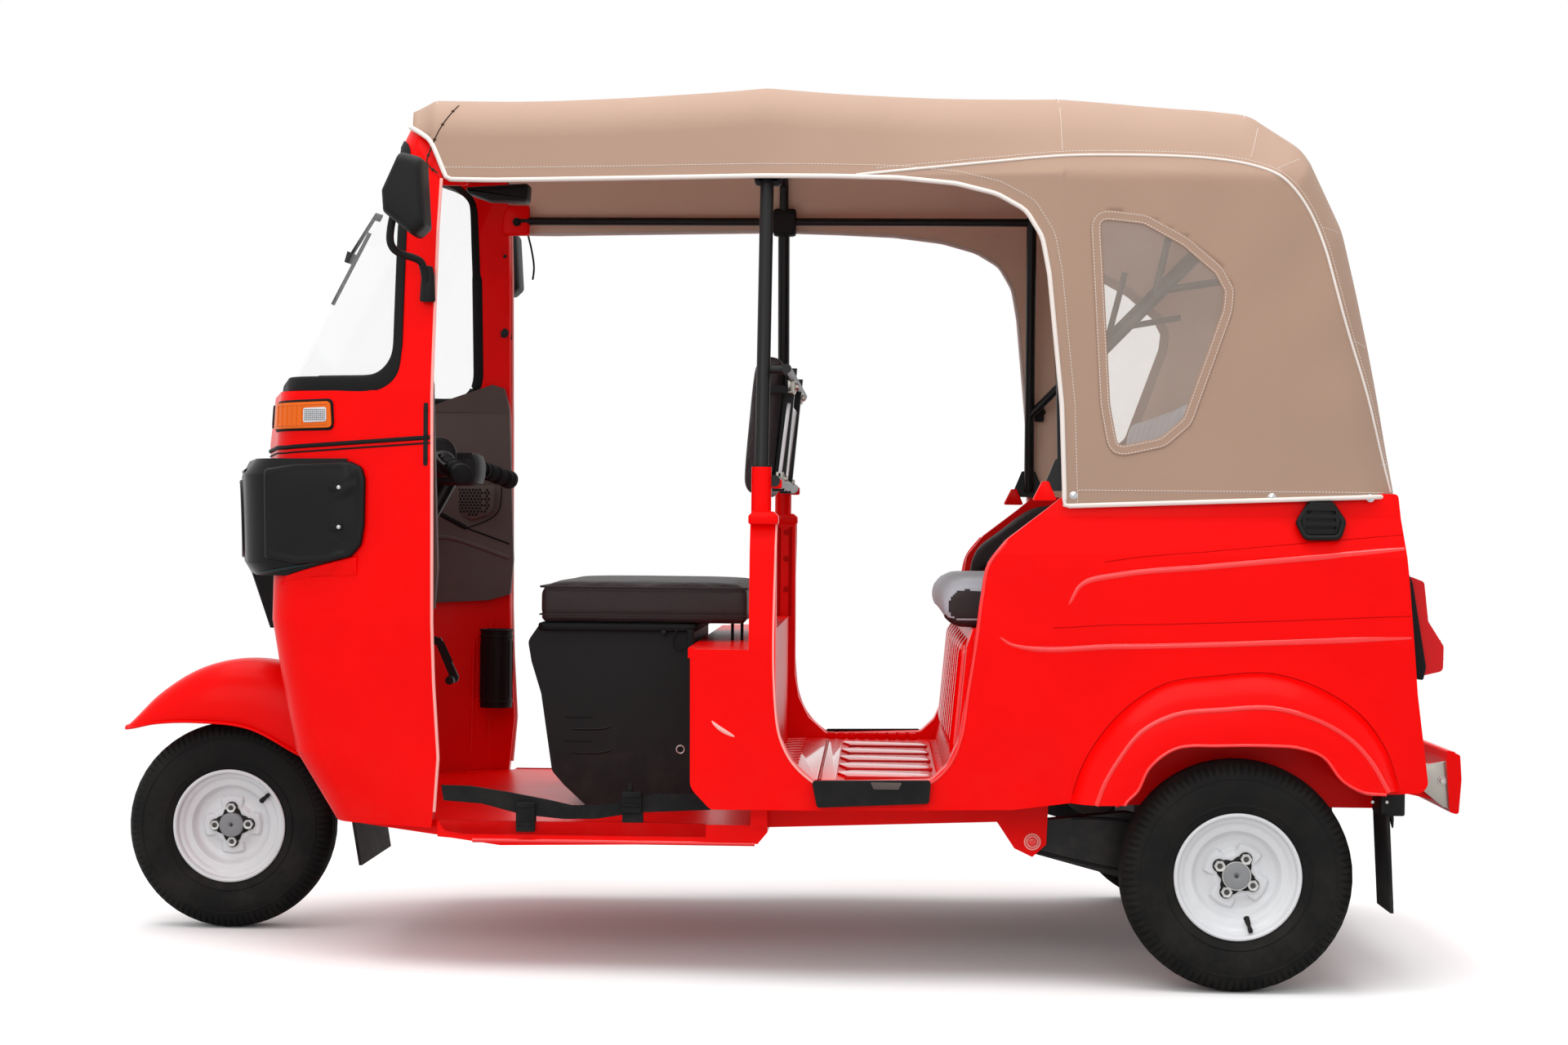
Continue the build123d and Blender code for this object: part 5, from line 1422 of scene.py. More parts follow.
def make_mask_cheeks():
    """Moulded cheeks of the mask: rings drawn in from the outline rise quickly to a flat face."""
    skin = Skin("headlamp_mask", "front_cowl")
    outline = resample(rounded(MASK_SIDE, [4, 10, 30, 20, 14, 14, 30, 22, 20, 20, 20], 8), 130, closed=True)
    middle = outline.mean(axis=0)
    rings = []
    for share, lift in ((1.0, -4), (1.0, 4), (0.992, 8), (0.975, 11), (0.95, 12.5), (0.9, 12), (0.86, 10.5),
                        (0.82, 10.5), (0.7, 11.5), (0.5, 12.5), (0.3, 13), (0.12, 13), (0.01, 13)):
        laid = skin.near_side(middle + (outline - middle) * share, lift)
        around = laid[:, 1]
        for _ in range(3):
            around = 0.25 * np.roll(around, 1) + 0.5 * around + 0.25 * np.roll(around, -1)
        rings.append(place(laid[:, 0], around, laid[:, 2]))
    cheeks = Solid().loft(np.stack(rings)).mirror()
    soften(cheeks.finish("mask_cheeks", "black_gloss"), 60)


def make_cowl_shoulder():
    """Red sheet of the cowl that laps over the mask's lower rear corner, rounded along its upper edge."""
    skin = Skin("headlamp_mask", "front_cowl")
    upper = through([(206, 741), (250, 755), (300, 769), (336, 779), (352, 782)], 60)
    lower = through([(206, 731), (250, 738), (300, 741), (336, 742), (352, 743)], 60)
    rows = []
    for share, lift in ((0, -4), (0, 2), (0.04, 4), (0.1, 5.5), (0.2, 5.5), (0.4, 4.6),
                        (0.6, 3.6), (0.8, 2.4), (0.95, 1.2), (1, -4)):
        laid = skin.near_side(upper * (1 - share) + lower * share, lift)
        around = np.pad(laid[:, 1], 2, mode="edge")
        around = np.convolve(around, [0.1, 0.2, 0.4, 0.2, 0.1], mode="valid")
        rows.append(place(laid[:, 0], around, laid[:, 2]))
    shoulder = Solid().loft(np.stack(rows).transpose(1, 0, 2)).mirror()
    soften(shoulder.finish("cowl_shoulders", "red_paint"), 50)


def make_turn_lamps():
    """Black surround, ribs over the amber body and a clear grid at its rear."""
    lamp = Skin("turn_lamps", "front_cowl")
    frame_, ribs, clear, bars = Solid(), Solid(), Solid(), Solid()
    outline = rounded([(170, 1021), (301, 1023), (298, 1077), (170, 1073)], [3, 9, 9, 3], 5)
    frame_.tube(lamp.near_side(resample(outline, 100, closed=True), -0.5), 3.6, sides=8, closed=True)
    for s in np.linspace(186, 238, 6):
        ribs.tube(lamp.near_side([(s, 1027), (s, 1040), (s, 1055), (s, 1069)], 0.4), 1.7, sides=6)
    ribs.tube(lamp.near_side(resample([(180, 1028.5), (290, 1031)], 30), 0.3), 1.2, sides=6)
    ribs.tube(lamp.near_side(resample([(180, 1067), (290, 1070)], 30), 0.3), 1.2, sides=6)
    pane = rounded([(242, 1034), (290, 1036), (289, 1064), (242, 1062)], 5, 4)
    spot = lamp.near_side([(266, 1049)], 0)[0]
    corner = lamp.near_side([(242, 1049), (290, 1049)], 0)
    lean = (corner[1, 1] - corner[0, 1]) / 48

    def leaning(u, v, depth):
        """(station, z) outline that follows the lamp's lean."""
        return place(u, spot[1] + lean * (u - 266) + depth, v)
    clear.prism(pane, -2.2, 2.0, leaning, bevel=1.2)
    for s in np.linspace(246, 286, 11):
        bars.tube(np.array([(s, spot[1] + lean * (s - 266) - 2.3, z) for z in (1038, 1048, 1060)]), 0.6,
                  sides=5)
    for z in np.linspace(1040, 1059, 6):
        bars.tube(np.array([(s, spot[1] + lean * (s - 266) - 2.3, z) for s in (245, 266, 287)]), 0.6, sides=5)
    frame_.mirror().finish("turn_lamp_frames", "rubber")
    ribs.mirror().finish("turn_lamp_ribs", "amber_lens")
    clear.mirror().finish("turn_lamp_panes", "pale_lens")
    bars.mirror().finish("turn_lamp_grids", "grey_plastic")


def make_cowl_lines():
    """Black band round the nose, crest below the mask, hinge strips, and lips of the doors in a pale paint that is
    their painted highlight.
    """
    cowl = Skin("front_cowl")
    band, crest, hinges, lips = Solid(), Solid(), Solid(), Solid()
    line = run((214, 988), (496, 1006), 60)
    side = cowl.near_side(line, 0)
    front = cowl.from_front(run((side[0, 1] + 6, 987), (0, 987), 60), 0)
    path = np.concatenate([side[::-1], front])
    path = resample(path, 130)
    for drop, radius in ((0, 4.2), (-10.5, 1.8)):
        whole = np.concatenate([path, path[-2::-1] * (1, -1, 1)]) + (0, 0, drop)
        band.tube(whole, radius, sides=8)
    band.finish("cowl_band", "rubber")
    ridge = eased([(196, 726), (212, 742), (262, 752), (330, 768)], 2)
    crest.tube(cowl.near_side(resample(ridge, 40), -1.6), 3.6, sides=8)
    crest.mirror().finish("cowl_crest", "red_paint")
    strip(hinges, cowl.near_side(run((488, 953), (488, 1071), 30), 0.8), 9.0, 3.2, (1, 0, 0), ends=0.8)
    for z in (967, 1012, 1057):
        bolt(hinges, cowl.near_side([(488, z)], 1.5)[0], (0, -1, 0), 5, 3)
    hinges.mirror().finish("hinge_strips", "black_plastic")
    # the door opening's front edge: half-width at each height, then its station at each height
    half = np.array([(529, 302), (536, 404), (541, 546), (544, 657), (545, 1000), (545, 1080),
                     (540, 1130), (506, 1400), (478, 1500)], float)
    heights = [272, 404, 546, 657, 1000, 1117, 1400, 1632]
    stations = np.interp(half[:, 1], heights, [506, 516, 507, 503, 500, 499, 501, 503])
    rail = resample(np.column_stack([stations, -half[:, 0], half[:, 1]]), 120)
    # pale paint along the door lips: a painted highlight
    lips.tube(rail, 3.0, sides=8)
    lips.mirror().finish("door_lips", "pale_highlight_paint")


def make_mirrors():
    """Softened mirror heads, drawn in towards both faces, with their arms, feet and glasses."""
    head = np.array([(456, 1526), (498, 1515), (506, 1388), (485, 1368), (427, 1414), (424, 1454)], float)
    outline = rounded(head, [14, 14, 14, 12, 12, 14], 6)
    middle = outline.mean(axis=0)
    shells, rings = Solid(), []
    for y, share in ((-690, 0.72), (-688, 0.82), (-682, 0.92), (-670, 0.985), (-654, 1.0),
                     (-620, 1.0), (-600, 0.985), (-592, 0.95), (-588, 0.88)):
        ring = middle + (outline - middle) * share
        rings.append(side_view(ring[:, 0], ring[:, 1], np.full(len(ring), float(y))))
    shells.loft(np.stack(rings))
    arm = eased([(440, -622, 1424), (432, -618, 1392), (428, -606, 1362), (440, -588, 1346),
                 (478, -560, 1338), (482, -548, 1322), (484, -540, 1300)], 3)
    shells.tube(resample(arm, 60), 7.2, sides=14)
    foot = [(0.3, 0), (13, 0), (15, 3), (14, 22), (12, 52), (9, 66), (0.3, 68)]
    shells.turned(foot, (486, -526, 1262), (0.02, -0.12, 1), 24)
    shells.mirror()
    piece = shells.finish("mirror_shells", "black_plastic")
    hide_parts("mirrors")
    panes = Solid()
    face = rounded([(-662, 1402), (-618, 1402), (-614, 1490), (-664, 1494)], 14, 5)

    def turned_in(u, v, depth):
        """(y, z) outline of the glass, turned towards the driver."""
        return place(depth - (u + 612) * 0.24, u, v)
    panes.prism(face, 470, 481, turned_in, bevel=1.5)
    panes.mirror().finish("mirror_glasses", "chrome")


def make_windscreen_trim():
    """Rubber seal of the windscreen: a flat oval carried along the opening's edge and the nose."""
    rubber = Skin("windscreen_rubber", "front_cowl", "windscreen")
    seal = Solid()
    edge = rounded([(428, 1500), (428, 1114), (238, 1114)], [0, 74, 0], 14)
    line = resample(np.concatenate([edge, [(206, 1114)]]), 110)
    laid = rubber.near_side(line, -0.5)
    nose = rubber.from_front(run((laid[-1, 1] + 16, 1114), (0, 1114), 60), -0.5)
    path = resample(np.concatenate([laid, nose]), 170)
    path[:, 2] -= 8 * smoothstep(1180 - path[:, 2], 0, 50)
    path = np.concatenate([path, path[-2::-1] * (1, -1, 1)])
    tangent = unit(np.gradient(path, axis=0))
    out = np.column_stack([path[:, 0] - 700, path[:, 1] * 1.6, np.zeros(len(path))])
    out = unit(out - np.sum(out * tangent, axis=1)[:, None] * tangent)
    across = np.cross(tangent, out)
    half = np.where(path[:, 2] > 1170, 10.0, 10 + 7 * smoothstep(1170 - path[:, 2], 0, 50))
    turn = full_turn(16)
    ring = (half[:, None, None] * np.cos(turn)[None, :, None] * across[:, None]
            + 4.5 * np.sin(turn)[None, :, None] * out[:, None])
    seal.loft(placed(path[:, None] + ring))
    seal.finish("windscreen_seal", "rubber")
    lining = Skin("windscreen_rubber", "front_cowl")
    line = resample(rounded([(429, 1560), (429, 1113), (250, 1113)], [0, 74, 0], 14), 110)
    inner = Solid()
    strip(inner, lining.near_side(line, 1.0, start=0), 26, 9, (0.4, 0, 0.9), sides=14)
    inner.mirror().finish("windscreen_inner_seal", "rubber")


def make_handlebar():
    """Ribbed grips, switch boxes with their knobs, levers and the horn's pod on the steering's bar."""
    grips, metal, boxes, dial = Solid(), Solid(), Solid(), Solid()
    start, end = np.array([480.0, -230, 960]), np.array([523.0, -335, 941])
    way = (end - start) / np.linalg.norm(end - start)
    reach = np.linspace(0, 1, 49)
    radius = 18.2 + 1.1 * np.sign(np.sin(reach * 2 * math.pi * 15)) * (reach > 0.06) * (reach < 0.9)
    radius = np.where(reach > 0.93, 20.5, radius)
    grips.tube(start + (end - start) * reach[:, None], radius, sides=20)
    grips.turned([(20.5, 0), (20, 3), (15, 5.4), (0.3, 6)], end, way, 20)
    grips.mirror().finish("handlebar_grips", "rubber", "steering")
    boxes.turned([(0.3, -30), (12, -29), (20, -24), (25, -14), (27, 0), (25, 14), (21, 24),
                  (19, 28), (0.3, 28)],
                 (462, -190, 964), way, 28)
    boxes.turned([(0.3, 0), (7, 0), (7, 5), (5, 7), (0.3, 7)], (478, -206, 975), (0.7, 0, 0.7), 14)
    boxes.turned([(0.3, 0), (5, 0), (5, 4), (0.3, 5)], (478, -190, 960), (1, 0, 0), 14)
    boxes.mirror()
    boxes.block((404, -63, 923), (513, 63, 991), 20)
    boxes.finish("switch_boxes", "black_plastic", "steering")
    knots = [(466, -196, 978), (454, -212, 984), (458, -262, 979), (477, -306, 964), (489, -322, 957)]
    thick = np.interp(np.linspace(0, 1, 50), [0, 0.1, 0.9, 1], [6, 4.4, 3.6, 5.0])
    metal.tube(resample(eased(knots, 3), 50), thick, sides=12)
    metal.mirror().finish("handlebar_levers", "black_gloss", "steering")
    dial.turned([(0.3, 24), (26, 24), (34, 20), (38, 12), (39, 0), (36, -26), (28, -40), (0.3, -44)],
                (436, -96, 982), (0.2, -0.92, 0.28), 40)
    dial.turned([(0.3, 30), (4, 29.6), (5, 26), (5, 20), (0.3, 20)], (436, -96, 982), (0.2, -0.92, 0.28), 16)
    dial.finish("horn_pod", "black_plastic", "steering")


def make_front():
    """Everything from the fender to the handlebar."""
    make_fender()
    make_mask()
    make_mask_cheeks()
    make_cowl_shoulder()
    make_turn_lamps()
    make_cowl_lines()
    make_mirrors()
    make_windscreen_trim()
    make_handlebar()


# ---------------------------------------------------------------- cabin
def inside(points, outline, margin=0.0):
    """True where a point lies inside a convex outline: its distance to every edge is over the margin."""
    outline = np.asarray(outline, float)
    nexts = np.roll(outline, -1, axis=0)
    along = (nexts - outline) / np.linalg.norm(nexts - outline, axis=1, keepdims=True)
    cross = (along[None, :, 0] * (points[:, None, 1] - outline[None, :, 1])
             - along[None, :, 1] * (points[:, None, 0] - outline[None, :, 0]))
    turn = np.sign(np.sum(outline[:, 0] * nexts[:, 1] - nexts[:, 0] * outline[:, 1]))
    return (cross * turn >= margin).all(axis=1)


SPEAKER = np.array([(338, 884), (418, 850), (456, 864), (467, 880), (470, 930), (345, 930)], float)


def make_dash():
    """Raised loudspeaker panel and its holes, the pocket's slit and creases, on both sides."""
    trim = Skin("dash_trim")
    panel, holes, slits, creases = Solid(), Solid(), Solid(), Solid()
    wall = trim.near_side([(410, 890)], 0, start=0)[0, 1]
    panel.prism(rounded(SPEAKER, [6, 18, 12, 10, 10, 6], 5), wall - 5, wall + 1, side_view, bevel=3.2)
    rows = np.arange(-12, 13)
    grid = np.array([(404 + 8.0 * (column + 0.5 * (row % 2)), 892 + 7.0 * row)
                     for row in rows for column in range(-9, 10)])
    near = np.abs(grid[:, 0] - 404) < 26
    sparse = (np.round((grid[:, 0] - 404) / 8.0).astype(int) % 2 == 0)
    for s, z in grid[inside(grid, SPEAKER, 9) & (near | sparse)]:
        holes.turned([(0.2, 0.9), (2.9, 0.9), (3.1, -0.6), (0.2, -0.6)], (s, wall - 5, z), (0, -1, 0), 10)
    for line, radius in (([(336, 872), (352, 862), (404, 834)], 5.2),
                         ([(404, 834), (450, 817), (500, 798)], 2.0),
                         ([(404, 834), (420, 838), (456, 852), (480, 874), (482, 928)], 1.4)):
        path = trim.near_side(resample(eased(line, 2), 40), 0.3, start=0)
        slits.tube(path, radius, sides=8)
    for line in ([(338, 812), (372, 812), (430, 792), (499, 766)],):
        creases.tube(trim.near_side(resample(eased(line, 3), 50), -5.5, start=0), 8, sides=16)
    wedge = rounded([(326, 1104), (382, 1100), (366, 1044), (326, 1030)], [4, 14, 14, 4], 5)
    panel.prism(wedge, wall - 9, wall + 3, side_view, bevel=7)
    panel.mirror().finish("dash_speakers", "trim_plastic")
    holes.mirror().finish("dash_speaker_holes", "rubber")
    slits.mirror().finish("dash_slits", "rubber")
    creases.mirror().finish("dash_creases", "trim_plastic")
    ribs = Solid()
    for s, low, high in ((458, 300, 640), (420, 300, 600)):
        foot = Skin("front_cowl").near_side([(s, z) for z in np.linspace(low, high, 20)], -3, start=0)
        strip(ribs, foot, 16, 9, (1, 0, 0))
    ribs.mirror().finish("footwell_ribs", "red_paint")
    heads = Solid()
    inner = Skin("front_cowl")
    for s, z, size in ((484, 1277, 13), (489, 1448, 5)):
        bolt(heads, inner.near_side([(s, z)], 0, start=0)[0], (0, -1, 0), size, 5)
    heads.mirror().finish("pillar_bolts", "black_gloss")


def make_seat_base():
    """Pressed lines, lock ring, cushion ledge, catch and hose clips of the driver's seat box."""
    base = Skin("driver_seat_base")
    dark, bright, lock = Solid(), Solid(), Solid()
    for z in (464, 417):
        dark.tube(base.near_side(resample([(722, z), (778, z)], 20), 0.0), 1.3, sides=8)
        ridge = resample(eased([(736, z - 23), (800, z - 23), (818, z - 15)], 2), 24)
        strip(bright, base.near_side(ridge, 0.0), 5, 3.4, (0, 0, 1))
    spot = base.near_side([(952, 403)], 0)[0]
    lock.hoop(spot - (0, 1.2, 0), 7.6, 1.5)
    dark.turned([(0.2, 2), (3, 2), (3.4, 1), (6.6, 0.6), (6.6, -2), (0.2, -2)], spot, (0, -1, 0), 24)
    ledge = rounded([(668, -287), (985, -287), (985, 287), (668, 287)], 20, 6)
    dark.prism(ledge, 636, 651, plan_view, bevel=5)
    for s in (1049, 1068):
        dark.tube(np.array([(s, -205, 612), (s, -205, 634), (s, -205, 658)]), 3.2, sides=10)
    catch = eased([(946, -287, 640), (938, -290, 630), (938, -290, 606), (948, -290, 600), (960, -288, 604)],
                  2)
    dark.tube(resample(catch, 40), 2.0, sides=8)
    dark.block((964, -292, 598), (978, -276, 640), 3)
    bright.turned([(0.2, 5), (5, 4), (6, 0), (6, -4), (0.2, -4)], (918, -286, 634), (0, -1, 0), 16)
    dark.finish("seat_box_fittings", "rubber")
    bright.finish("seat_box_ridges", "black_gloss")
    lock.finish("seat_box_lock", "zinc")

    clips = Solid()
    for low, high, z_low, z_high in ((862, 900, 306, 346), (664, 700, 268, 324)):
        clips.block((low, -541, z_low), (high, -515, z_high), 3)
        clips.block((low + 3, -544, z_low + 12), (high - 3, -536, z_low + 17), 1)
        clips.block((low + 3, -544, z_high - 10), (high - 3, -536, z_high - 6), 1)
    clips.turned([(0.2, 16), (3, 15.5), (5, 12), (5, -6), (0.2, -6)], (878, -530, 347), (0, 0, 1), 14)
    clips.finish("sill_rail_clips", "rubber")
    lip = Solid()
    floor = Skin("driver_floor")
    edge = floor.near_side(resample([(322, 250), (1126, 250)], 60), -2.4)
    lip.tube(edge, 4.6, sides=10)
    lip.mirror().finish("floor_pan_lip", "polished_paint")
    # deep red band over the upper side face of the floor pan: painted shade of its recess
    shade = rounded([(516, 287), (528, 268), (566, 262), (1020, 262), (1020, 287)], [2, 10, 10, 2, 2], 4)
    shade = Solid().prism(shade, -530.5, -526, side_view, bevel=0.6)
    shade.mirror().finish("floor_pan_painted_shade", "deep_red")


def make_driver_back_hardware():
    """Pale plate behind the driver's back pad, its two bright brackets and the red clamp at the post."""
    plate, brackets, clamps = Solid(), Solid(), Solid()
    outline = rounded([(-262, 920), (262, 920), (262, 1090), (-262, 1090)], 24, 6)

    def leaning(u, v, depth):
        """(y, z) outline that leans with the back pad."""
        return place(1126 + depth + (v - 905) * 0.118, u, v)
    plate.prism(outline, 8, 14, leaning, bevel=1.0)
    for z in (940, 1122):
        lean = (z - 905) * 0.118
        for side in (-1, 1):
            y = side * 236
            brackets.block((1130 + lean, y - 26, z - 14), (1146 + lean, y + 26, z + 14), 4)
            for offset in (-14, 14):
                bolt(brackets, (1146 + lean, y + offset, z), (1, 0, 0), 10, 6)
    straps = Solid()
    for side in (-1, 1):
        y = side * 284
        straps.block((1092, min(y, y - side * 8), 1106), (1158, max(y, y - side * 8), 1122), 3)
    plate.finish("back_pad_plate", "pale_lens")
    brackets.finish("back_pad_brackets", "dull_chrome")
    straps.finish("back_pad_straps", "black_gloss")
    for side in (-1, 1):
        y = side * 565
        clamps.turned([(17, 866), (18.7, 867), (18.7, 955), (17, 956.5)], (1120, y, 0), (0, 0, 1), 28)
        clamps.block((1138, min(y, y - side * 22), 916), (1158, max(y, y - side * 22), 934), 4)
    clamps.finish("post_sockets", "red_paint")
    caps = Solid()
    cap = rounded([(1098, 849), (1153, 849), (1153, 865), (1144, 873), (1107, 873), (1098, 865)], 5, 4)
    caps.prism(cap, -607, -546, side_view, bevel=3)
    caps.mirror().finish("post_caps", "red_paint")
    ridges = Solid()
    post = Skin("right_quarter_panel")
    for s in (1112, 1138):
        ridges.tube(post.near_side(run((s, 640), (s, 842), 40), -1.5, start=0), 4.2, sides=12)
    for s, z in ((1129, 830), (1129, 770), (1129, 700)):
        ridges.turned([(0.2, 1), (7, 1), (7.6, -1), (0.2, -1)],
                      post.near_side([(s, z)], 0, start=0)[0], (0, -1, 0), 20)
    # deep red on the post's embossing, darker than the post's own red: painted shade
    ridges.mirror().finish("post_embossing", "deep_red")


def make_side_pads(settings):
    """Padded linings beside the bench: the outline is carried through the lining's depth and swollen."""
    depth = np.abs(read(NODES["side_trim"].data.vertices, "co")[:, 1]) * 1000
    rear = WHEELBASE
    outline = eased([(rear - 462, 672), (rear - 459, 748), (rear - 452, 776), (rear - 437, 804),
                     (rear - 397, 837), (rear - 342, 880), (rear - 308, 896), (rear - 282, 900),
                     (rear - 172, 899), (rear - 172, 768), (rear - 440, 768), (rear - 450, 672)], 1,
                     closed=True)
    pads = Solid().prism(outline, -depth.max() + 1, -depth.min() - 2, side_view, bevel=5).mirror()
    pads = pads.finish("side_pads", "dark_leather")
    _, points = swell(pads, settings, settings.cap * 0.5)
    points[:, 1] = np.clip(points[:, 1], -depth.max() / 1000, depth.max() / 1000)
    shape_pad(pads, points)
    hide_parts("side_trim")


def make_passenger_floor():
    """Pressed plates, teeth and ribs of the passenger floor with deep red lines of painted shade beside them, and
    the tall ribs of the bench's bulkhead.
    """
    plates, ribs, far_edge, shade_lines = Solid(), Solid(), Solid(), Solid()
    top = 362.5
    plates.prism(rounded([(1150, -470), (1227, -470), (1227, 470), (1150, 470)], 8, 4), top,
                 top + 4.2, plan_view, 1.2)
    plates.prism(rounded([(1233, -470), (1262, -470), (1262, 470), (1233, 470)], 4, 4), top,
                 top + 4.2, plan_view, 1.2)
    for edge in (-410, -235, -60, 115, 303):
        bar = rounded([(1284, edge), (1440, edge), (1450, edge + 14), (1442, edge + 120), (1290, edge + 120),
                       (1262, edge + 84)], [3, 3, 6, 8, 8, 12], 3)
        plates.prism(bar, top, top + 6, plan_view, 1.4)
        # deep red line beside each rib: painted shade
        shade_lines.tube(resample([(1278, edge - 4, top + 1.4), (1446, edge - 4, top + 1.4)], 20), 4.2, sides=8)
    for y in np.linspace(-452, 452, 15):
        tooth = [(1140, y - 9), (1176, y - 3), (1182, y), (1176, y + 3), (1140, y + 9)]
        plates.prism(np.array(tooth, float), top, top + 6.5, plan_view, 1.5)
    for y in np.linspace(-456, 456, 27):
        tooth = [(1474, y - 8), (1456, y), (1474, y + 8)]
        plates.prism(np.array(tooth, float), top, top + 5, plan_view, 1.0)
    # deep red line across the floor: painted shade of a slot
    shade_lines.tube(resample([(1230, -462, top + 2), (1230, 462, top + 2)], 20), 3.0, sides=8)
    shade_lines.finish("floor_painted_shade_lines", "deep_red")
    plates.finish("floor_pressings", "polished_paint")
    for s in np.linspace(1236, 1420, 9):
        far_edge.block((s - 9, 520, 362), (s + 9, 536, 378), 4)
    far_edge.finish("floor_edge_pressings", "red_paint")
    wall = Skin("passenger_bulkhead")
    for y in np.linspace(-440, 440, 9):
        strip(ribs, wall.from_front(run((y, 408), (y, 636), 26), -1.0), 40, 26, (0, 1, 0), sides=16)
    ribs.finish("bulkhead_ribs", "polished_paint")


def through(points, count):
    """Smooth curve through points: each coordinate follows its own cubic over the chord length."""
    points = np.asarray(points, float)
    reach = np.concatenate([[0], np.cumsum(np.linalg.norm(np.diff(points, axis=0), axis=1))])
    at = np.linspace(0, reach[-1], count)
    return np.stack([curve_through(reach, points[:, k], at) for k in range(points.shape[1])], axis=-1)


# outlines of the arch from the wheel's centre: its outer edge, the edge of its face and the wheel's opening
ARCH_OUTER = [(-305, 343), (-285, 405), (-257, 456), (-205, 516), (-132, 562), (-40, 577),
              (61, 582), (149, 556), (224, 507), (268, 448), (294, 374)]
ARCH_FACE = [(-255, 343), (-242, 378), (-218, 420), (-178, 472), (-120, 502), (-35, 512),
             (55, 516), (130, 498), (190, 466), (228, 428), (262, 374)]
ARCH_HOLE = [(-210, 344), (-205, 352), (-188, 369), (-165, 414), (-118, 449), (-40, 455),
             (60, 456), (103, 453), (147, 438), (184, 394), (221, 374), (262, 370)]


def make_arches():
    """Blister over each rear wheel: between its outer edge and its face the section is a rounded quarter."""
    count = 110
    outer, face, hole = (through(np.array(line, float) + (WHEELBASE, 0), count)
                         for line in (ARCH_OUTER, ARCH_FACE, ARCH_HOLE))
    quarter = Skin("left_quarter_panel")
    angle = np.linspace(0, math.pi / 2, 9)[:, None, None]
    edge, depth = 606.5, 650.6
    bow = 0.45
    across = (1 - bow) * (angle / (math.pi / 2)) + bow * (1 - np.cos(angle))
    rise = (1 - bow) * (angle / (math.pi / 2)) + bow * np.sin(angle)
    rows = outer[None] + (face - outer)[None] * across
    y = -(edge + (depth - edge) * rise)
    swept = place(rows[..., 0], np.broadcast_to(y[..., 0], rows.shape[:2]), rows[..., 1])
    inner = [place(hole[:, 0], -depth, hole[:, 1]), place(hole[:, 0], -(depth - 6), hole[:, 1] - 0.5),
             place(face[:, 0], -(depth - 8), face[:, 1]), place(outer[:, 0], -(edge - 8), outer[:, 1])]
    rings = np.concatenate([swept, np.stack(inner)]).transpose(1, 0, 2)
    arch = Solid().loft(rings).mirror().finish("arch_skins", "red_paint")
    soften(arch, 50)
    beads = Solid()
    beads.tube(np.column_stack([hole[:, 0], np.full(count, -depth + 1.5), hole[:, 1]]), 3.2, sides=10)
    crest = face + (outer - face) * 0.12
    beads.tube(np.column_stack([crest[:, 0], np.full(count, -depth + 4.5), crest[:, 1]]), 5.5, sides=14)
    beads.mirror().finish("arch_beads", "polished_paint")
    seam = Solid()
    seam.tube(quarter.near_side(outer[2:-2] + (0, 2.5), -0.2), 1.3, sides=8)
    seam.mirror().finish("arch_seams", "deep_red")


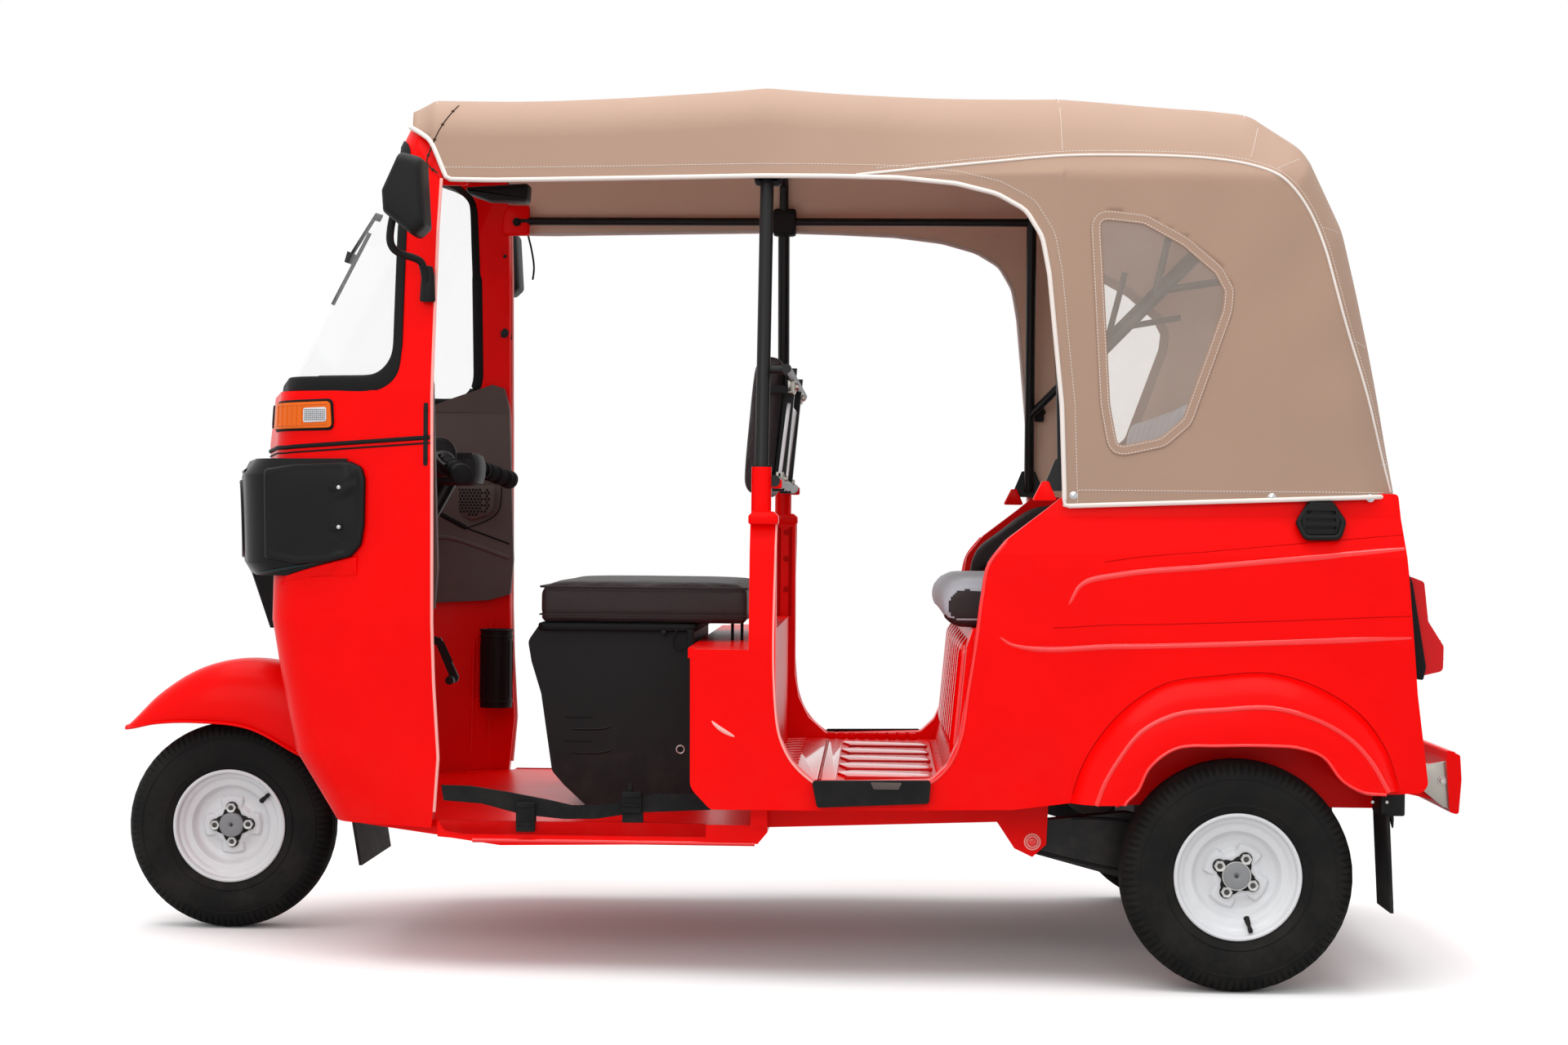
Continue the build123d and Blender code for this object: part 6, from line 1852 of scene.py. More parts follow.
def make_quarter_lines():
    """Pressed creases with a painted shadow line above each, the doorway's lip and a crescent in painted
    highlight, the vent's rims and the step's notch.
    """
    quarter = Skin("left_quarter_panel")
    creases, shadows, lips, rims, plates = Solid(), Solid(), Solid(), Solid(), Solid()
    rear = WHEELBASE
    for knots, rise in (([(-310, 708), (-288, 744), (-221, 762), (-54, 779), (100, 794), (308, 814)], 28),
                        ([(-436, 645), (-414, 632), (-220, 631), (-26, 637), (256, 650), (322, 653)], 40)):
        line = through(np.array(knots, float) + (rear, 0), 90)
        path = quarter.near_side(line, -6.4)
        creases.tube(path, np.interp(np.linspace(0, 1, 90), [0, 0.1, 0.85, 1], [6.6, 8, 8, 6.6]), sides=20)
        # thin deep red line above the crease: painted shadow
        above = resample(line[12:], 70)
        shadows.tube(quarter.near_side(above + (0, rise), -0.5), 1.1, sides=8)
    creases.mirror().finish("quarter_creases", "polished_paint")
    shadows.mirror().finish("quarter_lines", "deep_red")
    rear_edge = through(np.array([(-428, 824), (-460, 781), (-472, 720), (-481, 646),
                                  (-496, 545), (-509, 458), (-531, 408), (-561, 379), (-590, 368)],
                                  float) + (rear, 0), 120)
    edges = Solid().tube(quarter.near_side(rear_edge + (5, -2), -1.6) - (3, 0, 0), 3.6, sides=10)
    edges.mirror().finish("doorway_rear_edges", "polished_paint")
    doorway = np.array([(1150, 866), (1152, 506), (1161, 454), (1184, 409), (1225, 372), (1240, 364)], float)
    front = resample(through(doorway, 60), 90) + (-0.6, 0)
    beside = quarter.near_side(front + (-4, -2), 0.2)[:, 1] + 0.8
    # pale paint along the doorway's lip: a painted highlight
    lips.tube(np.column_stack([front[:, 0], beside, front[:, 1]]), 2.1, sides=8)
    lips.mirror().finish("doorway_lips", "pale_highlight_paint")
    crescent = through([(1022, 499), (1046, 474), (1092, 449)], 40)
    # pale paint on the crescent's hump: a painted highlight
    hump = Solid().tube(quarter.near_side(crescent, -3.2),
                        5.2 * np.sin(np.linspace(0.05, 3.05, 40)), sides=14)
    hump.mirror().finish("quarter_crescent", "pale_highlight_paint")
    vent = np.array([(129, 900), (170, 900), (193, 863), (182, 833), (118, 832), (104, 862)],
                    float) + (rear, 0)
    middle = vent.mean(axis=0)
    ring = rounded(middle + (vent - middle) * 0.94, 12, 6)
    rims.tube(quarter_ring(ring, -598), 5.2, sides=12, closed=True)
    inner = rounded(np.array([(136, 892), (164, 892), (180, 862), (172, 842), (126, 842), (118, 862)], float)
                    + (rear, 0), 9, 6)
    plates.prism(inner, -593, -580, side_view, bevel=3)
    lowest = np.array([(rear + 124, -597, 841), (rear + 174, -597, 842)])
    rims.tube(resample(lowest, 20), 1.6, sides=8)
    rims.mirror().finish("vent_rims", "black_gloss")
    plates.mirror().finish("vent_plates", "black_plastic")
    notch = Solid().prism(rounded([(1328, 377), (1334, 364), (1380, 364), (1386, 377)], 2, 3), -617.4, -612,
                          side_view, bevel=0.8)
    notch.mirror().finish("step_notches", "trim_plastic")


def quarter_ring(outline, y):
    """Side-view outline placed at one depth, leaning with the quarter above its crease."""
    lean = np.where(outline[:, 1] > 800, (outline[:, 1] - 866) * 0.33, 0)
    return np.column_stack([outline[:, 0], y + lean + 4, outline[:, 1]])


def make_hood_fittings():
    """Clamps, straps, feet and the small pouch of the hood's frame."""
    red, black, cord = Solid(), Solid(), Solid()
    for side in (-1, 1):
        foot = rounded([(1622, 898), (1668, 898), (1652, 934), (1640, 934)], 4, 3)
        red.prism(foot, min(side * 548, side * 572), max(side * 548, side * 572), side_view, bevel=2)
        black.block((1096, side * 440 - 14, 1494), (1148, side * 440 + 14, 1556), 8)
        red.block((488, side * 440 - 8, 1492), (548, side * 440 + 8, 1560), 6)
        bolt(black, (520, side * 430, 1522), (0, -side, 0), 11, 6)
    strap = np.array([(1708, 556, 1118), (1716, 572, 1106), (1706, 574, 1092), (1696, 558, 1102)], float)
    black.tube(resample(eased(strap, 2, closed=True), 30), 4.5, sides=8)
    black.block((1690, 546, 1088), (1712, 566, 1124), 4)
    pouch = rounded([(475, 1542), (608, 1551), (605, 1512), (523, 1515), (480, 1530)], 8, 4)
    black.prism(pouch, -30, 30, side_view, bevel=8)
    line = eased([(540, 474, 1496), (548, 470, 1468), (556, 468, 1424), (552, 468, 1396)], 3)
    cord.tube(resample(line, 40), 2.2, sides=8)
    red.finish("hood_frame_feet", "red_paint")
    black.finish("hood_frame_fittings", "black_plastic")
    cord.finish("hood_pull_strap", "rubber")


def make_small_fittings():
    """Threads and rim of the bottle holder, and the pads and arm of the pedal."""
    holder, pedal = Solid(), Solid()
    middle = (480, 455)
    for z, reach in ((604, 36.6), (590, 36.4), (444, 36.4)):
        holder.hoop((*middle, z), reach, 2.2, flat=2, count=48)
    for angle in full_turn(12):
        s, y = middle[0] + 36.2 * math.cos(angle), middle[1] + 36.2 * math.sin(angle)
        holder.tube(np.array([(s, y, 452), (s, y, 520), (s, y, 580)]), 1.3, sides=6)
    holder.finish("bottle_holder_ribs", "black_plastic")
    for y in np.linspace(118, 172, 8):
        pedal.tube(Skin("brake_pedal").lay([(s, y, 700) for s in (392, 410, 430)], (0, 0, -1), 0.6), 1.6,
                   sides=6)
    pedal.finish("pedal_ribs", "rubber")


def make_cabin(settings):
    """The cabin's linings, seat box, back plate, side pads and floors."""
    make_dash()
    make_seat_base()
    make_driver_back_hardware()
    make_side_pads(settings)
    make_passenger_floor()
    make_small_fittings()


def make_sides():
    """The arches, the quarters' lines and the hood frame's fittings."""
    make_arches()
    make_quarter_lines()
    make_hood_fittings()


# ---------------------------------------------------------------- rear and running gear
def make_tail_lamps():
    """Gasket against the body, ribs and edges of each tail lamp."""
    gasket, ribs = Solid(), Solid()
    rear = WHEELBASE
    foot = rounded(np.array([(302, 776), (322, 768), (329, 752), (355, 596), (350, 572), (334, 574)], float)
                   + (rear, 0), [3, 3, 4, 6, 4, 3], 4)
    gasket.prism(foot, -536, -424, side_view, bevel=2)
    gasket.mirror().finish("tail_lamp_gaskets", "rubber")
    lamp = Skin("tail_lamps")
    for side in (-1, 1):
        for z in (612, 645, 690, 725):
            ribs.tube(lamp.from_rear(run((side * 436, z), (side * 524, z), 30), 0.3), 1.6, sides=8)
        for y in (side * 462, side * 496):
            ribs.tube(lamp.from_rear(run((y, 592), (y, 745), 30), 0.2), 1.2, sides=8)
    ribs.finish("tail_lamp_ribs", "red_lens")
    pale = Solid()
    for side in (-1, 1):
        spot = lamp.from_rear([(side * 480, 712)], 0)[0]
        pale.turned([(0.2, 4), (15, 3), (19, 1), (20, -3), (0.2, -3)], spot, (1, 0, 0.25), 28)
    pale.finish("tail_lamp_signals", "amber_lens")


def make_lid_detail():
    """Hooded lips over the louvres, the lid's rim, handle and hinge bolts."""
    lid = Skin("engine_lid")
    hoods, rim, handle = Solid(), Solid(), Solid()
    for row in range(6):
        z = 520 + 40 * row + 15
        for middle in (-165, 165):
            line = run((middle - 112, z), (middle + 112, z), 30)
            hoods.tube(lid.from_rear(line, -1.0), 5.5 * np.sin(np.linspace(0.25, 2.9, 30)) ** 0.4, sides=12)
    hoods.finish("lid_louvre_hoods", "red_paint", "lid")
    edge = rounded([(-308, 474), (308, 474), (308, 806), (-308, 806)], 24, 6)
    rim.tube(lid.from_rear(resample(edge, 220, closed=True), -3.2), 5.5, sides=12, closed=True)
    rim.finish("lid_rim", "polished_paint", "lid")
    spot = lid.from_rear([(0, 492)], 0)[0]
    handle.block((spot[0] - 2, -46, 480), (spot[0] + 5, 46, 504), 3)
    bar = eased([(spot[0] + 2, -38, 492), (spot[0] + 20, -34, 492), (spot[0] + 20, 34, 492),
                 (spot[0] + 2, 38, 492)], 3)
    handle.tube(resample(bar, 40), 4.5, sides=12)
    handle.turned([(0.2, 9), (7, 8), (8, 5), (8, 0), (0.2, 0)], (spot[0] + 3, 70, 492), (1, 0, 0), 20)
    handle.finish("lid_handle", "black_plastic", "lid")
    bolts = Solid()
    for y in (-236, -204, 204, 236):
        bolt(bolts, lid.from_rear([(y, 822)], 0)[0], (1, 0, 0.08), 9, 5)
    bolts.finish("lid_bolts", "zinc", "lid")


def make_rear_panel_detail():
    """Pressed frame round the lid's opening, side swages, a blank number plate and its lamp."""
    wall = Skin("rear_panel")
    lines, plate, lamp, frame_ = Solid(), Solid(), Solid(), Solid()
    for side in (-1, 1):
        for y in (side * 352, side * 410):
            lines.tube(wall.from_rear(run((y, 430), (y, 880), 40), -4.6), 6.2, sides=16)
    for z in (432, 884):
        lines.tube(wall.from_rear(run((-345, z), (345, z), 60), -4.6), 6.2, sides=16)
    lines.finish("rear_panel_swages", "polished_paint")
    rear = WHEELBASE + 352
    outline = rounded([(-150, 316), (150, 316), (150, 416), (-150, 416)], 8, 4)
    plate.prism(outline, rear, rear + 2, front_view, 0.6)
    edge = resample(outline, 80, closed=True)
    frame_.tube(np.column_stack([np.full(80, rear + 1.5), edge]), 2.6, sides=8, closed=True)
    for y in (-100, 100):
        bolt(frame_, (rear + 2, y, 366), (1, 0, 0), 9, 5)
    lamp.turned([(0.2, -26), (11, -26), (13, -22), (13, 22), (11, 26), (0.2, 26)],
                (rear - 8, 0, 436), (0, 1, 0), 18)
    for y in (-215, 215):
        spot = Skin("rear_bumper").from_rear([(y, 372)], 0)[0]
        lamp.turned([(0.2, 6), (20, 5), (24, 2), (24, -3), (0.2, -3)], spot, (1, 0, 0), 28)
    plate.finish("number_plate_blank", "pale_lens")
    frame_.finish("number_plate_frame", "black_gloss")
    lamp.finish("rear_reflectors", "red_lens")


def make_bumper_detail():
    """Flared bright cheeks between body and bumper, with bolts through them."""
    cheeks, bolts = Solid(), Solid()
    rear = WHEELBASE
    outline = np.array([(352, 408), (396, 404), (432, 412), (436, 318), (420, 322), (392, 344), (354, 376)],
                       float)
    outline = rounded(outline + (rear, 0), [3, 10, 3, 3, 8, 10, 3], 5)
    for side in (-1, 1):
        cheeks.prism(outline, side * 386 - 3, side * 386 + 3, side_view, bevel=1.2)
        for s, z in ((rear + 366, 392), (rear + 418, 372)):
            bolt(bolts, (s, side * 389, z), (0, side, 0), 11, 7)
    rail = run((rear + 435, -392, 424), (rear + 435, 392, 424), 60)
    cheeks.finish("bumper_cheeks", "dull_chrome")
    bolts.finish("bumper_bolts", "zinc")
    edge = Solid().tube(rail + (2, 0, 0), 5.0, sides=12)
    edge.finish("bumper_roll", "polished_paint")


def make_springs():
    """Coil springs round the rear dampers and the front leg: a helix of constant pitch with closed ends."""
    coils, seats = Solid(), Solid()
    turn = np.linspace(0, 1, 240)
    for side in (-1, 1):
        angle = turn * 2 * math.pi * 8
        path = np.column_stack([WHEELBASE - 70 + 40 * np.cos(angle), side * 440 + 30 * np.sin(angle),
                                326 + 248 * smoothstep(turn, -0.08, 1.08)])
        coils.tube(path, 5.5, sides=10)
        for z in (318, 582):
            seats.turned([(0.2, -4), (44, -4), (46, 0), (44, 4), (0.2, 4)],
                         (WHEELBASE - 70, side * 440, z), (0, 0, 1))
    coils.finish("rear_springs", "black_gloss")
    seats.finish("rear_spring_seats", "black_plastic")
    front, start, end = Solid(), np.array([44.0, 132, 240]), np.array([172.0, 132, 428])
    way = (end - start) / np.linalg.norm(end - start)
    side = np.cross(way, (0, 1, 0))
    angle = (turn * 2 * math.pi * 9)[:, None]
    path = start + (end - start) * smoothstep(turn, -0.08, 1.08)[:, None]
    front.tube(path + 23 * (np.cos(angle) * side + np.sin(angle) * np.array([0, 1.0, 0])), 4.2, sides=10)
    front.finish("fork_spring", "black_gloss", "steering")


def make_engine_detail():
    """Cooling fins, sump ribs, cover bolts and the muffler's seams and straps."""
    fins, bolts, bands = Solid(), Solid(), Solid()
    low, high = node_limits("engine_block")
    for z in np.arange(low[2] + 150, high[2] - 30, 20):
        outline = rounded([(high[0] - 12, -150), (high[0] + 14, -150), (high[0] + 14, 60),
                           (high[0] - 12, 60)], 8, 4)
        fins.prism(outline, z, z + 4, plan_view, bevel=1)
    cover = rounded([(-180, low[2] + 12), (100, low[2] + 12), (120, low[2] + 60), (110, low[2] + 128),
                     (-170, low[2] + 128)], [30, 30, 20, 24, 24], 6)
    fins.prism(cover, high[0] - 4, high[0] + 18, front_view, bevel=5)
    for y, z in ((-160, 30), (-60, 22), (60, 26), (100, 70), (-150, 112), (-40, 118), (80, 118)):
        bolt(bolts, (high[0] + 18, y, low[2] + z), (1, 0, 0), 10, 6)
    for y in np.linspace(-180, 180, 10):
        fins.block((low[0] + 30, y - 3, low[2] - 9), (high[0] - 30, y + 3, low[2] + 4), 2)
    for s, y in ((low[0] + 60, -150), (low[0] + 60, 150), (high[0] - 60, -150), (high[0] - 60, 150)):
        bolt(bolts, (s, y, low[2]), (0, 0, -1), 14, 9)
    for y in (-192, -150, 150, 192):
        bands.hoop((low[0] - 82, y, 340), 61, 3.0, count=48)
    bands.turned([(12, -18), (19, -18), (20.5, -15), (20.5, 15), (19, 18), (12, 18)],
                 (WHEELBASE + 300, 330, 262), (1, 0, 0), 28)
    fins.finish("engine_fins", "cast_metal")
    bolts.finish("engine_bolts", "zinc")
    bands.finish("muffler_bands", "cast_metal")


def make_underside_detail():
    """Ringed pivot bolts, sill bolts, arm seams and the flap's brackets."""
    rings, bolts, flaps, ribs, dark = Solid(), Solid(), Solid(), Solid(), Solid()
    pivot = (WHEELBASE - 366, 255)
    spot = Skin("side_members").near_side([(pivot[0], pivot[1] + 4)], 0)[0]
    for reach in (14.5, 10.0):
        rings.hoop((pivot[0], spot[1] - 1, pivot[1]), reach, 1.5)
    bolt(bolts, (pivot[0], spot[1], pivot[1]), (0, -1, 0), 15, 6)
    # pale rings round the pivot bolt: painted highlight
    rings.mirror().finish("pivot_rings", "pale_highlight_paint")
    for s in (1180, 1260, 1440, 1560):
        dark.turned([(0.2, 1.2), (5, 1), (5.5, -1), (0.2, -1)],
                    Skin("side_members").near_side([(s, 318)], 0)[0], (0, -1, 0), 16)
    bolts.mirror().finish("pivot_bolts", "polished_paint")
    dark.mirror().finish("sill_plugs", "deep_red")
    rear = WHEELBASE
    flaps.block((rear + 262, -600, 326), (rear + 306, -512, 372), 4)
    pick = [(rear + 286, -556, 330), (rear + 290, -556, 316), (rear + 292, -556, 300)]
    flaps.tube(resample(pick, 12), np.linspace(7, 1.5, 12), sides=10)
    flaps.mirror().finish("flap_brackets", "black_plastic")
    flap = Skin("mud_flaps")
    for y in np.linspace(-632, -540, 9):
        ribs.tube(flap.from_rear(run((y, 168), (y, 318), 24), -0.4), 2.2, sides=8)
    ribs.mirror().finish("flap_ribs", "rubber")
    heads = Solid()
    for s, z in ((rear + 246, 352), (rear + 272, 352)):
        bolt(heads, (s, -600, z), (0, -1, 0), 6, 4, washer=False)
    arm = Skin("trailing_arms")
    for knots in ([(-350, 292), (-260, 296), (-180, 288), (-90, 262)],
                  [(-350, 240), (-250, 218), (-180, 205)]):
        line = through(np.array(knots, float) + (rear, 0), 50)
        dark_line = arm.near_side(line, -1.2)
        heads.tube(dark_line, 0.4, sides=6)
    heads.mirror().finish("arch_bolts", "zinc")
    seams = Solid()
    for knots in ([(-360, 296), (-260, 300), (-180, 294), (-110, 276)],
                  [(-360, 236), (-250, 212), (-180, 199)]):
        line = through(np.array(knots, float) + (rear, 0), 50)
        seams.tube(arm.near_side(line, -1.0), 3.2, sides=10)
    seams.mirror().finish("arm_seams", "black_gloss")


def make_rear():
    """Everything behind the bench and below the body."""
    make_tail_lamps()
    make_lid_detail()
    make_rear_panel_detail()
    make_bumper_detail()
    make_springs()
    make_engine_detail()
    make_underside_detail()


# ---------------------------------------------------------------- finishes of the frame's own pieces
def dress_nodes(paint):
    """Gives every CAD node the finish of its slot."""
    groups = build_groups()
    chosen = {"red_paint": paint.body_colour, "hood_vinyl": paint.hood_colour,
              "silver_leather": paint.cushion_colour, "wheel_paint": paint.rim_colour}
    for name in FINISHES:
        build_finish(name, groups, chosen.get(name))
    for name in CLEAR_FINISHES:
        build_clear(name, groups)
    for row in frame["record"]["subparts"]:
        node = NODES[row["node"]]
        if not node.data.materials:
            node.data.materials.append(None)
        for slot in node.material_slots:
            slot.material = material(row["material_slot"])


# ---------------------------------------------------------------- stage
# PAINTED_CYAN_TINT: cyan colour painted on the floor under the vehicle to cancel the red bounce light in its
# shadow: painted light
WHITE, OPEN_FLOOR, PAINTED_CYAN_TINT = (1, 1, 1, 1), (0.97, 0.97, 0.97, 1), (0.76, 0.99, 0.99, 1)
FLOOR_HALF = 30                           # metres from the middle to the floor's edge
FLOOR_OVAL = (1 / 2.3, 1 / 1.9, 1)        # one over the oval's half axes, in metres


def make_floor(stage):
    """Wide floor that takes the shadow near the vehicle and fades to the backdrop's white further out; under the
    vehicle its colour is tinted cyan so that the red bounce in the shadow reads grey, a painted correction of
    light.
    """
    verts = [(u * FLOOR_HALF, v * FLOOR_HALF, 0) for u, v in ((-1, -1), (1, -1), (1, 1), (-1, 1))]
    tree_material, tree, shader, space = blank_material("studio_floor")
    floor = add_mesh("studio_floor", verts, [(0, 1, 2, 3)], tree_material, smooth=False)
    path = tree.nodes.new("ShaderNodeLightPath").outputs
    tone = stage.floor_tone
    oval = wire(tree, "ShaderNodeMapping", None, Vector=space, Scale=FLOOR_OVAL, Location=(-0.02, 0.0, 0))
    reach = wire(tree, "ShaderNodeVectorMath", {"operation": "LENGTH"},
                 _0=oval.outputs["Vector"]).outputs["Value"]
    # share of the painted cyan tint, highest under the vehicle
    under = span(tree, reach, "SMOOTHSTEP", From_Min=0.10, From_Max=0.44)
    seen = blend(tree, path["Is Camera Ray"], (tone, tone, tone, 1),
                 blend(tree, under, PAINTED_CYAN_TINT, OPEN_FLOOR))
    feed(tree, shader, Base_Color=seen, Roughness=0.9, Specular_IOR_Level=0.0)
    fade = span(tree, reach, "SMOOTHSTEP", From_Min=0.62, From_Max=1.1)
    shown = calc(tree, "MAXIMUM", path["Is Camera Ray"], path["Is Glossy Ray"])
    light = wire(tree, "ShaderNodeEmission", None, Color=WHITE, Strength=1.0)
    mixed = wire(tree, "ShaderNodeMixShader", None, _0=calc(tree, "MULTIPLY", fade, shown),
                 _1=shader.outputs[0], _2=light.outputs[0])
    feed(tree, tree.nodes["Material Output"], Surface=mixed.outputs[0])
    return floor


def make_backdrop(stage):
    """World that lights softly and shows as white to the camera, in gloss and through glass."""
    world = bpy.data.worlds.new("studio_backdrop")
    bpy.context.scene.world = world
    world.use_nodes = True
    tree = world.node_tree
    path = tree.nodes.new("ShaderNodeLightPath").outputs
    shown = calc(tree, "MAXIMUM", calc(tree, "MAXIMUM", path["Is Camera Ray"], path["Is Glossy Ray"]),
                 path["Is Transmission Ray"])
    strength = wire(tree, "ShaderNodeMix", {"data_type": "FLOAT"}, _0=shown, _2=stage.backdrop_light, _3=1.0)
    feed(tree, tree.nodes["Background"], Color=WHITE, Strength=strength.outputs[0])


def make_lamp(name, spot, target, size, power):
    """Soft rectangular lamp at a spot, facing a target."""
    data = bpy.data.lights.new(name, "AREA")
    data.shape = "RECTANGLE"
    data.size, data.size_y = size
    data.energy = power
    lamp = bpy.data.objects.new(name, data)
    bpy.context.scene.collection.objects.link(lamp)
    lamp.location = spot
    lamp.rotation_euler = (Vector(target) - Vector(spot)).to_track_quat("-Z", "Y").to_euler()


CAMERA_SPOT = (0.2221, -5.4318, 0.8528)
CAMERA_YAW, CAMERA_ROLL = math.radians(2.0524), math.radians(0.5593)


def make_camera(stage):
    """Camera of a plain side view, turned a little towards the nose."""
    data = bpy.data.cameras.new("camera")
    data.lens = stage.lens
    data.sensor_width = 36.0
    camera = bpy.data.objects.new("camera", data)
    bpy.context.scene.collection.objects.link(camera)
    level = Matrix.Rotation(math.pi / 2, 4, "X")
    turn = Matrix.Rotation(CAMERA_YAW, 4, "Z") @ level @ Matrix.Rotation(CAMERA_ROLL, 4, "Z")
    camera.matrix_world = Matrix.Translation(CAMERA_SPOT) @ turn
    bpy.context.scene.camera = camera


def make_stage(stage):
    """Camera, floor, backdrop and two lamps."""
    make_camera(stage)
    make_floor(stage)
    make_backdrop(stage)
    make_lamp("overhead_panel", (0.0, -0.4, 5.2), (0, 0, 0.4), (6.5, 6.0), stage.overhead_power)
    make_lamp("side_panel", (-1.2, -6.4, 3.0), (0, 0, 0.8), (6.0, 2.6), stage.side_power)
    bpy.context.scene.view_settings.view_transform = "Standard"


# ---------------------------------------------------------------- settings
def main_colour(finish, name, text):
    """Colour setting whose default is a finish's own colour."""
    return FloatVectorProperty(name=name, description=text, subtype="COLOR", size=3, min=0, max=1,
                               default=FINISHES[finish].colour)


class PaintSettings(bpy.types.PropertyGroup):
    """Colours of the vehicle"""

    body_colour: main_colour("red_paint", "Body colour", "Main colour of the painted panels")
    hood_colour: main_colour("hood_vinyl", "Hood colour", "Main colour of the hood's vinyl")
    cushion_colour: main_colour("silver_leather", "Cushion colour",
                                "Main colour of the passenger cushion's top")
    rim_colour: main_colour("wheel_paint", "Rim colour", "Main colour of the wheel discs")


class HoodSettings(bpy.types.PropertyGroup):
    """Sizes of the hood"""

    cloth: FloatProperty(name="Cloth thickness", description="Thickness of the coated canvas", unit="LENGTH",
                         default=0.0022, min=0.001, max=0.004)
    slack: FloatProperty(name="Slack", description="How deep the cloth's creases are, as a share",
                         default=1.0, min=0.0, max=1.5, subtype="FACTOR")
    cord: FloatProperty(name="Edge cord",
                        description="Radius of the cord along the hood's edge", unit="LENGTH", default=0.0046,
                        min=0.002, max=0.007)


class WheelSettings(bpy.types.PropertyGroup):
    """Detail of the wheels"""

    notches: IntProperty(name="Shoulder notches",
                         description="Notches round each shoulder of a tyre", default=96, min=24, max=120)


class SeatSettings(bpy.types.PropertyGroup):
    """How full the cushions are"""

    pressure: FloatProperty(name="Pressure",
                            description="Inner pressure of the cloth simulation", default=4.0,
                            min=0.5, max=8.0)
    cap: FloatProperty(name="Swelling", description="Furthest that a point of a cushion may move",
                       unit="LENGTH", default=0.010, min=0.002, max=0.03)


class StageSettings(bpy.types.PropertyGroup):
    """Light, floor and camera"""

    floor_tone: FloatProperty(name="Floor tone", description="How pale the floor is for bounced light",
                              default=0.50, min=0.2, max=0.95, subtype="FACTOR")
    backdrop_light: FloatProperty(name="Backdrop light", description="Strength of the soft light all round",
                                  default=0.90, min=0.0, max=2.0)
    overhead_power: FloatProperty(name="Overhead power", description="Power of the panel above", unit="POWER",
                                  default=300.0, min=0.0, max=2000.0)
    side_power: FloatProperty(name="Side power",
                              description="Power of the panel beside the camera", unit="POWER", default=90.0,
                              min=0.0, max=2000.0)
    lens: FloatProperty(name="Lens", description="Focal length of the camera in millimetres", default=60.18,
                        min=20.0, max=200.0)


# ---------------------------------------------------------------- steps
class RICKSHAW_OT_finishes(bpy.types.Operator):
    """Builds the finishes and puts them on the frame's pieces"""

    bl_idname = "rickshaw.finishes"
    bl_label = "Finishes"

    def execute(self, context):
        dress_nodes(context.scene.rickshaw_paint)
        return {"FINISHED"}


class RICKSHAW_OT_hood(bpy.types.Operator):
    """Makes the hood's cloth, its windows, piping, stitches and press studs"""

    bl_idname = "rickshaw.hood"
    bl_label = "Hood"

    def execute(self, context):
        make_hood(context.scene.rickshaw_hood)
        return {"FINISHED"}


class RICKSHAW_OT_wheels(bpy.types.Operator):
    """Makes the tyres, pressed discs, hubs, valves and drums"""

    bl_idname = "rickshaw.wheels"
    bl_label = "Wheels"

    def execute(self, context):
        make_wheels(context.scene.rickshaw_wheels)
        return {"FINISHED"}


class RICKSHAW_OT_seats(bpy.types.Operator):
    """Makes the swollen cushions and back pads of both benches"""

    bl_idname = "rickshaw.seats"
    bl_label = "Seats"

    def execute(self, context):
        make_seats(context.scene.rickshaw_seats)
        return {"FINISHED"}


class RICKSHAW_OT_front(bpy.types.Operator):
    """Makes the fender, the mask's and lamps' detail, the cowl's lines, the mirrors and the handlebar"""

    bl_idname = "rickshaw.front"
    bl_label = "Front"

    def execute(self, context):
        make_front()
        return {"FINISHED"}


class RICKSHAW_OT_cabin(bpy.types.Operator):
    """Makes the dash's speakers, the seat box's fittings, the side pads and the floor's pressings"""

    bl_idname = "rickshaw.cabin"
    bl_label = "Cabin"

    def execute(self, context):
        make_cabin(context.scene.rickshaw_seats)
        return {"FINISHED"}


class RICKSHAW_OT_sides(bpy.types.Operator):
    """Makes the arches, the quarters' creases, lips and vents, and the hood frame's fittings"""

    bl_idname = "rickshaw.sides"
    bl_label = "Sides"

    def execute(self, context):
        make_sides()
        return {"FINISHED"}


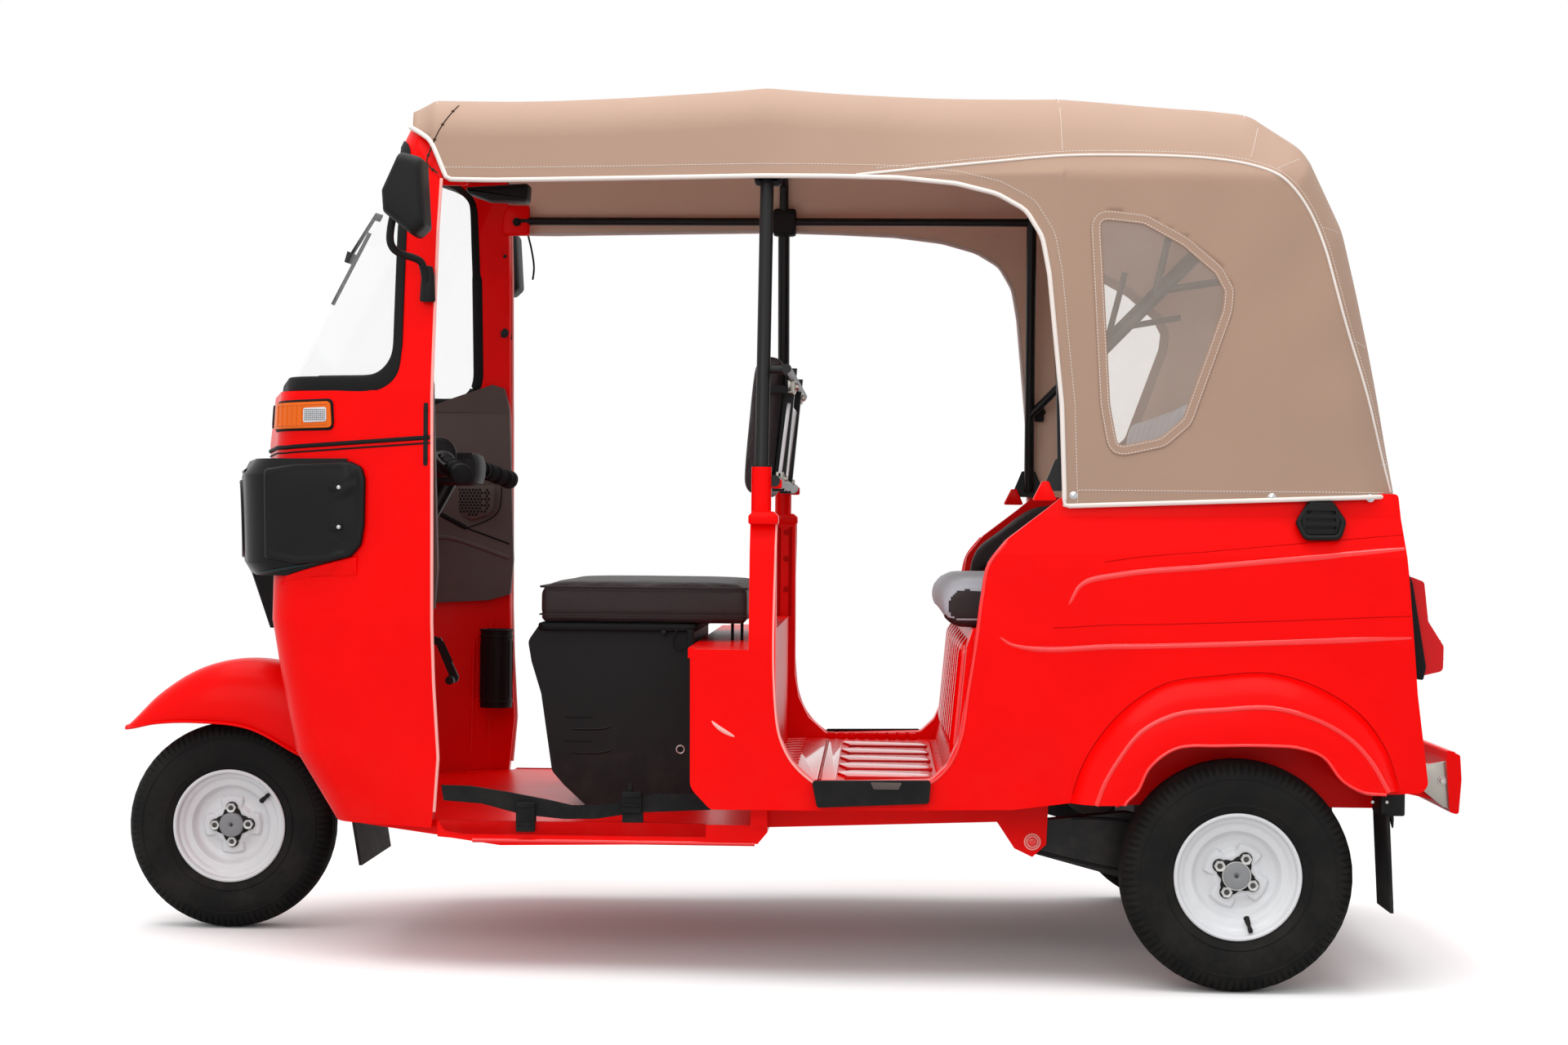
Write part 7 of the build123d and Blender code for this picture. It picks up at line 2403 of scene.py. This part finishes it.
class RICKSHAW_OT_rear(bpy.types.Operator):
    """Makes the tail lamps' gaskets, the lid's louvres, the bumper's cheeks and the running gear's detail"""

    bl_idname = "rickshaw.rear"
    bl_label = "Rear"

    def execute(self, context):
        make_rear()
        return {"FINISHED"}


class RICKSHAW_OT_stage(bpy.types.Operator):
    """Sets the floor, the backdrop, the lamps and the camera"""

    bl_idname = "rickshaw.stage"
    bl_label = "Stage"

    def execute(self, context):
        make_stage(context.scene.rickshaw_stage)
        return {"FINISHED"}


STEPS = (
    RICKSHAW_OT_finishes, RICKSHAW_OT_hood, RICKSHAW_OT_wheels, RICKSHAW_OT_seats,
    RICKSHAW_OT_front, RICKSHAW_OT_cabin, RICKSHAW_OT_sides, RICKSHAW_OT_rear, RICKSHAW_OT_stage,
)
SETTINGS = {
    "rickshaw_paint": PaintSettings, "rickshaw_hood": HoodSettings, "rickshaw_wheels": WheelSettings,
    "rickshaw_seats": SeatSettings, "rickshaw_stage": StageSettings,
}


class RICKSHAW_PT_dresser(bpy.types.Panel):
    """Lists the steps and their settings"""

    bl_idname = "RICKSHAW_PT_dresser"
    bl_label = "Auto Rickshaw"
    bl_space_type = "VIEW_3D"
    bl_region_type = "UI"
    bl_category = "Rickshaw"

    def draw(self, context):
        for label, group in SETTINGS.items():
            box = self.layout.box()
            box.label(text=group.__doc__)
            for key in group.__annotations__:
                box.prop(getattr(context.scene, label), key)
        for step in STEPS:
            self.layout.operator(step.bl_idname)


def register():
    """Makes the settings, steps and panel known."""
    for group in SETTINGS.values():
        bpy.utils.register_class(group)
    for label, group in SETTINGS.items():
        setattr(bpy.types.Scene, label, PointerProperty(type=group))
    for step in (*STEPS, RICKSHAW_PT_dresser):
        bpy.utils.register_class(step)


def unregister():
    """Takes the panel, steps and settings away again."""
    for step in (RICKSHAW_PT_dresser, *STEPS[::-1]):
        bpy.utils.unregister_class(step)
    for label in SETTINGS:
        delattr(bpy.types.Scene, label)
    for group in SETTINGS.values():
        bpy.utils.unregister_class(group)


def main():
    """Makes the settings, steps and panel known and runs every step in order."""
    register()
    for step in STEPS:
        module, name = step.bl_idname.split(".")
        getattr(getattr(bpy.ops, module), name)()


if __name__ == "__main__":
    main()
